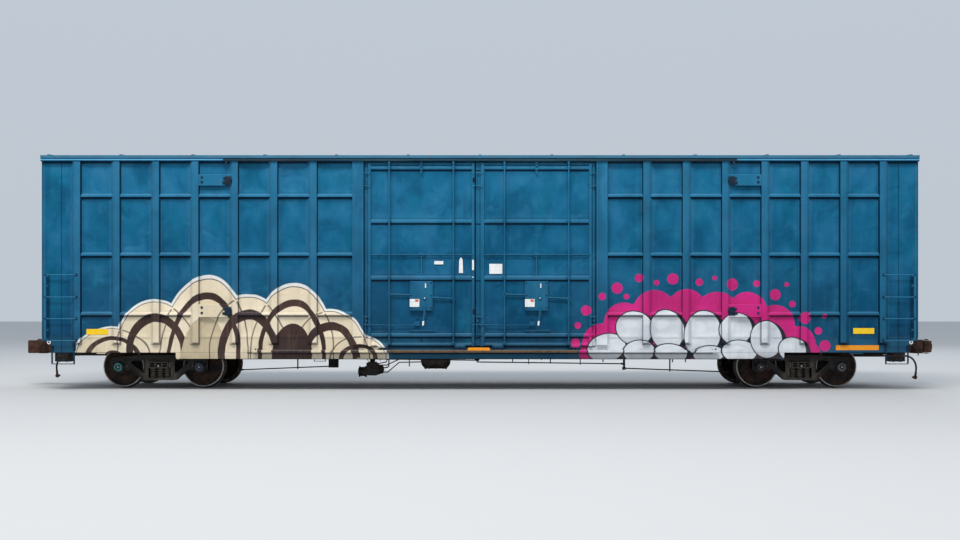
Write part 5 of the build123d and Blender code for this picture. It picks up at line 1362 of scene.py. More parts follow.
def side_ladder_mesh():
    m = Half()
    o = 1.598
    for s in (-1, 1):
        xa, xb = 8.662, 9.312
        for z in RUNG_Z:
            # round rung, its ends turned in and flattened
            m.tube([(s * (xa - 0.002), -POST_OUT + 0.004, z), (s * (xa + 0.004), -o + 0.004, z), (s * (xa + 0.022), -o, z), (s * 9.0, -o - 0.0005, z), (s * xb, -o, z)], 0.0115, 12)
            m.box(s * (xa - 0.036), s * (xa + 0.016), -POST_OUT + 0.010, -POST_OUT - 0.009, z - 0.024, z + 0.024, mat=3)
            m.bolt((s * (xa - 0.018), -POST_OUT - 0.009, z), (0, -1, 0), 0.014, 0.010, mat=3)
            m.bolt((s * 9.312, -o - 0.012, z), (0, -1, 0), 0.014, 0.008, mat=3)
        # stile: an angle beside the corner
        x0, x1, zb, zt = 9.300, 9.324, RUNG_Z[0] - 0.014, RUNG_Z[-1] + 0.014
        m.prism([(s * x0, -o + 0.012), (s * x0, -o - 0.012), (s * x1, -o - 0.012), (s * x1, -o + 0.012), (s * (x1 - 0.006), -o + 0.012), (s * (x1 - 0.006), -o - 0.006), (s * (x0 + 0.006), -o - 0.006), (s * (x0 + 0.006), -o + 0.012)], "z", zb, zt)
        for z in (1.300, 2.250, 1.095, 2.470):
            m.prism([(-PANEL_OUT + 0.004, z - 0.020), (-PANEL_OUT - 0.008, z - 0.020), (-o + 0.010, z - 0.016), (-o + 0.010, z + 0.016), (-PANEL_OUT - 0.008, z + 0.020), (-PANEL_OUT + 0.004, z + 0.020)], "x", s * 9.304, s * 9.320)
            m.box(s * 9.270, s * 9.350, -PANEL_OUT + 0.004, -PANEL_OUT - 0.007, z - 0.024, z + 0.024)
            for k in (9.281, 9.339):
                m.bolt((s * k, -PANEL_OUT - 0.007, z), (0, -1, 0), 0.010, 0.009, mat=3)
    return m


def end_ladder_mesh():
    m = Mesh()
    for s in (-1, 1):
        for side in (-1, 1):
            x = s * (HALF_LEN + 0.042)
            y0, y1 = side * 0.930, side * 1.400
            for y in (y0, y1):
                m.box(x - 0.010, x + 0.010, y - 0.009, y + 0.009, RUNG_Z[0] - 0.014, RUNG_Z[-1] + 0.014)
                for z in (END_Z0 + 0.5 * END_PITCH, END_Z0 + 2.5 * END_PITCH, 1.105):
                    m.box(s * (HALF_LEN - 0.016), x, y - 0.009, y + 0.009, z - 0.016, z + 0.016)
                    m.box(s * (HALF_LEN - 0.018), s * (HALF_LEN - 0.006), y - 0.034, y + 0.034, z - 0.022, z + 0.022)
                    for k in (-0.023, 0.023):
                        m.bolt((s * (HALF_LEN - 0.006), y + k, z), (s, 0, 0), 0.008, 0.007, mat=3)
            for z in RUNG_Z:
                m.tube([(x, y0 - side * 0.004, z), (x, (y0 + y1) / 2, z), (x, y1 + side * 0.004, z)], 0.0115, 12)
                for y in (y0, y1):
                    m.bolt((x + s * 0.010, y, z), (s, 0, 0), 0.009, 0.008, mat=3)
    return m


def step_mesh():
    m = Half()
    o, zt = 1.532, 0.575
    for s in (-1, 1):
        x0, x1 = 8.722, 9.196
        for x in (x0, x1):
            # flat bar, bolted through a pad on the sill and cranked out a little
            m.prism([(-o + 0.012, 0.960), (-o, 0.960), (-o, 0.860), (-o - 0.004, 0.830), (-o - 0.004, zt + 0.006), (-o + 0.008, zt + 0.006), (-o + 0.008, 0.834), (-o + 0.012, 0.862)], "x", s * (x - 0.016), s * (x + 0.016))
            m.box(s * (x - 0.030), s * (x + 0.030), -PANEL_OUT + 0.004, -o + 0.012, 0.855, 0.965)
            for z in (0.882, 0.938):
                m.bolt((s * x, -o, z), (0, -1, 0), 0.011, 0.010, mat=3)
        # tread with a turned-up outer lip and punched ridges
        m.prism([(-o + 0.038, zt - 0.012), (-o - 0.012, zt - 0.012), (-o - 0.012, zt + 0.004), (-o - 0.007, zt + 0.004), (-o - 0.007, zt - 0.006), (-o + 0.038, zt - 0.006)], "x", s * (x0 - 0.006), s * (x1 + 0.006))
        m.box(s * (x0 - 0.006), s * (x1 + 0.006), -o + 0.036, -o + 0.030, zt - 0.010, zt + 0.003)
        for k in range(14):
            m.box(s * (x0 + 0.03 + k * 0.032), s * (x0 + 0.038 + k * 0.032), -o + 0.028, -o - 0.004, zt - 0.007, zt - 0.001)
    return m


for name, maker, node, twice in (("ladders_side", side_ladder_mesh, "side_ladders", True), ("steps_sill", step_mesh, "sill_steps", True), ("ladders_end", end_ladder_mesh, "end_ladders", False)):
    part = maker()
    both = Mesh()
    extend(both, part)
    if twice:
        extend(both, part.turned(1))
    coat = PAINT_STEP if node == "sill_steps" else PAINT_RUNG
    both.make(name, [coat, coat, coat, BOLT_PAINT], "car_body", "body_paint", (node,))


def platform_mesh():
    m = Mesh()
    for s in (-1, 1):
        x0, x1 = s * (HALF_LEN + 0.002), s * (HALF_LEN + 0.250)
        for y in (-0.560, 0.560):
            m.box(x0, x1, y - math.copysign(0.006, y), y, 1.116, 1.146)
        m.box(x0, x0 + s * 0.006, -0.560, 0.560, 1.116, 1.146)
        m.box(x1 - s * 0.006, x1, -0.560, 0.560, 1.116, 1.146)
        # grating: bearing bars across, twisted bars along
        for k in range(1, 10):
            x = x0 + s * 0.0248 * k
            m.box(x - 0.002, x + 0.002, -0.556, 0.556, 1.120, 1.145)
        for k in range(1, 28):
            y = -0.56 + 0.04 * k
            m.box(x0 + s * 0.004, x1 - s * 0.004, y - 0.0025, y + 0.0025, 1.136, 1.145)
        for y in (-0.480, 0.480):
            m.prism([(x0, 1.122), (x1 - s * 0.01, 1.122), (x0, 1.078)], "y", y - 0.006, y + 0.006)
            m.box(x0, x0 + s * 0.006, y - 0.04, y + 0.04, 1.080, 1.122)
            for k in (-0.027, 0.027):
                m.bolt((x0 + s * 0.006, y + k, 1.100), (s, 0, 0), 0.009, 0.008, mat=1)
    return m


platform_mesh().make("platform_gratings", [GRATE, BOLT], "car_body", "galvanised", ("crossover_platforms",))


def hand_brake_mesh():
    m = Mesh()
    x, y, z = HALF_LEN, 0.560, 2.780
    # back plate, housing with a domed cover, wheel on its hub, and one short bent rod
    m.box(x - 0.012, x + 0.010, y - 0.130, y + 0.130, z - 0.258, z + 0.198)
    prof = [(-0.100, -0.240), (0.100, -0.240), (0.120, -0.100), (0.120, 0.080), (0.080, 0.170), (-0.080, 0.170), (-0.120, 0.080), (-0.120, -0.100)]
    ring = lambda k, xx: [(xx, y + a * k, z + b * k) for a, b in prof]
    m.loft([ring(0.98, x + 0.008), ring(0.98, x + 0.090), ring(0.90, x + 0.125), ring(0.66, x + 0.146)])
    m.lathe([(0.0, 0.0), (0.0, 0.050), (0.020, 0.052), (0.024, 0.030), (0.056, 0.028), (0.060, 0.0)], (x + 0.146, y, z + 0.040), (1, 0, 0), 24, closed=False)
    wx = x + 0.200
    n, r, t = 48, 0.265, 0.0135
    rings = []
    for i in range(n):
        a = 2 * math.pi * i / n
        c = Vector((wx, y + r * math.cos(a), z + 0.040 + r * math.sin(a)))
        rad = Vector((0, math.cos(a), math.sin(a)))
        rings.append([c + rad * t * math.cos(b) + Vector((1, 0, 0)) * t * math.sin(b) for b in (2 * math.pi * k / 12 for k in range(12))])
    v = [p for ring_ in rings for p in ring_]
    m.add(v, [(i * 12 + k, i * 12 + (k + 1) % 12, ((i + 1) % n) * 12 + (k + 1) % 12, ((i + 1) % n) * 12 + k) for i in range(n) for k in range(12)])
    m.lathe([(0.0, 0.0), (0.0, 0.040), (0.024, 0.044), (0.030, 0.020), (0.030, 0.0)], (wx - 0.012, y, z + 0.040), (1, 0, 0), 20, closed=False)
    for k in range(6):
        a = math.pi / 3 * k + 0.26
        d = Vector((0, math.cos(a), math.sin(a)))
        p = Vector((wx, y, z + 0.040))
        m.tube([p + d * 0.03 - Vector((0.004, 0, 0)), p + d * 0.15 - Vector((0.010, 0, 0)), p + d * 0.262], 0.0085, 8)
    m.tube([(x + 0.10, y - 0.118, z - 0.05), (x + 0.12, y - 0.128, z - 0.08), (x + 0.125, y - 0.128, z - 0.22)], 0.009, 8)
    for a in (-0.112, 0.112):
        for b in (-0.238, 0.176):
            m.bolt((x + 0.010, y + a, z + b), (1, 0, 0), 0.012, 0.010, mat=1)
    return m


hand_brake_mesh().make("brake_wheel_set", [PAINT_HARD, BOLT], "car_body", "body_paint", ("hand_brake",))


# ------------------------------------------------------------------ couplers and their levers
def fillet(poly, r, n=4):
    """a closed outline with its corners rounded"""
    out = []
    k = len(poly)
    for i in range(k):
        p, q, t = Vector(poly[i - 1]), Vector(poly[i]), Vector(poly[(i + 1) % k])
        a, b = (p - q), (t - q)
        la, lb = a.length, b.length
        a.normalize()
        b.normalize()
        ang = a.angle(b)
        if ang > math.radians(172) or ang < 1e-3:
            out.append(tuple(q))
            continue
        rr = r(i) if callable(r) else r
        d = min(rr / math.tan(ang / 2), 0.45 * la, 0.45 * lb)
        for j in range(n + 1):
            u = j / n
            # quadratic arc through the corner
            s1, s2 = q + a * d, q + b * d
            pt = s1 * (1 - u) ** 2 + q * 2 * u * (1 - u) + s2 * u ** 2
            out.append(tuple(pt))
    return out


def offset(poly, d):
    """a closed outline moved inwards by d"""
    n = len(poly)
    area = sum(poly[i][0] * poly[(i + 1) % n][1] - poly[(i + 1) % n][0] * poly[i][1] for i in range(n))
    sg = 1 if area > 0 else -1
    out = []
    for i in range(n):
        p, q, t = Vector(poly[i - 1]), Vector(poly[i]), Vector(poly[(i + 1) % n])
        e1, e2 = (q - p).normalized(), (t - q).normalized()
        n1, n2 = Vector((-e1.y, e1.x)) * sg, Vector((-e2.y, e2.x)) * sg
        b = n1 + n2
        if b.length < 1e-6:
            b = n1
        b.normalize()
        c = max(0.45, b.dot(n1))
        out.append(tuple(q + b * (d / c)))
    return out


def slab(m, poly, axis, a, b, edge=0.0, mat=0):
    """an outline pulled along an axis with its two faces' edges rounded over"""
    lo, hi = min(a, b), max(a, b)
    if not edge:
        m.prism(poly, axis, lo, hi, mat)
        return

    def ring(pts, t):
        return [{"x": (t, p[0], p[1]), "y": (p[0], t, p[1]), "z": (p[0], p[1], t)}[axis] for p in pts]
    m.loft([ring(offset(poly, edge), lo), ring(offset(poly, edge * 0.3), lo + edge * 0.3), ring(poly, lo + edge), ring(poly, hi - edge), ring(offset(poly, edge * 0.3), hi - edge * 0.3), ring(offset(poly, edge), hi)], mat)


def plate(m, outer, holes, axis, a, b, mat=0):
    """a flat plate with holes"""
    from mathutils.geometry import tessellate_polygon
    lo, hi = min(a, b), max(a, b)
    at = lambda p, t: {"x": (t, p[0], p[1]), "y": (p[0], t, p[1]), "z": (p[0], p[1], t)}[axis]
    loops = [outer] + list(holes)
    flat = [p for l in loops for p in l]
    tris = tessellate_polygon([[Vector((p[0], p[1], 0)) for p in l] for l in loops])
    n = len(flat)
    v = [at(p, lo) for p in flat] + [at(p, hi) for p in flat]
    f = [tuple(t) for t in tris] + [tuple(n + i for i in t) for t in tris]
    k = 0
    for l in loops:
        c = len(l)
        f += [(k + i, k + (i + 1) % c, n + k + (i + 1) % c, n + k + i) for i in range(c)]
        k += c
    m.add(v, f, mat)


def rim(m, loop, width, axis, a, b, c=0.008, inward=True, mat=0):
    """a raised bead that follows an outline"""
    lo, hi = min(a, b), max(a, b)
    sg = 1 if inward else -1
    prof = [(0, lo + c), (c, lo), (width - c, lo), (width, lo + c), (width, hi - c), (width - c, hi), (c, hi), (0, hi - c)]
    at = lambda p, t: {"x": (t, p[0], p[1]), "y": (p[0], t, p[1]), "z": (p[0], p[1], t)}[axis]
    rings = [[at(p, t) for p in offset(loop, sg * d)] for d, t in prof]
    n = len(loop)
    v = [p for r in rings for p in r]
    k = len(rings)
    f = [(q * n + i, q * n + (i + 1) % n, ((q + 1) % k) * n + (i + 1) % n, ((q + 1) % k) * n + i) for q in range(k) for i in range(n)]
    m.add(v, f, mat)


def coupler_mesh():
    m, kn = Half(), Half()
    x0, z = PULLING_FACE, COUPLER_Z
    head = [(-0.420, 0.070), (-0.330, 0.150), (-0.230, 0.198), (-0.120, 0.230), (0.010, 0.234), (0.032, 0.190), (-0.040, 0.150), (-0.110, 0.092), (-0.130, 0.030), (-0.132, -0.070), (-0.150, -0.170),
            (-0.190, -0.190), (-0.330, -0.166), (-0.420, -0.070)]
    outline = fillet([(x0 + a, b) for a, b in head], 0.030, 4)
    slab(m, outline, "z", z - 0.148, z + 0.148, 0.022)
    # lock chamber bulge, guard arm rib and the lug that carries the knuckle pin
    slab(m, fillet([(x0 + a, b) for a, b in ((-0.36, 0.10), (-0.20, 0.17), (-0.14, 0.05), (-0.15, -0.15), (-0.33, -0.13))], 0.03, 4), "z", z - 0.158, z + 0.158, 0.014)
    for zz in (z + 0.149, z - 0.149):
        m.cyl((x0 - 0.080, -0.140, zz - 0.006), (x0 - 0.080, -0.140, zz + (0.010 if zz > z else -0.010)), 0.058, 24, chamfer=0.004) if zz > z else m.cyl((x0 - 0.080, -0.140, zz - 0.010), (x0 - 0.080, -0.140, zz + 0.006), 0.058, 24, chamfer=0.004)
    # pin head and lock lifter
    m.cyl((x0 - 0.080, -0.140, z + 0.150), (x0 - 0.080, -0.140, z + 0.176), 0.034, 20, mat=1, chamfer=0.006)
    m.box(x0 - 0.29, x0 - 0.24, -0.03, 0.03, z + 0.15, z + 0.175)
    # shank with flanges, and its horn at the head
    m.prism([(-0.062, z - 0.072), (0.062, z - 0.072), (0.066, z - 0.056), (0.052, z - 0.040), (0.052, z + 0.040), (0.066, z + 0.056), (0.062, z + 0.072), (-0.062, z + 0.072), (-0.066, z + 0.056), (-0.052, z + 0.040),
             (-0.052, z - 0.040), (-0.066, z - 0.056)], "x", HALF_LEN - 0.42, x0 - 0.40)
    slab(m, [(-0.108, z - 0.112), (0.108, z - 0.112), (0.120, z), (0.108, z + 0.118), (-0.108, z + 0.118), (-0.120, z)], "x", x0 - 0.455, x0 - 0.405, 0.012)
    knuckle = [(-0.124, -0.064), (-0.060, -0.058), (-0.036, -0.004), (-0.002, 0.020), (0.030, -0.010), (0.050, -0.068), (0.056, -0.128), (0.018, -0.188), (-0.060, -0.212), (-0.140, -0.202), (-0.148, -0.188)]
    slab(kn, fillet([(x0 + a, b) for a, b in knuckle], 0.022, 4), "z", z - 0.134, z + 0.134, 0.018)
    kn.box(x0 + 0.048, x0 + 0.056, -0.150, -0.080, z - 0.060, z + 0.060)
    return m, kn


head, jaw = coupler_mesh()
both, jaws = Mesh(), Mesh()
for src, dst in ((head, both), (jaw, jaws)):
    extend(dst, src)
    extend(dst, src.turned(1))
both.make("coupler_heads", [RUSTY, BOLT], "car_body", "cast_coupler", ("couplers",))
jaws.make("knuckles", [RUSTY], "car_body", "cast_coupler", ("coupler_knuckles",))


def lever_mesh():
    m = Half()
    x = HALF_LEN + 0.095
    pts = [(x, -1.330, 0.745), (x, -1.330, 0.80), (x, -1.330, 0.94), (x + 0.002, -1.322, 0.968), (x, -1.295, 0.985), (x, -0.80, 0.985), (x, -0.36, 0.985), (x + 0.012, -0.325, 0.985), (x + 0.110, -0.258, 0.985), (x + 0.120, -0.252, 0.975)]
    m.tube([(a, b, c) for a, b, c in pts], 0.0125, 12)
    for y in (-0.80, -0.42):
        m.prism([(HALF_LEN, 1.098), (HALF_LEN, 1.040), (x + 0.010, 0.972), (x + 0.014, 0.986), (x + 0.006, 1.000), (HALF_LEN + 0.012, 1.060), (HALF_LEN + 0.012, 1.098)], "y", y - 0.010, y + 0.010)
        m.box(HALF_LEN, HALF_LEN + 0.010, y - 0.045, y + 0.045, 1.074, 1.098)
        for k in (-0.03, 0.03):
            m.bolt((HALF_LEN + 0.010, y + k, 1.086), (1, 0, 0), 0.008, 0.007, mat=1)
    # small chain link to the lock
    m.tube([(x + 0.118, -0.252, 0.980), (x + 0.140, -0.235, 1.040), (x + 0.240, -0.170, 1.064), (PULLING_FACE - 0.30, -0.06, 1.066)], 0.006, 8)
    return m


lever = lever_mesh()
both = Mesh()
extend(both, lever)
extend(both, lever.turned(1))
both.make("coupler_levers", [BRAKE, BOLT], "car_body", "brake_steel", ("uncoupling_levers",))


# ------------------------------------------------------------------ underframe
def clean(mesh_object, mat):
    mesh_object.data.materials.clear()
    mesh_object.data.materials.append(mat)


clean(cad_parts["floor"], FLOORING)
clean(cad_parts["centre_sill"], CHASSIS)
SILL_HALF, SILL_Z = 0.178, (0.720, 1.050)


def underframe_mesh():
    m = Mesh()
    top = SILL_Z[0] + 0.016
    for s in (-1, 1):
        for side in (-1, 1):
            # body bolster: two webs between a top and a bottom plate, open at the end
            for x in (s * TRUCK_X - 0.170, s * TRUCK_X + 0.170):
                m.prism([(side * SILL_HALF, top), (side * SILL_HALF, 1.050), (side * SILL_IN, 1.050), (side * SILL_IN, 0.905), (side * 0.780, top)], "x", x - 0.008, x + 0.008)
            x0, x1 = s * TRUCK_X - 0.230, s * TRUCK_X + 0.230
            m.prism([(side * SILL_HALF, top), (side * 0.780, top), (side * SILL_IN, 0.905), (side * SILL_IN, 0.921), (side * 0.777, top + 0.016), (side * SILL_HALF, top + 0.016)], "x", x0, x1)
            m.box(x0, x1, side * SILL_HALF, side * SILL_IN, 1.036, 1.050)
            for y in (0.42, 0.63, 0.92, 1.20):
                zb = top + 0.016 if y < 0.78 else top + 0.016 + (y - 0.78) * (0.905 - top) / (SILL_IN - 0.78)
                m.box(s * TRUCK_X - 0.162, s * TRUCK_X + 0.162, side * (y - 0.006), side * (y + 0.006), zb - 0.004, 1.040)
            # side bearing: block, roller cage and bolts
            m.box(s * TRUCK_X - 0.150, s * TRUCK_X + 0.150, side * 0.540, side * 0.720, 0.712, top)
            m.box(s * TRUCK_X - 0.120, s * TRUCK_X + 0.120, side * 0.560, side * 0.700, 0.700, 0.714)
            for dx in (-0.135, 0.135):
                for dy in (0.565, 0.695):
                    m.bolt((s * TRUCK_X + dx, side * dy, 0.712), (0, 0, -1), 0.010, 0.009, mat=1)
    bearers = [(x, 0.045, 0.300) for x in (-5.0, -3.2, -1.56, 1.56, 3.37, 5.0)]
    ties = [(x, 0.025, 0.130) for x in (-8.9, -5.52, -4.1, -2.0, 0.0, 2.4, 4.15, 5.52, 8.9)]
    for x, half, depth in bearers + ties:
        for side in (-1, 1):
            z0, z1 = 1.050 - depth, 1.050 - min(depth, 0.130)
            yi, yo = side * SILL_HALF, side * SILL_IN
            t = 0.010
            m.prism([(yi, z0), (yi, 1.050), (yo, 1.050), (yo, z1)], "x", x - 0.005, x + 0.005)
            m.prism([(yi, z0), (yo, z1), (yo, z1 + t), (yi, z0 + t)], "x", x - half, x + half)
            m.prism([(yi, 1.050 - t), (yo, 1.050 - t), (yo, 1.050), (yi, 1.050)], "x", x - half, x + half)
            if half > 0.03:
                for k in range(1, 4):
                    y = side * (SILL_HALF + k * 0.31)
                    zb = z0 + (z1 - z0) * (k * 0.31) / (SILL_IN - SILL_HALF)
                    m.box(x - half + 0.002, x + half - 0.002, y - 0.004, y + 0.004, zb + 0.008, 1.042)
                for dy in (0.06, 0.14, 0.22):
                    for dx in (-0.028, 0.028):
                        m.rivet((x + dx, side * (SILL_HALF + dy), z0 + 0.001), (0, 0, -1), 0.010, 0.007, mat=0, n=8)
    # floor stringers between the crossmembers, light Z sections
    stops = sorted([b[0] for b in bearers + ties] + [-TRUCK_X - 0.23, -TRUCK_X + 0.23, TRUCK_X - 0.23, TRUCK_X + 0.23])
    for side in (-1, 1):
        for y in (0.52, 0.98):
            for a, b in zip(stops, stops[1:]):
                if abs((a + b) / 2) > TRUCK_X - 0.2 and abs((a + b) / 2) < TRUCK_X + 0.2:
                    continue
                foot = 1.004 if abs((a + b) / 2) > 5.52 else 0.958
                m.box(a + 0.006, b - 0.006, side * y - 0.004, side * y + 0.004, foot, 1.050)
                m.box(a + 0.006, b - 0.006, side * y - 0.004, side * (y + 0.045), foot - 0.006, foot + 0.001)
    return m


underframe_mesh().make("underframe_members", [CHASSIS, BOLT], "car_body", "underframe_steel", ("crossmembers",))


def striker_mesh():
    m = Mesh()
    for s in (-1, 1):
        x = s * HALF_LEN
        # carrier under the coupler shank with its bolts, and the striker's ribs
        for y in (-0.180, 0.180):
            m.box(x + s * 0.002, x + s * 0.060, y - 0.012, y + 0.012, 0.712, 1.068)
        m.box(x + s * 0.010, x + s * 0.066, -0.150, 0.150, 0.748, 0.800)
        for y in (-0.205, 0.205):
            for z in (0.745, 0.835, 0.945, 1.035):
                m.bolt((x + s * 0.060, y, z), (s, 0, 0), 0.014, 0.012, mat=1)
        # draft housing: end flange, ribs and bolts on its cheeks, a pad under it
        h0, h1 = x + s * 0.060, x + s * 0.350
        for y in (-0.172, 0.172):
            for z in (0.640, 0.760, 0.900, 1.000):
                m.box(h0, h1, y - 0.006, y + 0.006, z - 0.007, z + 0.007)
            m.box(h1 - s * 0.022, h1, y - 0.010, y + 0.010, 0.562, 1.028)
            for z in (0.600, 0.700, 0.830, 0.960):
                for dx in (0.10, 0.20):
                    m.bolt((h0 + s * dx, y + math.copysign(0.001, y), z), (0, math.copysign(1, y), 0), 0.012, 0.010, mat=1)
        m.box(h0, h1 - s * 0.020, -0.120, 0.120, 0.552, 0.562)
        for dx in (0.06, 0.22):
            for y in (-0.090, 0.090):
                m.bolt((h0 + s * dx, y, 0.552), (0, 0, -1), 0.013, 0.011, mat=1)
        # draft gear carrier plate under the sill, key slot and cover bolts
        m.box(s * 8.40, s * 9.26, -0.215, 0.215, 0.708, 0.721)
        for i in range(6):
            for y in (-0.196, 0.196):
                m.bolt((s * (8.46 + i * 0.148), y, 0.708), (0, 0, -1), 0.014, 0.012, mat=1)
        for side in (-1, 1):
            m.box(s * 8.56, s * 8.98, side * (SILL_HALF - 0.002), side * (SILL_HALF + 0.014), 0.800, 0.985)
            for i in range(4):
                for z in (0.822, 0.962):
                    m.rivet((s * (8.61 + i * 0.106), side * (SILL_HALF + 0.014), z), (0, side, 0), 0.012, 0.009, mat=0, n=10)
        # centre plate bolts
        for a in range(8):
            t = math.pi / 4 * a + 0.39
            m.bolt((s * TRUCK_X + 0.215 * math.cos(t) * 1.15, 0.215 * math.sin(t), 0.708), (0, 0, -1), 0.013, 0.011, mat=1)
    return m


striker_mesh().make("striker_details", [CHASSIS, BOLT], "car_body", "underframe_steel")


# ------------------------------------------------------------------ air brake gear
def bent(pts, r, n=6):
    pts = [Vector(p) for p in pts]
    out = [pts[0]]
    for i in range(1, len(pts) - 1):
        p, q, t = pts[i - 1], pts[i], pts[i + 1]
        a, b = (p - q), (t - q)
        la, lb = a.length, b.length
        a.normalize()
        b.normalize()
        d = min(r / math.tan(max(a.angle(b), 0.02) / 2), 0.45 * la, 0.45 * lb)
        for j in range(n + 1):
            u = j / n
            out.append((q + a * d) * (1 - u) ** 2 + q * 2 * u * (1 - u) + (q + b * d) * u * u)
    out.append(pts[-1])
    return out


def pipe_mesh():
    m = Mesh()
    route = [(-PIPE_END, -PIPE_Y, PIPE_Z), (-0.42, -PIPE_Y, PIPE_Z), (0.42, PIPE_Y, PIPE_Z), (PIPE_END, PIPE_Y, PIPE_Z)]
    m.tube(bent(route, 0.25), 0.021, 14)
    for x in (-8.2, -5.9, -4.1, -2.2, 2.0, 3.6, 5.3, 8.2):
        y = -PIPE_Y if x < 0 else PIPE_Y
        # pipe clamp: a strap on a hanger
        m.cyl((x - 0.014, y, PIPE_Z), (x + 0.014, y, PIPE_Z), 0.027, 14)
        m.box(x - 0.012, x + 0.012, y - 0.004, y + 0.004, PIPE_Z + 0.02, 1.05 if abs(x) not in (2.2,) else 1.05)
    for s in (-1, 1):
        y = s * PIPE_Y
        x = s * PIPE_END
        # angle cock: hex end, body, spindle boss and handle
        m.cyl((x - s * 0.045, y, PIPE_Z), (x + s * 0.004, y, PIPE_Z), 0.030, 6)
        m.lathe([(0.0, 0.026), (0.006, 0.033), (0.030, 0.036), (0.058, 0.036), (0.078, 0.032), (0.090, 0.026)], (x, y, PIPE_Z), (s, 0, 0), 20, closed=False)
        m.cyl((x + s * 0.040, y, PIPE_Z + 0.024), (x + s * 0.040, y, PIPE_Z + 0.052), 0.022, 16, chamfer=0.003)
        m.box(x + s * 0.020, x + s * 0.060, y - 0.009, y + 0.009, PIPE_Z + 0.048, PIPE_Z + 0.062)
        m.prism([(x + s * 0.055, PIPE_Z + 0.060), (x + s * 0.055, PIPE_Z + 0.050), (x + s * 0.148, PIPE_Z + 0.050), (x + s * 0.150, PIPE_Z + 0.057)], "y", y - 0.009, y + 0.009)
        m.prism([(s * (HALF_LEN + 0.020), s * (PIPE_Y - 0.030)), (s * (HALF_LEN + 0.050), s * (PIPE_Y - 0.030)), (s * (HALF_LEN + 0.050), s * -0.232), (s * (HALF_LEN + 0.020), s * -0.232)], "z", PIPE_Z + 0.030, PIPE_Z + 0.042)
        m.box(s * (HALF_LEN + 0.022), s * (HALF_LEN + 0.048), y - 0.027, y + 0.027, PIPE_Z - 0.027, PIPE_Z + 0.036)
    # branch pipes: train line to control valve, valve to the tank and to the cylinder
    m.tube(bent([(-2.06, -PIPE_Y, 0.676), (-2.06, -PIPE_Y, 0.620), (-2.06, -0.52, 0.620), (-2.06, -0.52, 0.450), (-2.180, -0.52, 0.430)], 0.06), 0.014, 10)
    m.tube(bent([(-2.33, -0.600, 0.500), (-2.10, -0.640, 0.500), (-1.80, -0.640, 0.640), (-1.320, -0.640, 0.640)], 0.06), 0.012, 10)
    m.tube(bent([(-2.33, -0.560, 0.340), (-2.08, -0.585, 0.340), (-1.82, -0.600, 0.560), (-1.315, -0.600, 0.570)], 0.06), 0.012, 10)
    m.tube(bent([(-2.33, -0.460, 0.520), (-2.12, -0.380, 0.560), (-2.12, -0.300, 0.655), (-1.02, -0.300, 0.655), (-1.02, 0.560, 0.655), (-1.02, 0.560, 0.760), (-0.895, 0.560, 0.760)], 0.06), 0.012, 10)
    # release rods that reach from the valve to both sides
    m.tube(bent([(-2.42, -0.620, 0.420), (-2.46, -1.00, 0.600), (-2.46, -1.395, 0.690)], 0.1), 0.006, 8)
    m.tube(bent([(-2.42, -0.420, 0.500), (-2.46, 0.300, 0.640), (-2.46, 1.395, 0.740)], 0.1), 0.006, 8)
    return m


pipe_mesh().make("brake_pipework", [BRAKE], "car_body", "brake_steel", ("brake_pipe",))


def tank_mesh():
    m = Mesh()
    y, z, r = -0.640, 0.610, 0.190
    m.lathe([(0, 0.01), (0.004, 0.050), (0.018, 0.098), (0.048, 0.139), (0.075, 0.172), (0.110, 0.1885), (0.120, r), (0.325, r), (0.327, r + 0.009), (0.343, r + 0.009), (0.345, r), (0.550, r), (0.560, 0.1885), (0.595, 0.172), (0.622, 0.139), (0.652, 0.098), (0.666, 0.050), (0.670, 0.01)],
            (-1.330, y, z), (1, 0, 0), 48, closed=False)
    for x in (-1.140, -0.820):
        m.lathe([(-0.020, r - 0.004), (-0.020, r + 0.006), (0.020, r + 0.006), (0.020, r - 0.004)], (x, y, z), (1, 0, 0), 48)
        for dy in (-0.112, 0.112):
            m.box(x - 0.020, x + 0.020, y + dy - 0.006, y + dy + 0.006, z + 0.140, 1.050)
            m.bolt((x, y + dy + math.copysign(0.006, dy), z + 0.200), (0, math.copysign(1, dy), 0), 0.010, 0.009)
        m.box(x - 0.025, x + 0.025, y - 0.118, y + 0.118, 1.032, 1.050)
    for x in (-1.23, -0.76):
        m.cyl((x, y, z - r - 0.012), (x, y, z - r + 0.01), 0.018, 12)
    return m


tank_mesh().make("air_tank", [BRAKE], "car_body", "brake_steel", ("air_reservoir",))


def cylinder_mesh():
    m = Mesh()
    y, z = 0.560, 0.760
    m.lathe([(0, 0.02), (0.004, 0.10), (0.026, 0.145), (0.055, 0.158), (0.500, 0.158), (0.500, 0.188), (0.520, 0.189), (0.524, 0.182), (0.528, 0.189), (0.546, 0.188), (0.552, 0.120), (0.560, 0.06), (0.561, 0.01)], (-0.900, y, z), (1, 0, 0), 40, closed=False)
    for k in range(8):
        t = math.pi / 4 * k + 0.2
        m.bolt((-0.354, y + 0.166 * math.cos(t), z + 0.166 * math.sin(t)), (1, 0, 0), 0.011, 0.012, mat=1)
    for x in (-0.80, -0.66, -0.52):
        m.lathe([(-0.005, 0.150), (-0.005, 0.160), (0.005, 0.160), (0.005, 0.150)], (x, y, z), (1, 0, 0), 40)
    m.cyl((-0.345, y, z), (-0.075, y, z), 0.020, 14)
    m.box(-0.110, -0.062, y - 0.024, y + 0.024, z - 0.022, z + 0.022)
    m.cyl((-0.085, y - 0.034, z), (-0.085, y + 0.034, z), 0.010, 10, mat=1)
    for dy in (-0.066, 0.066):
        m.box(-0.760, -0.520, y + dy - 0.005, y + dy + 0.005, z + 0.120, 1.050)
    m.box(-0.760, -0.520, y - 0.070, y + 0.070, 1.034, 1.050)
    return m


cylinder_mesh().make("brake_cylinder_set", [BRAKE, BOLT], "car_body", "brake_steel", ("brake_cylinder",))


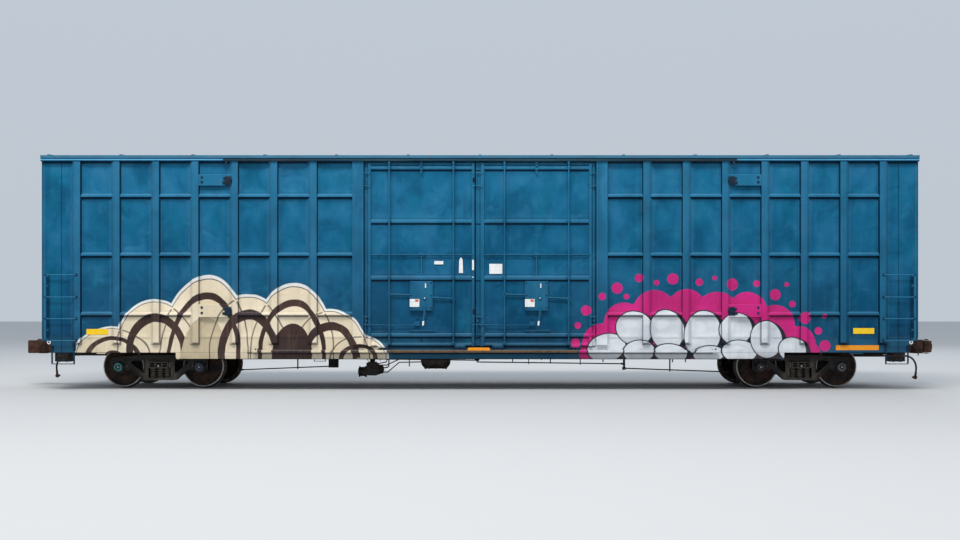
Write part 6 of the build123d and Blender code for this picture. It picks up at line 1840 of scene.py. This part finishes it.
def valve_mesh():
    m = Mesh()
    y = -0.520
    # bracket between the two portions, with its ribs
    m.box(-2.520, -2.330, y - 0.104, y + 0.104, 0.264, 0.556)
    m.box(-2.556, -2.516, y - 0.106, y + 0.106, 0.272, 0.548)
    m.box(-2.334, -2.294, y - 0.106, y + 0.106, 0.282, 0.538)
    for z in (0.300, 0.410, 0.520):
        m.box(-2.516, -2.334, y - 0.108, y + 0.108, z - 0.006, z + 0.006)
    m.lathe([(0, 0.02), (0.004, 0.070), (0.022, 0.100), (0.026, 0.121), (0.044, 0.123), (0.050, 0.103), (0.150, 0.105), (0.156, 0.123), (0.197, 0.123)], (-2.752, y, 0.350), (1, 0, 0), 32, closed=False)
    m.lathe([(0, 0.114), (0.024, 0.114), (0.030, 0.094), (0.085, 0.096), (0.108, 0.074), (0.124, 0.02)], (-2.292, y, 0.395), (1, 0, 0), 32, closed=False)
    for k in range(6):
        t = math.pi / 3 * k + 0.3
        m.bolt((-2.726, y + 0.111 * math.cos(t), 0.350 + 0.111 * math.sin(t)), (-1, 0, 0), 0.009, 0.010, mat=1)
        m.bolt((-2.268, y + 0.104 * math.cos(t), 0.395 + 0.104 * math.sin(t)), (1, 0, 0), 0.008, 0.009, mat=1)
    # hanger from the floor
    for x in (-2.474, -2.382):
        m.box(x - 0.006, x + 0.006, y - 0.058, y + 0.058, 0.550, 1.050)
    m.box(-2.480, -2.376, y - 0.006, y + 0.006, 0.550, 1.050)
    m.box(-2.520, -2.336, y - 0.090, y + 0.090, 0.554, 0.566)
    for dx in (-0.06, 0.06):
        m.cyl((-2.425 + dx, y - 0.102, 0.460), (-2.425 + dx, y - 0.118, 0.460), 0.030, 14, chamfer=0.003)
    return m


valve_mesh().make("valve_set", [BRAKE, BOLT], "car_body", "brake_steel", ("control_valve",))


def lever_gear_mesh():
    m = Mesh()
    for s, lx, lz in ((-1, -3.390, 0.400), (1, 3.270, 0.395)):
        y = s * -0.430
        m.prism([(lx - 0.018, lz - 0.012), (lx + 0.018, lz - 0.012), (lx + 0.023, lz + 0.050), (lx + 0.025, 0.760), (lx + 0.018, 1.050), (lx - 0.018, 1.050), (lx - 0.025, 0.760), (lx - 0.023, lz + 0.050)], "y", y - 0.010, y + 0.010)
        for z in (lz + 0.022, 0.740, 1.000):
            m.cyl((lx, y - 0.026, z), (lx, y + 0.026, z), 0.017, 14, mat=1, chamfer=0.003)
        a, b = Vector((lx + s * 0.035, y, lz + 0.022)), Vector((s * 5.650, y, 0.335))
        m.tube([a, b], 0.0138, 12)
        for dy in (-0.016, 0.016):
            m.box(lx - 0.040, lx + 0.040, y + dy - 0.005, y + dy + 0.005, lz - 0.012, lz + 0.048)
        d = (b - a).normalized()
        m.cyl(b - d * 0.060, b, 0.020, 12, chamfer=0.003)
        m.tube([(lx, y + s * 0.02, 0.740), (lx, y + s * 0.20, 0.74)], 0.011, 8)
        # hanger that guides the rod
        zr = (a + d * ((s * 4.31 - a.x) / d.x)).z
        m.box(s * 4.30, s * 4.32, y - 0.030, y - 0.022, zr - 0.030, 1.050)
        m.box(s * 4.30, s * 4.32, y + 0.022, y + 0.030, zr - 0.030, 1.050)
        m.box(s * 4.30, s * 4.32, y - 0.030, y + 0.030, zr - 0.036, zr - 0.028)
    # guide box of the left-hand lever
    m.box(-3.575, -3.350, 0.385, 0.400, 0.400, 0.590)
    m.box(-3.575, -3.350, 0.460, 0.475, 0.400, 0.590)
    m.box(-3.575, -3.560, 0.385, 0.475, 0.395, 1.050)
    m.box(-3.575, -3.350, 0.385, 0.475, 0.388, 0.400)
    # cross lever under the sill, driven by the cylinder, and the rods from it to the two body levers
    m.prism([(-0.120, 0.610), (-0.050, 0.610), (-0.010, 0.080), (-0.030, -0.480), (-0.090, -0.480), (-0.130, 0.080)], "z", 0.580, 0.596)
    m.cyl((-0.085, 0.560, 0.560), (-0.085, 0.560, 0.742), 0.016, 14, mat=1)
    for y, x1, z0, z1 in ((-0.430, 3.250, 0.560, 0.520), (0.430, -3.370, 0.560, 0.600)):
        sx = 1 if x1 > 0 else -1
        m.cyl((-0.060, y, 0.545), (-0.060, y, 0.612), 0.015, 14, mat=1)
        m.tube([(-0.060 + sx * 0.02, y, z0), (x1, y, z1)], 0.0135, 12)
        m.box(x1 - 0.045, x1 + 0.045, y - 0.020, y + 0.020, z1 - 0.022, z1 + 0.022)
        for k in (0.34, 0.70):
            x, z = x1 * k, z0 + (z1 - z0) * k
            m.box(x - 0.008, x + 0.008, y - 0.030, y - 0.020, z - 0.030, 1.050)
            m.box(x - 0.008, x + 0.008, y + 0.020, y + 0.030, z - 0.030, 1.050)
            m.box(x - 0.008, x + 0.008, y - 0.030, y + 0.030, z - 0.036, z - 0.028)
    return m


lever_gear_mesh().make("brake_lever_gear", [BRAKE, BOLT], "car_body", "brake_steel", ("brake_levers",))

# ------------------------------------------------------------------ brake hoses and their couplings
HOSE_D, HOSE_LENGTH = 0.041, 0.589
HOSE_ROUTE = (
    (0.0, 0.0, 0.695), (0.080, 0.0, 0.695), (0.1608, 0.002, 0.6687), (0.2302, 0.007, 0.6145),
    (0.2781, 0.012, 0.5407), (0.3009, 0.016, 0.4557), (0.3024, 0.019, 0.3707), (0.2929, 0.020, 0.2933),
)


def hose_object(name, pts):
    cu = bpy.data.curves.new(name, "CURVE")
    cu.dimensions = "3D"
    sp = cu.splines.new("NURBS")
    sp.points.add(len(pts) - 1)
    for p, q in zip(sp.points, pts):
        p.co = (q[0], q[1], q[2], 1.0)
    sp.order_u = 3
    sp.use_endpoint_u = True
    sp.resolution_u = 12
    cu.bevel_depth = HOSE_D / 2
    cu.bevel_resolution = 6
    cu.use_fill_caps = True
    cu.materials.append(RUBBER)
    ob = bpy.data.objects.new(name, cu)
    SCENE.collection.objects.link(ob)
    return ob


for end, s in (("a", -1), ("b", 1)):
    pts = [(s * (PIPE_END + 0.090 + x), s * (PIPE_Y + y), z) for x, y, z in HOSE_ROUTE]
    hose = hose_object("hose_" + end, pts)
    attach(hose, "car_body")
    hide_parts("brake_hose_" + end)
    m = Mesh()
    p, q = Vector(pts[-2]), Vector(pts[-1])
    d = (q - p).normalized()
    side = d.cross(Vector((0, 1, 0))).normalized() * s
    m.lathe([(-0.018, 0.0215), (-0.016, 0.0255), (0.004, 0.0255), (0.006, 0.0235), (0.030, 0.0235), (0.034, 0.0265), (0.060, 0.0265), (0.066, 0.020)], q, d, 24, closed=False)
    c = q + d * 0.092
    y0 = Vector((0, 1, 0))
    m.lathe([(-0.022, 0.030), (-0.018, 0.0425), (0.014, 0.0435), (0.021, 0.040), (0.0215, 0.028), (0.016, 0.026), (0.016, 0.002)], c, y0 * (-s if s > 0 else 1), 32, closed=False)
    m.lathe([(-0.015, 0.017), (-0.011, 0.0215), (0.011, 0.0215), (0.015, 0.017)], c - side * 0.048, y0, 20, closed=False)
    m.cyl(c - y0 * s * 0.020, c - y0 * s * 0.0205 + y0 * s * 0.002, 0.022, 20)
    # clamp band on the hose
    m.lathe([(-0.008, 0.0205), (-0.008, 0.0235), (0.008, 0.0235), (0.008, 0.0205)], q - d * 0.034, d, 24, mat=1)
    hand = m.make("coupling_" + end, [RUSTY, BOLT], "car_body", "cast_coupler", ("glad_hand_" + end,))
    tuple(pts[0])
    band = Mesh()
    band.lathe([(0.004, 0.0205), (0.004, 0.0245), (0.040, 0.0245), (0.040, 0.0205)], pts[0], (s, 0, 0), 24)
    band.make("hose_band_" + end, [BOLT], "car_body", "brake_steel")


# ------------------------------------------------------------------ trucks
def frame_outline():
    return [
        (-1.062, 0.425), (-1.062, 0.655), (-1.010, 0.690), (-0.800, 0.712), (-0.300, 0.750), (0.300, 0.750), (0.800, 0.712), (1.010, 0.690), (1.062, 0.655), (1.062, 0.425),
        (1.022, 0.425), (1.022, 0.645), (0.756, 0.645), (0.756, 0.405), (0.700, 0.405), (0.640, 0.440), (0.345, 0.190), (-0.345, 0.190), (-0.640, 0.440), (-0.700, 0.405), (-0.756, 0.405),
        (-0.756, 0.645), (-1.022, 0.645), (-1.022, 0.425),
    ]


def side_frame_mesh(tx):
    m = Half()
    shift = lambda poly: [(tx + x, z) for x, z in poly]
    small = lambda r, few: (lambda i: few.get(i, r))
    outer = fillet(shift(frame_outline()), lambda i: 0.012 if i in (0, 9, 10, 23) else (0.030 if i in (11, 12, 21, 22) else 0.060), 5)
    window = fillet(shift([(-0.246, 0.232), (0.246, 0.232), (0.246, 0.618), (-0.246, 0.618)]), 0.045, 5)
    holes = [window]
    for s in (-1, 1):
        hole = [(s * 0.330, 0.636), (s * 0.600, 0.616), (s * 0.640, 0.582), (s * 0.330, 0.325)]
        if s > 0:
            hole = hole[::-1]
        holes.append(fillet(shift(hole), 0.040, 5))
    ys = (-0.925, -1.078)
    plate(m, outer, holes, "y", -0.950, -1.052)
    rim(m, outer, 0.020, "y", *ys, c=0.006)
    for i, h in enumerate(holes):
        rim(m, h, 0.024 if i else 0.030, "y", *ys, c=0.007, inward=False)
    # spring seat: the heavy bottom of the window, with ribs below
    m.prism([(tx - 0.235, 0.196), (tx + 0.235, 0.196), (tx + 0.240, 0.236), (tx - 0.240, 0.236)], "y", ys[0] - 0.004, ys[1] + 0.004)
    for x in (-0.20, -0.07, 0.07, 0.20):
        m.prism([(tx + x - 0.008, 0.194), (tx + x + 0.008, 0.194), (tx + x + 0.008, 0.214), (tx + x - 0.008, 0.214)], "y", ys[0] - 0.010, ys[1] + 0.008)
    # window columns with guides and wear plates
    for s in (-1, 1):
        m.box(tx + s * 0.247, tx + s * 0.300, -0.932, -1.070, 0.300, 0.600)
        m.box(tx + s * 0.236, tx + s * 0.250, -0.940, -1.062, 0.455, 0.612)
        for z in (0.490, 0.575):
            m.bolt((tx + s * 0.284, -1.070, z), (0, -1, 0), 0.012, 0.010, mat=1)
        # pedestal roof over the bearing, jaw faces and the lug for the brake beam guide
        m.box(tx + s * 0.765, tx + s * 1.014, -0.930, -1.073, 0.648, 0.668)
        m.box(tx + s * 0.752, tx + s * 0.764, -0.938, -1.066, 0.440, 0.640)
        m.box(tx + s * 1.014, tx + s * 1.024, -0.938, -1.066, 0.440, 0.640)
        m.bolt((tx + s * 0.726, -1.052, 0.500), (0, -1, 0), 0.016, 0.012, mat=1)
        # stiffening rib along the sloping arm and the round bosses of the casting
        m.prism([(tx + s * 0.400, 0.300), (tx + s * 0.412, 0.284), (tx + s * 0.672, 0.500), (tx + s * 0.660, 0.516)], "y", -1.050, -1.066)
        m.cyl((tx + s * 0.700, -1.050, 0.640), (tx + s * 0.700, -1.066, 0.640), 0.028, 20, chamfer=0.004)
        m.cyl((tx + s * 0.470, -1.050, 0.690), (tx + s * 0.470, -1.062, 0.690), 0.016, 16, chamfer=0.003)
    # raised bare pad on the top chord
    m.prism(fillet([(tx - 0.120, 0.662), (tx + 0.120, 0.662), (tx + 0.120, 0.722), (tx - 0.120, 0.722)], 0.014, 3), "y", -1.050, -1.060)
    return m


def bolster_mesh(tx):
    m = Mesh()
    pts = [(-0.905, 0.462), (-0.905, 0.604), (-0.860, 0.612), (-0.620, 0.650), (0.620, 0.650), (0.860, 0.612), (0.905, 0.604), (0.905, 0.462), (0.560, 0.400), (-0.560, 0.400)]
    for i, (a, b) in enumerate(((-0.212, -0.176), (0.176, 0.212))):
        m.prism(pts, "x", tx + a, tx + b)
    m.prism([(p[0], p[1]) for p in [(-0.905, 0.585), (-0.905, 0.604), (-0.860, 0.612), (-0.620, 0.650), (0.620, 0.650), (0.860, 0.612), (0.905, 0.604), (0.905, 0.585), (0.620, 0.626), (-0.620, 0.626)]], "x", tx - 0.208, tx + 0.208)
    m.prism([(-0.905, 0.462), (-0.560, 0.400), (0.560, 0.400), (0.905, 0.462), (0.905, 0.484), (0.560, 0.424), (-0.560, 0.424), (-0.905, 0.484)], "x", tx - 0.208, tx + 0.208)
    for x in (-0.06, 0.06):
        m.prism([(-0.88, 0.470), (-0.56, 0.410), (0.56, 0.410), (0.88, 0.470), (0.88, 0.590), (0.62, 0.640), (-0.62, 0.640), (-0.88, 0.590)], "x", tx + x - 0.010, tx + x + 0.010)
    for side in (-1, 1):
        yo, yi = side * 1.150, side * 0.880
        # end of the bolster: an open box with ribs, its gibs and the friction wedges beside it
        m.box(tx - 0.208, tx + 0.208, yi, yo, 0.578, 0.598)
        m.box(tx - 0.208, tx + 0.208, yi, yo, 0.470, 0.488)
        m.box(tx - 0.200, tx + 0.200, yi, side * 1.146, 0.528, 0.540)
        for x in (-0.200, -0.072, 0.072, 0.200):
            m.box(tx + x - 0.009, tx + x + 0.009, yi, side * 1.148, 0.476, 0.592)
        m.box(tx - 0.200, tx + 0.200, yi, side * 0.905, 0.474, 0.594)
        for s in (-1, 1):
            m.box(tx + s * 0.205, tx + s * 0.262, side * 1.084, side * 1.118, 0.478, 0.592)
            m.prism([(tx + s * 0.206, 0.462), (tx + s * 0.235, 0.462), (tx + s * 0.235, 0.600), (tx + s * 0.212, 0.600)], "y", side * 0.935, side * 1.066)
        m.cyl((tx, side * 1.140, 0.508), (tx, side * 1.150, 0.508), 0.014, 14, mat=2, chamfer=0.002)
        # side bearing: cage and roller block on the bolster
        m.box(tx - 0.130, tx + 0.130, side * 0.560, side * 0.700, 0.640, 0.664)
        m.box(tx - 0.118, tx + 0.118, side * 0.566, side * 0.578, 0.660, 0.688)
        m.box(tx - 0.118, tx + 0.118, side * 0.682, side * 0.694, 0.660, 0.688)
        for dx in (-0.07, 0.0, 0.07):
            m.cyl((tx + dx, side * 0.580, 0.672), (tx + dx, side * 0.680, 0.672), 0.019, 14, mat=1)
    m.lathe([(0.630, 0.205), (0.700, 0.205), (0.700, 0.182), (0.6795, 0.180), (0.6795, 0.020), (0.630, 0.020)], (tx, 0, 0), (0, 0, 1), 56)
    return m


def coil(m, x, y, z0, z1, r, wire, turns, n=20, k=8, mat=0):
    """coil spring with its end turns laid flat"""
    total = turns + 1.5
    steps = int(total * n)
    pts = []
    for i in range(steps + 1):
        t = i / n
        a = 2 * math.pi * t
        if t < 0.75:
            h = 0.0
        elif t > total - 0.75:
            h = 1.0
        else:
            h = (t - 0.75) / (total - 1.5)
        pts.append((x + r * math.cos(a), y + r * math.sin(a), z0 + wire + h * (z1 - z0 - 2 * wire)))
    m.tube(pts, wire, k, mat)


def springs_mesh(tx):
    m = Mesh()
    for side in (-1, 1):
        for dx in (-0.158, 0.0, 0.158):
            y = side * 1.0015
            coil(m, tx + dx, y, 0.236, 0.470, 0.0545, 0.0165, 4.0)
            m.cyl((tx + dx, y, 0.240), (tx + dx, y, 0.466), 0.030, 14)
            # inner row, between the frame and the bolster's root
            coil(m, tx + dx, side * 0.850, 0.236, 0.470, 0.0545, 0.0165, 4.0, n=14, k=6)
        m.box(tx - 0.238, tx + 0.238, side * 0.780, side * 0.926, 0.206, 0.238)
    return m


def bearings_mesh(tx):
    m = Mesh()
    for s in (-1, 1):
        ax = tx + s * HALF_AXLES
        for side in (-1, 1):
            m.lathe([(0.905, 0.0805), (0.905, 0.108), (0.915, 0.112), (0.915, 0.122), (0.990, 0.1235), (1.012, 0.1235), (1.012, 0.119), (1.024, 0.119), (1.024, 0.1235), (1.084, 0.1225), (1.088, 0.112), (1.100, 0.108), (1.100, 0.0805)], (ax, 0, AXLE_Z), (0, side, 0), 56)
            # adapter: a saddle between the bearing and the pedestal roof
            arc = [(ax + 0.126 * math.sin(t), AXLE_Z + 0.1265 * math.cos(t)) for t in (math.radians(-62 + 124 * i / 12) for i in range(13))]
            m.prism(arc + [(ax + 0.118, 0.600), (ax + 0.118, 0.632), (ax - 0.118, 0.632), (ax - 0.118, 0.600)], "y", side * 0.936, side * 1.068)
            m.box(ax - 0.124, ax + 0.124, side * 0.930, side * 1.073, 0.628, 0.643)
            for dx in (-0.100, 0.100):
                m.box(ax + dx - 0.016, ax + dx + 0.016, side * 1.060, side * 1.076, 0.590, 0.640)
    return m


def beams_mesh(tx):
    m = Mesh()
    for s in (-1, 1):
        x = tx + s * 0.330
        # channel beam with a strut at its middle
        m.prism([(x - 0.030, 0.330), (x + 0.030, 0.330), (x + 0.030, 0.344), (x - s * 0.0 - 0.016 * -s, 0.344), (x + 0.016 * s, 0.386), (x + 0.030, 0.386), (x + 0.030, 0.400), (x - 0.030, 0.400), (x - 0.030, 0.386), (x - 0.004, 0.386), (x - 0.004, 0.344), (x - 0.030, 0.344)] if s < 0 else
                [(x - 0.030, 0.330), (x + 0.030, 0.330), (x + 0.030, 0.344), (x + 0.004, 0.344), (x + 0.004, 0.386), (x + 0.030, 0.386), (x + 0.030, 0.400), (x - 0.030, 0.400), (x - 0.030, 0.386), (x - 0.016, 0.386), (x - 0.016, 0.344), (x - 0.030, 0.344)], "y", -0.720, 0.720)
        m.prism([(x - s * 0.030, 0.336), (x - s * 0.100, 0.344), (x - s * 0.100, 0.466), (x - s * 0.080, 0.466), (x - s * 0.030, 0.396)], "y", -0.036, 0.036)
        m.cyl((x - s * 0.086, -0.044, 0.440), (x - s * 0.086, 0.044, 0.440), 0.016, 14, mat=1)
        for side in (-1, 1):
            cx, cz = tx + s * HALF_AXLES, AXLE_Z
            r0 = TREAD_R + 0.0145
            # shoe follows the tread, head behind it
            a0, a1 = math.atan2(0.306 - cz, -0.50), math.atan2(0.474 - cz, -0.44)
            lo, hi = -0.185, 0.010
            def arc(r, a, b, n=10):
                out = []
                for i in range(n + 1):
                    zz = a + (b - a) * i / n
                    dx = math.sqrt(max(r * r - (zz - (cz)) ** 2, 0.0))
                    out.append((cx - s * dx, zz))
                return out
            inner = arc(r0, 0.306, 0.474)
            back = arc(r0 + 0.038, 0.474, 0.306)
            m.prism(inner + back, "y", side * 0.722, side * 0.794)
            hb = arc(r0 + 0.038, 0.330, 0.452, 6)
            m.prism(hb + [(x + s * 0.020, 0.440), (x - s * 0.026, 0.418), (x - s * 0.026, 0.326)], "y", side * 0.720, side * 0.780)
            m.box(x - 0.028, x + 0.028, side * 0.780, side * 0.918, 0.349, 0.381)
            m.box(x - 0.030, x + 0.030, side * 0.716, side * 0.724, 0.334, 0.396)
    return m


SEGMENTS = 96
WHEEL = (  # distance from the centreline, radius, material of the stretch that follows: 0 plate, 1 rim, 2 bright edge, 3 tread
    (0.680, 0.385, 1), (0.680, 0.4660, 1), (0.6830, 0.4740, 1), (0.688, 0.4825, 3), (0.7000, 0.4825, 3), (0.7060, 0.4780, 3), (0.712, 0.4680, 3), (0.7180, 0.4610, 3), (0.726, 0.4572, 3), (0.770, 0.4546, 3),
    (0.814, 0.4520, 2), (0.8195, 0.4485, 2), (0.822, 0.4430, 2), (0.822, 0.4300, 0), (0.822, 0.4050, 0), (0.8205, 0.3930, 0), (0.814, 0.3850, 0), (0.800, 0.3790, 0), (0.7930, 0.3660, 0), (0.7905, 0.3380, 0), (0.7900, 0.3000, 0), (0.7940, 0.2500, 0),
    (0.8060, 0.1980, 0), (0.8220, 0.1700, 0), (0.848, 0.1510, 0), (0.858, 0.1470, 0), (0.862, 0.1420, 0), (0.862, 0.1100, 0),
    (0.668, 0.1100, 0), (0.668, 0.1430, 0), (0.673, 0.1480, 0), (0.688, 0.1570, 0), (0.730, 0.1720, 0), (0.758, 0.2000, 0), (0.766, 0.2500, 0), (0.754, 0.3050, 0), (0.726, 0.3520, 0), (0.712, 0.3680, 0), (0.690, 0.3760, 1),
)


def wheels_mesh(ax):
    m = Mesh()
    for side in (-1, 1):
        n = SEGMENTS
        o, a, b = Vector((ax, 0, AXLE_Z)), Vector((1, 0, 0)), Vector((0, 0, 1))
        v = []
        for y, r, _ in WHEEL:
            v += [o + Vector((0, side * y, 0)) + (a * math.cos(t) + b * math.sin(t)) * r for t in (2 * math.pi * i / n for i in range(n))]
        base = len(m.v)
        m.v.extend(tuple(p) for p in v)
        k = len(WHEEL)
        for q in range(k):
            for i in range(n):
                j = (i + 1) % n
                m.f.append((base + q * n + i, base + q * n + j, base + ((q + 1) % k) * n + j, base + ((q + 1) % k) * n + i))
                m.m.append(WHEEL[q][2])
    return m


def axle_mesh(ax):
    m = Mesh()
    for side in (-1, 1):
        y = lambda t: side * t
        prof = [(0.0, 0.091), (0.20, 0.0905), (0.560, 0.092), (0.630, 0.101), (0.662, 0.106), (0.668, 0.109), (0.862, 0.109), (0.866, 0.104), (0.880, 0.099), (0.897, 0.099), (0.900, 0.0795), (1.104, 0.0795)]
        m.lathe(prof, (ax, 0, AXLE_Z), (0, side, 0), 48, 0, closed=False)
        # end cap: a ring with three bolts round a low centre
        m.lathe([(1.104, 0.070), (1.106, 0.089), (1.112, 0.0915), (1.132, 0.0915), (1.139, 0.088), (1.142, 0.080)], (ax, 0, AXLE_Z), (0, side, 0), 48, 1, closed=False)
        m.lathe([(1.138, 0.088), (1.1455, 0.085), (1.1455, 0.062), (1.138, 0.058)], (ax, 0, AXLE_Z), (0, side, 0), 48, 1)
        m.cyl((ax, side * 1.1405, AXLE_Z), (ax, side * 1.1425, AXLE_Z), 0.058, 40, mat=4)
        for k in range(3):
            t = math.radians(90 + 120 * k + (17 if side > 0 else 31))
            m.bolt((ax + 0.040 * math.cos(t), side * 1.1415, AXLE_Z + 0.040 * math.sin(t)), (0, side, 0), 0.0135, 0.008, mat=2)
        m.cyl((ax, side * 1.140, AXLE_Z), (ax, side * 1.1445, AXLE_Z), 0.012, 16, mat=3)
    return m


for truck, s in (("a", -1), ("b", 1)):
    body, tx = "truck_" + truck, s * TRUCK_X
    near = side_frame_mesh(0.0)
    both = Mesh()
    extend(both, near)
    extend(both, near.turned(1))
    both.v = [(x + tx, y, z) for x, y, z in both.v]
    both.make(body + "_castings", [CAST, BOLT], body, "cast_truck", (body + "_side_frames",))
    bolster_mesh(tx).make(body + "_bolster_box", [CAST, RIM, WHITE], body, "cast_truck", (body + "_bolster",))
    springs_mesh(tx).make(body + "_coils", [COIL], body, "spring_steel", (body + "_springs",))
    bearings_mesh(tx).make(body + "_adapters", [BOX_DARK], body, "bearing_steel", (body + "_bearings",))
    beams_mesh(tx).make(body + "_brake_rigging", [BRAKE, BOLT], body, "cast_truck", (body + "_brake_beams",))
    for k, dx in enumerate((-HALF_AXLES, HALF_AXLES)):
        number = (1 if s < 0 else 3) + k
        ws = "wheelset_%d" % number
        wheels_mesh(tx + dx).make(ws + "_discs", [PLATE, RIM, TREAD, RUNNING], ws, "wheel_steel", ("wheels_%d" % number,), sharp=32)
        axle_mesh(tx + dx).make(ws + "_shaft", [AXLE, {1: CAP_TEAL, 2: CAP_BLUE, 3: CAP_DARK, 4: CAP_GREY}[number], BOLT, WHITE, CAP_DARK], ws, "axle_steel", ("axle_%d" % number,))


# ------------------------------------------------------------------ blank plates and reflective strips
def tag(m, x0, x1, z0, z1, out, mat=0, t=0.0016):
    m.prism([(x0, z0), (x1, z0), (x1, z1), (x0, z1)], "y", -out + 0.0006, -out - t, mat)


def decals_mesh():
    m = Half()
    p = PANEL_OUT
    # reflective strips on the side, in pairs by the ends
    tag(m, -8.465, -7.997, 1.201, 1.323, p + 0.001, 1)
    tag(m, 8.025, 8.478, 1.218, 1.342, p + 0.001, 1)
    tag(m, 7.655, 8.577, 0.867, 0.972, p, 2)
    # blank marks on the doors
    m.prism([(-0.454, 2.525), (-0.364, 2.525), (-0.372, 2.800), (-0.394, 2.855), (-0.424, 2.855), (-0.446, 2.800)], "y", -DOOR_SKIN - 0.0004, -DOOR_SKIN - 0.0100, 0)
    tag(m, -0.170, -0.130, 2.588, 2.808, DOOR_FRAME, 0)
    tag(m, -0.163, -0.139, 2.424, 2.448, DOOR_FRAME, 0)
    tag(m, -0.983, -0.788, 2.711, 2.782, DOOR_SKIN + 0.0065, 0)
    tag(m, 0.200, 0.480, 2.508, 2.722, DOOR_SKIN + 0.0065, 0, 0.003)
    for cx, _ in DOORS.values():
        tag(m, cx - 0.248, cx - 0.042, 1.798, 1.965, 1.580, 0)
        m.prism([(cx - 0.130, 1.905), (cx - 0.060, 1.905), (cx - 0.060, 1.955), (cx - 0.130, 1.955)], "y", -1.5812, -1.5824, 3)
    return m


decals = decals_mesh()
both = Mesh()
extend(both, decals)
extend(both, decals.turned(1))
both.make("blank_plates", [WHITE, YELLOW, ORANGE, RED_TAG], "car_body", "body_paint")

# ------------------------------------------------------------------ stage and light
floor_mesh = bpy.data.meshes.new("stage_floor")
floor_mesh.from_pydata([(-500, -400, 0), (500, -400, 0), (500, 600, 0), (-500, 600, 0)], [], [(0, 1, 2, 3)])
stage = bpy.data.objects.new("stage_floor", floor_mesh)
SCENE.collection.objects.link(stage)
mat = bpy.data.materials.new("stage_grey")
mat.use_nodes = True
bsdf = mat.node_tree.nodes["Principled BSDF"]
bsdf.inputs["Base Color"].default_value = (0.56, 0.56, 0.555, 1)
bsdf.inputs["Roughness"].default_value = 0.9
floor_mesh.materials.append(mat)

world = bpy.data.worlds.new("soft_sky")
SCENE.world = world
world.use_nodes = True
wn = world.node_tree
bg = wn.nodes["Background"]
wtc = wn.nodes.new("ShaderNodeTexCoord")
wsep = wn.nodes.new("ShaderNodeSeparateXYZ")
wramp = wn.nodes.new("ShaderNodeMapRange")
wmix = wn.nodes.new("ShaderNodeMix")
wmix.data_type = "RGBA"
wramp.inputs["From Min"].default_value, wramp.inputs["From Max"].default_value = 0.02, 0.95
wn.links.new(wtc.outputs["Generated"], wsep.inputs[0])
wn.links.new(wsep.outputs[2], wramp.inputs["Value"])
wn.links.new(wramp.outputs[0], wmix.inputs[0])
wmix.inputs[6].default_value = (0.565, 0.625, 0.69, 1)
wmix.inputs[7].default_value = (0.60, 0.67, 0.77, 1)
wn.links.new(wmix.outputs[2], bg.inputs["Color"])
bg.inputs["Strength"].default_value = 0.92


def area(name, at, to, size, power, color=(1, 1, 1)):
    data = bpy.data.lights.new(name, "AREA")
    data.shape = "RECTANGLE"
    data.size, data.size_y = size
    data.energy = power
    data.color = color
    ob = bpy.data.objects.new(name, data)
    SCENE.collection.objects.link(ob)
    ob.location = at
    ob.rotation_euler = (Vector(to) - Vector(at)).to_track_quat("-Z", "Y").to_euler()
    return ob


area("key_above", (-5.0, -17.5, 29.0), (0, 0, 2.4), (20, 6), 8600, (1.0, 0.98, 0.95))
area("fill_back", (6.0, 26.0, 20.0), (0, 0, 2.6), (30, 12), 3000, (0.94, 0.97, 1.0))
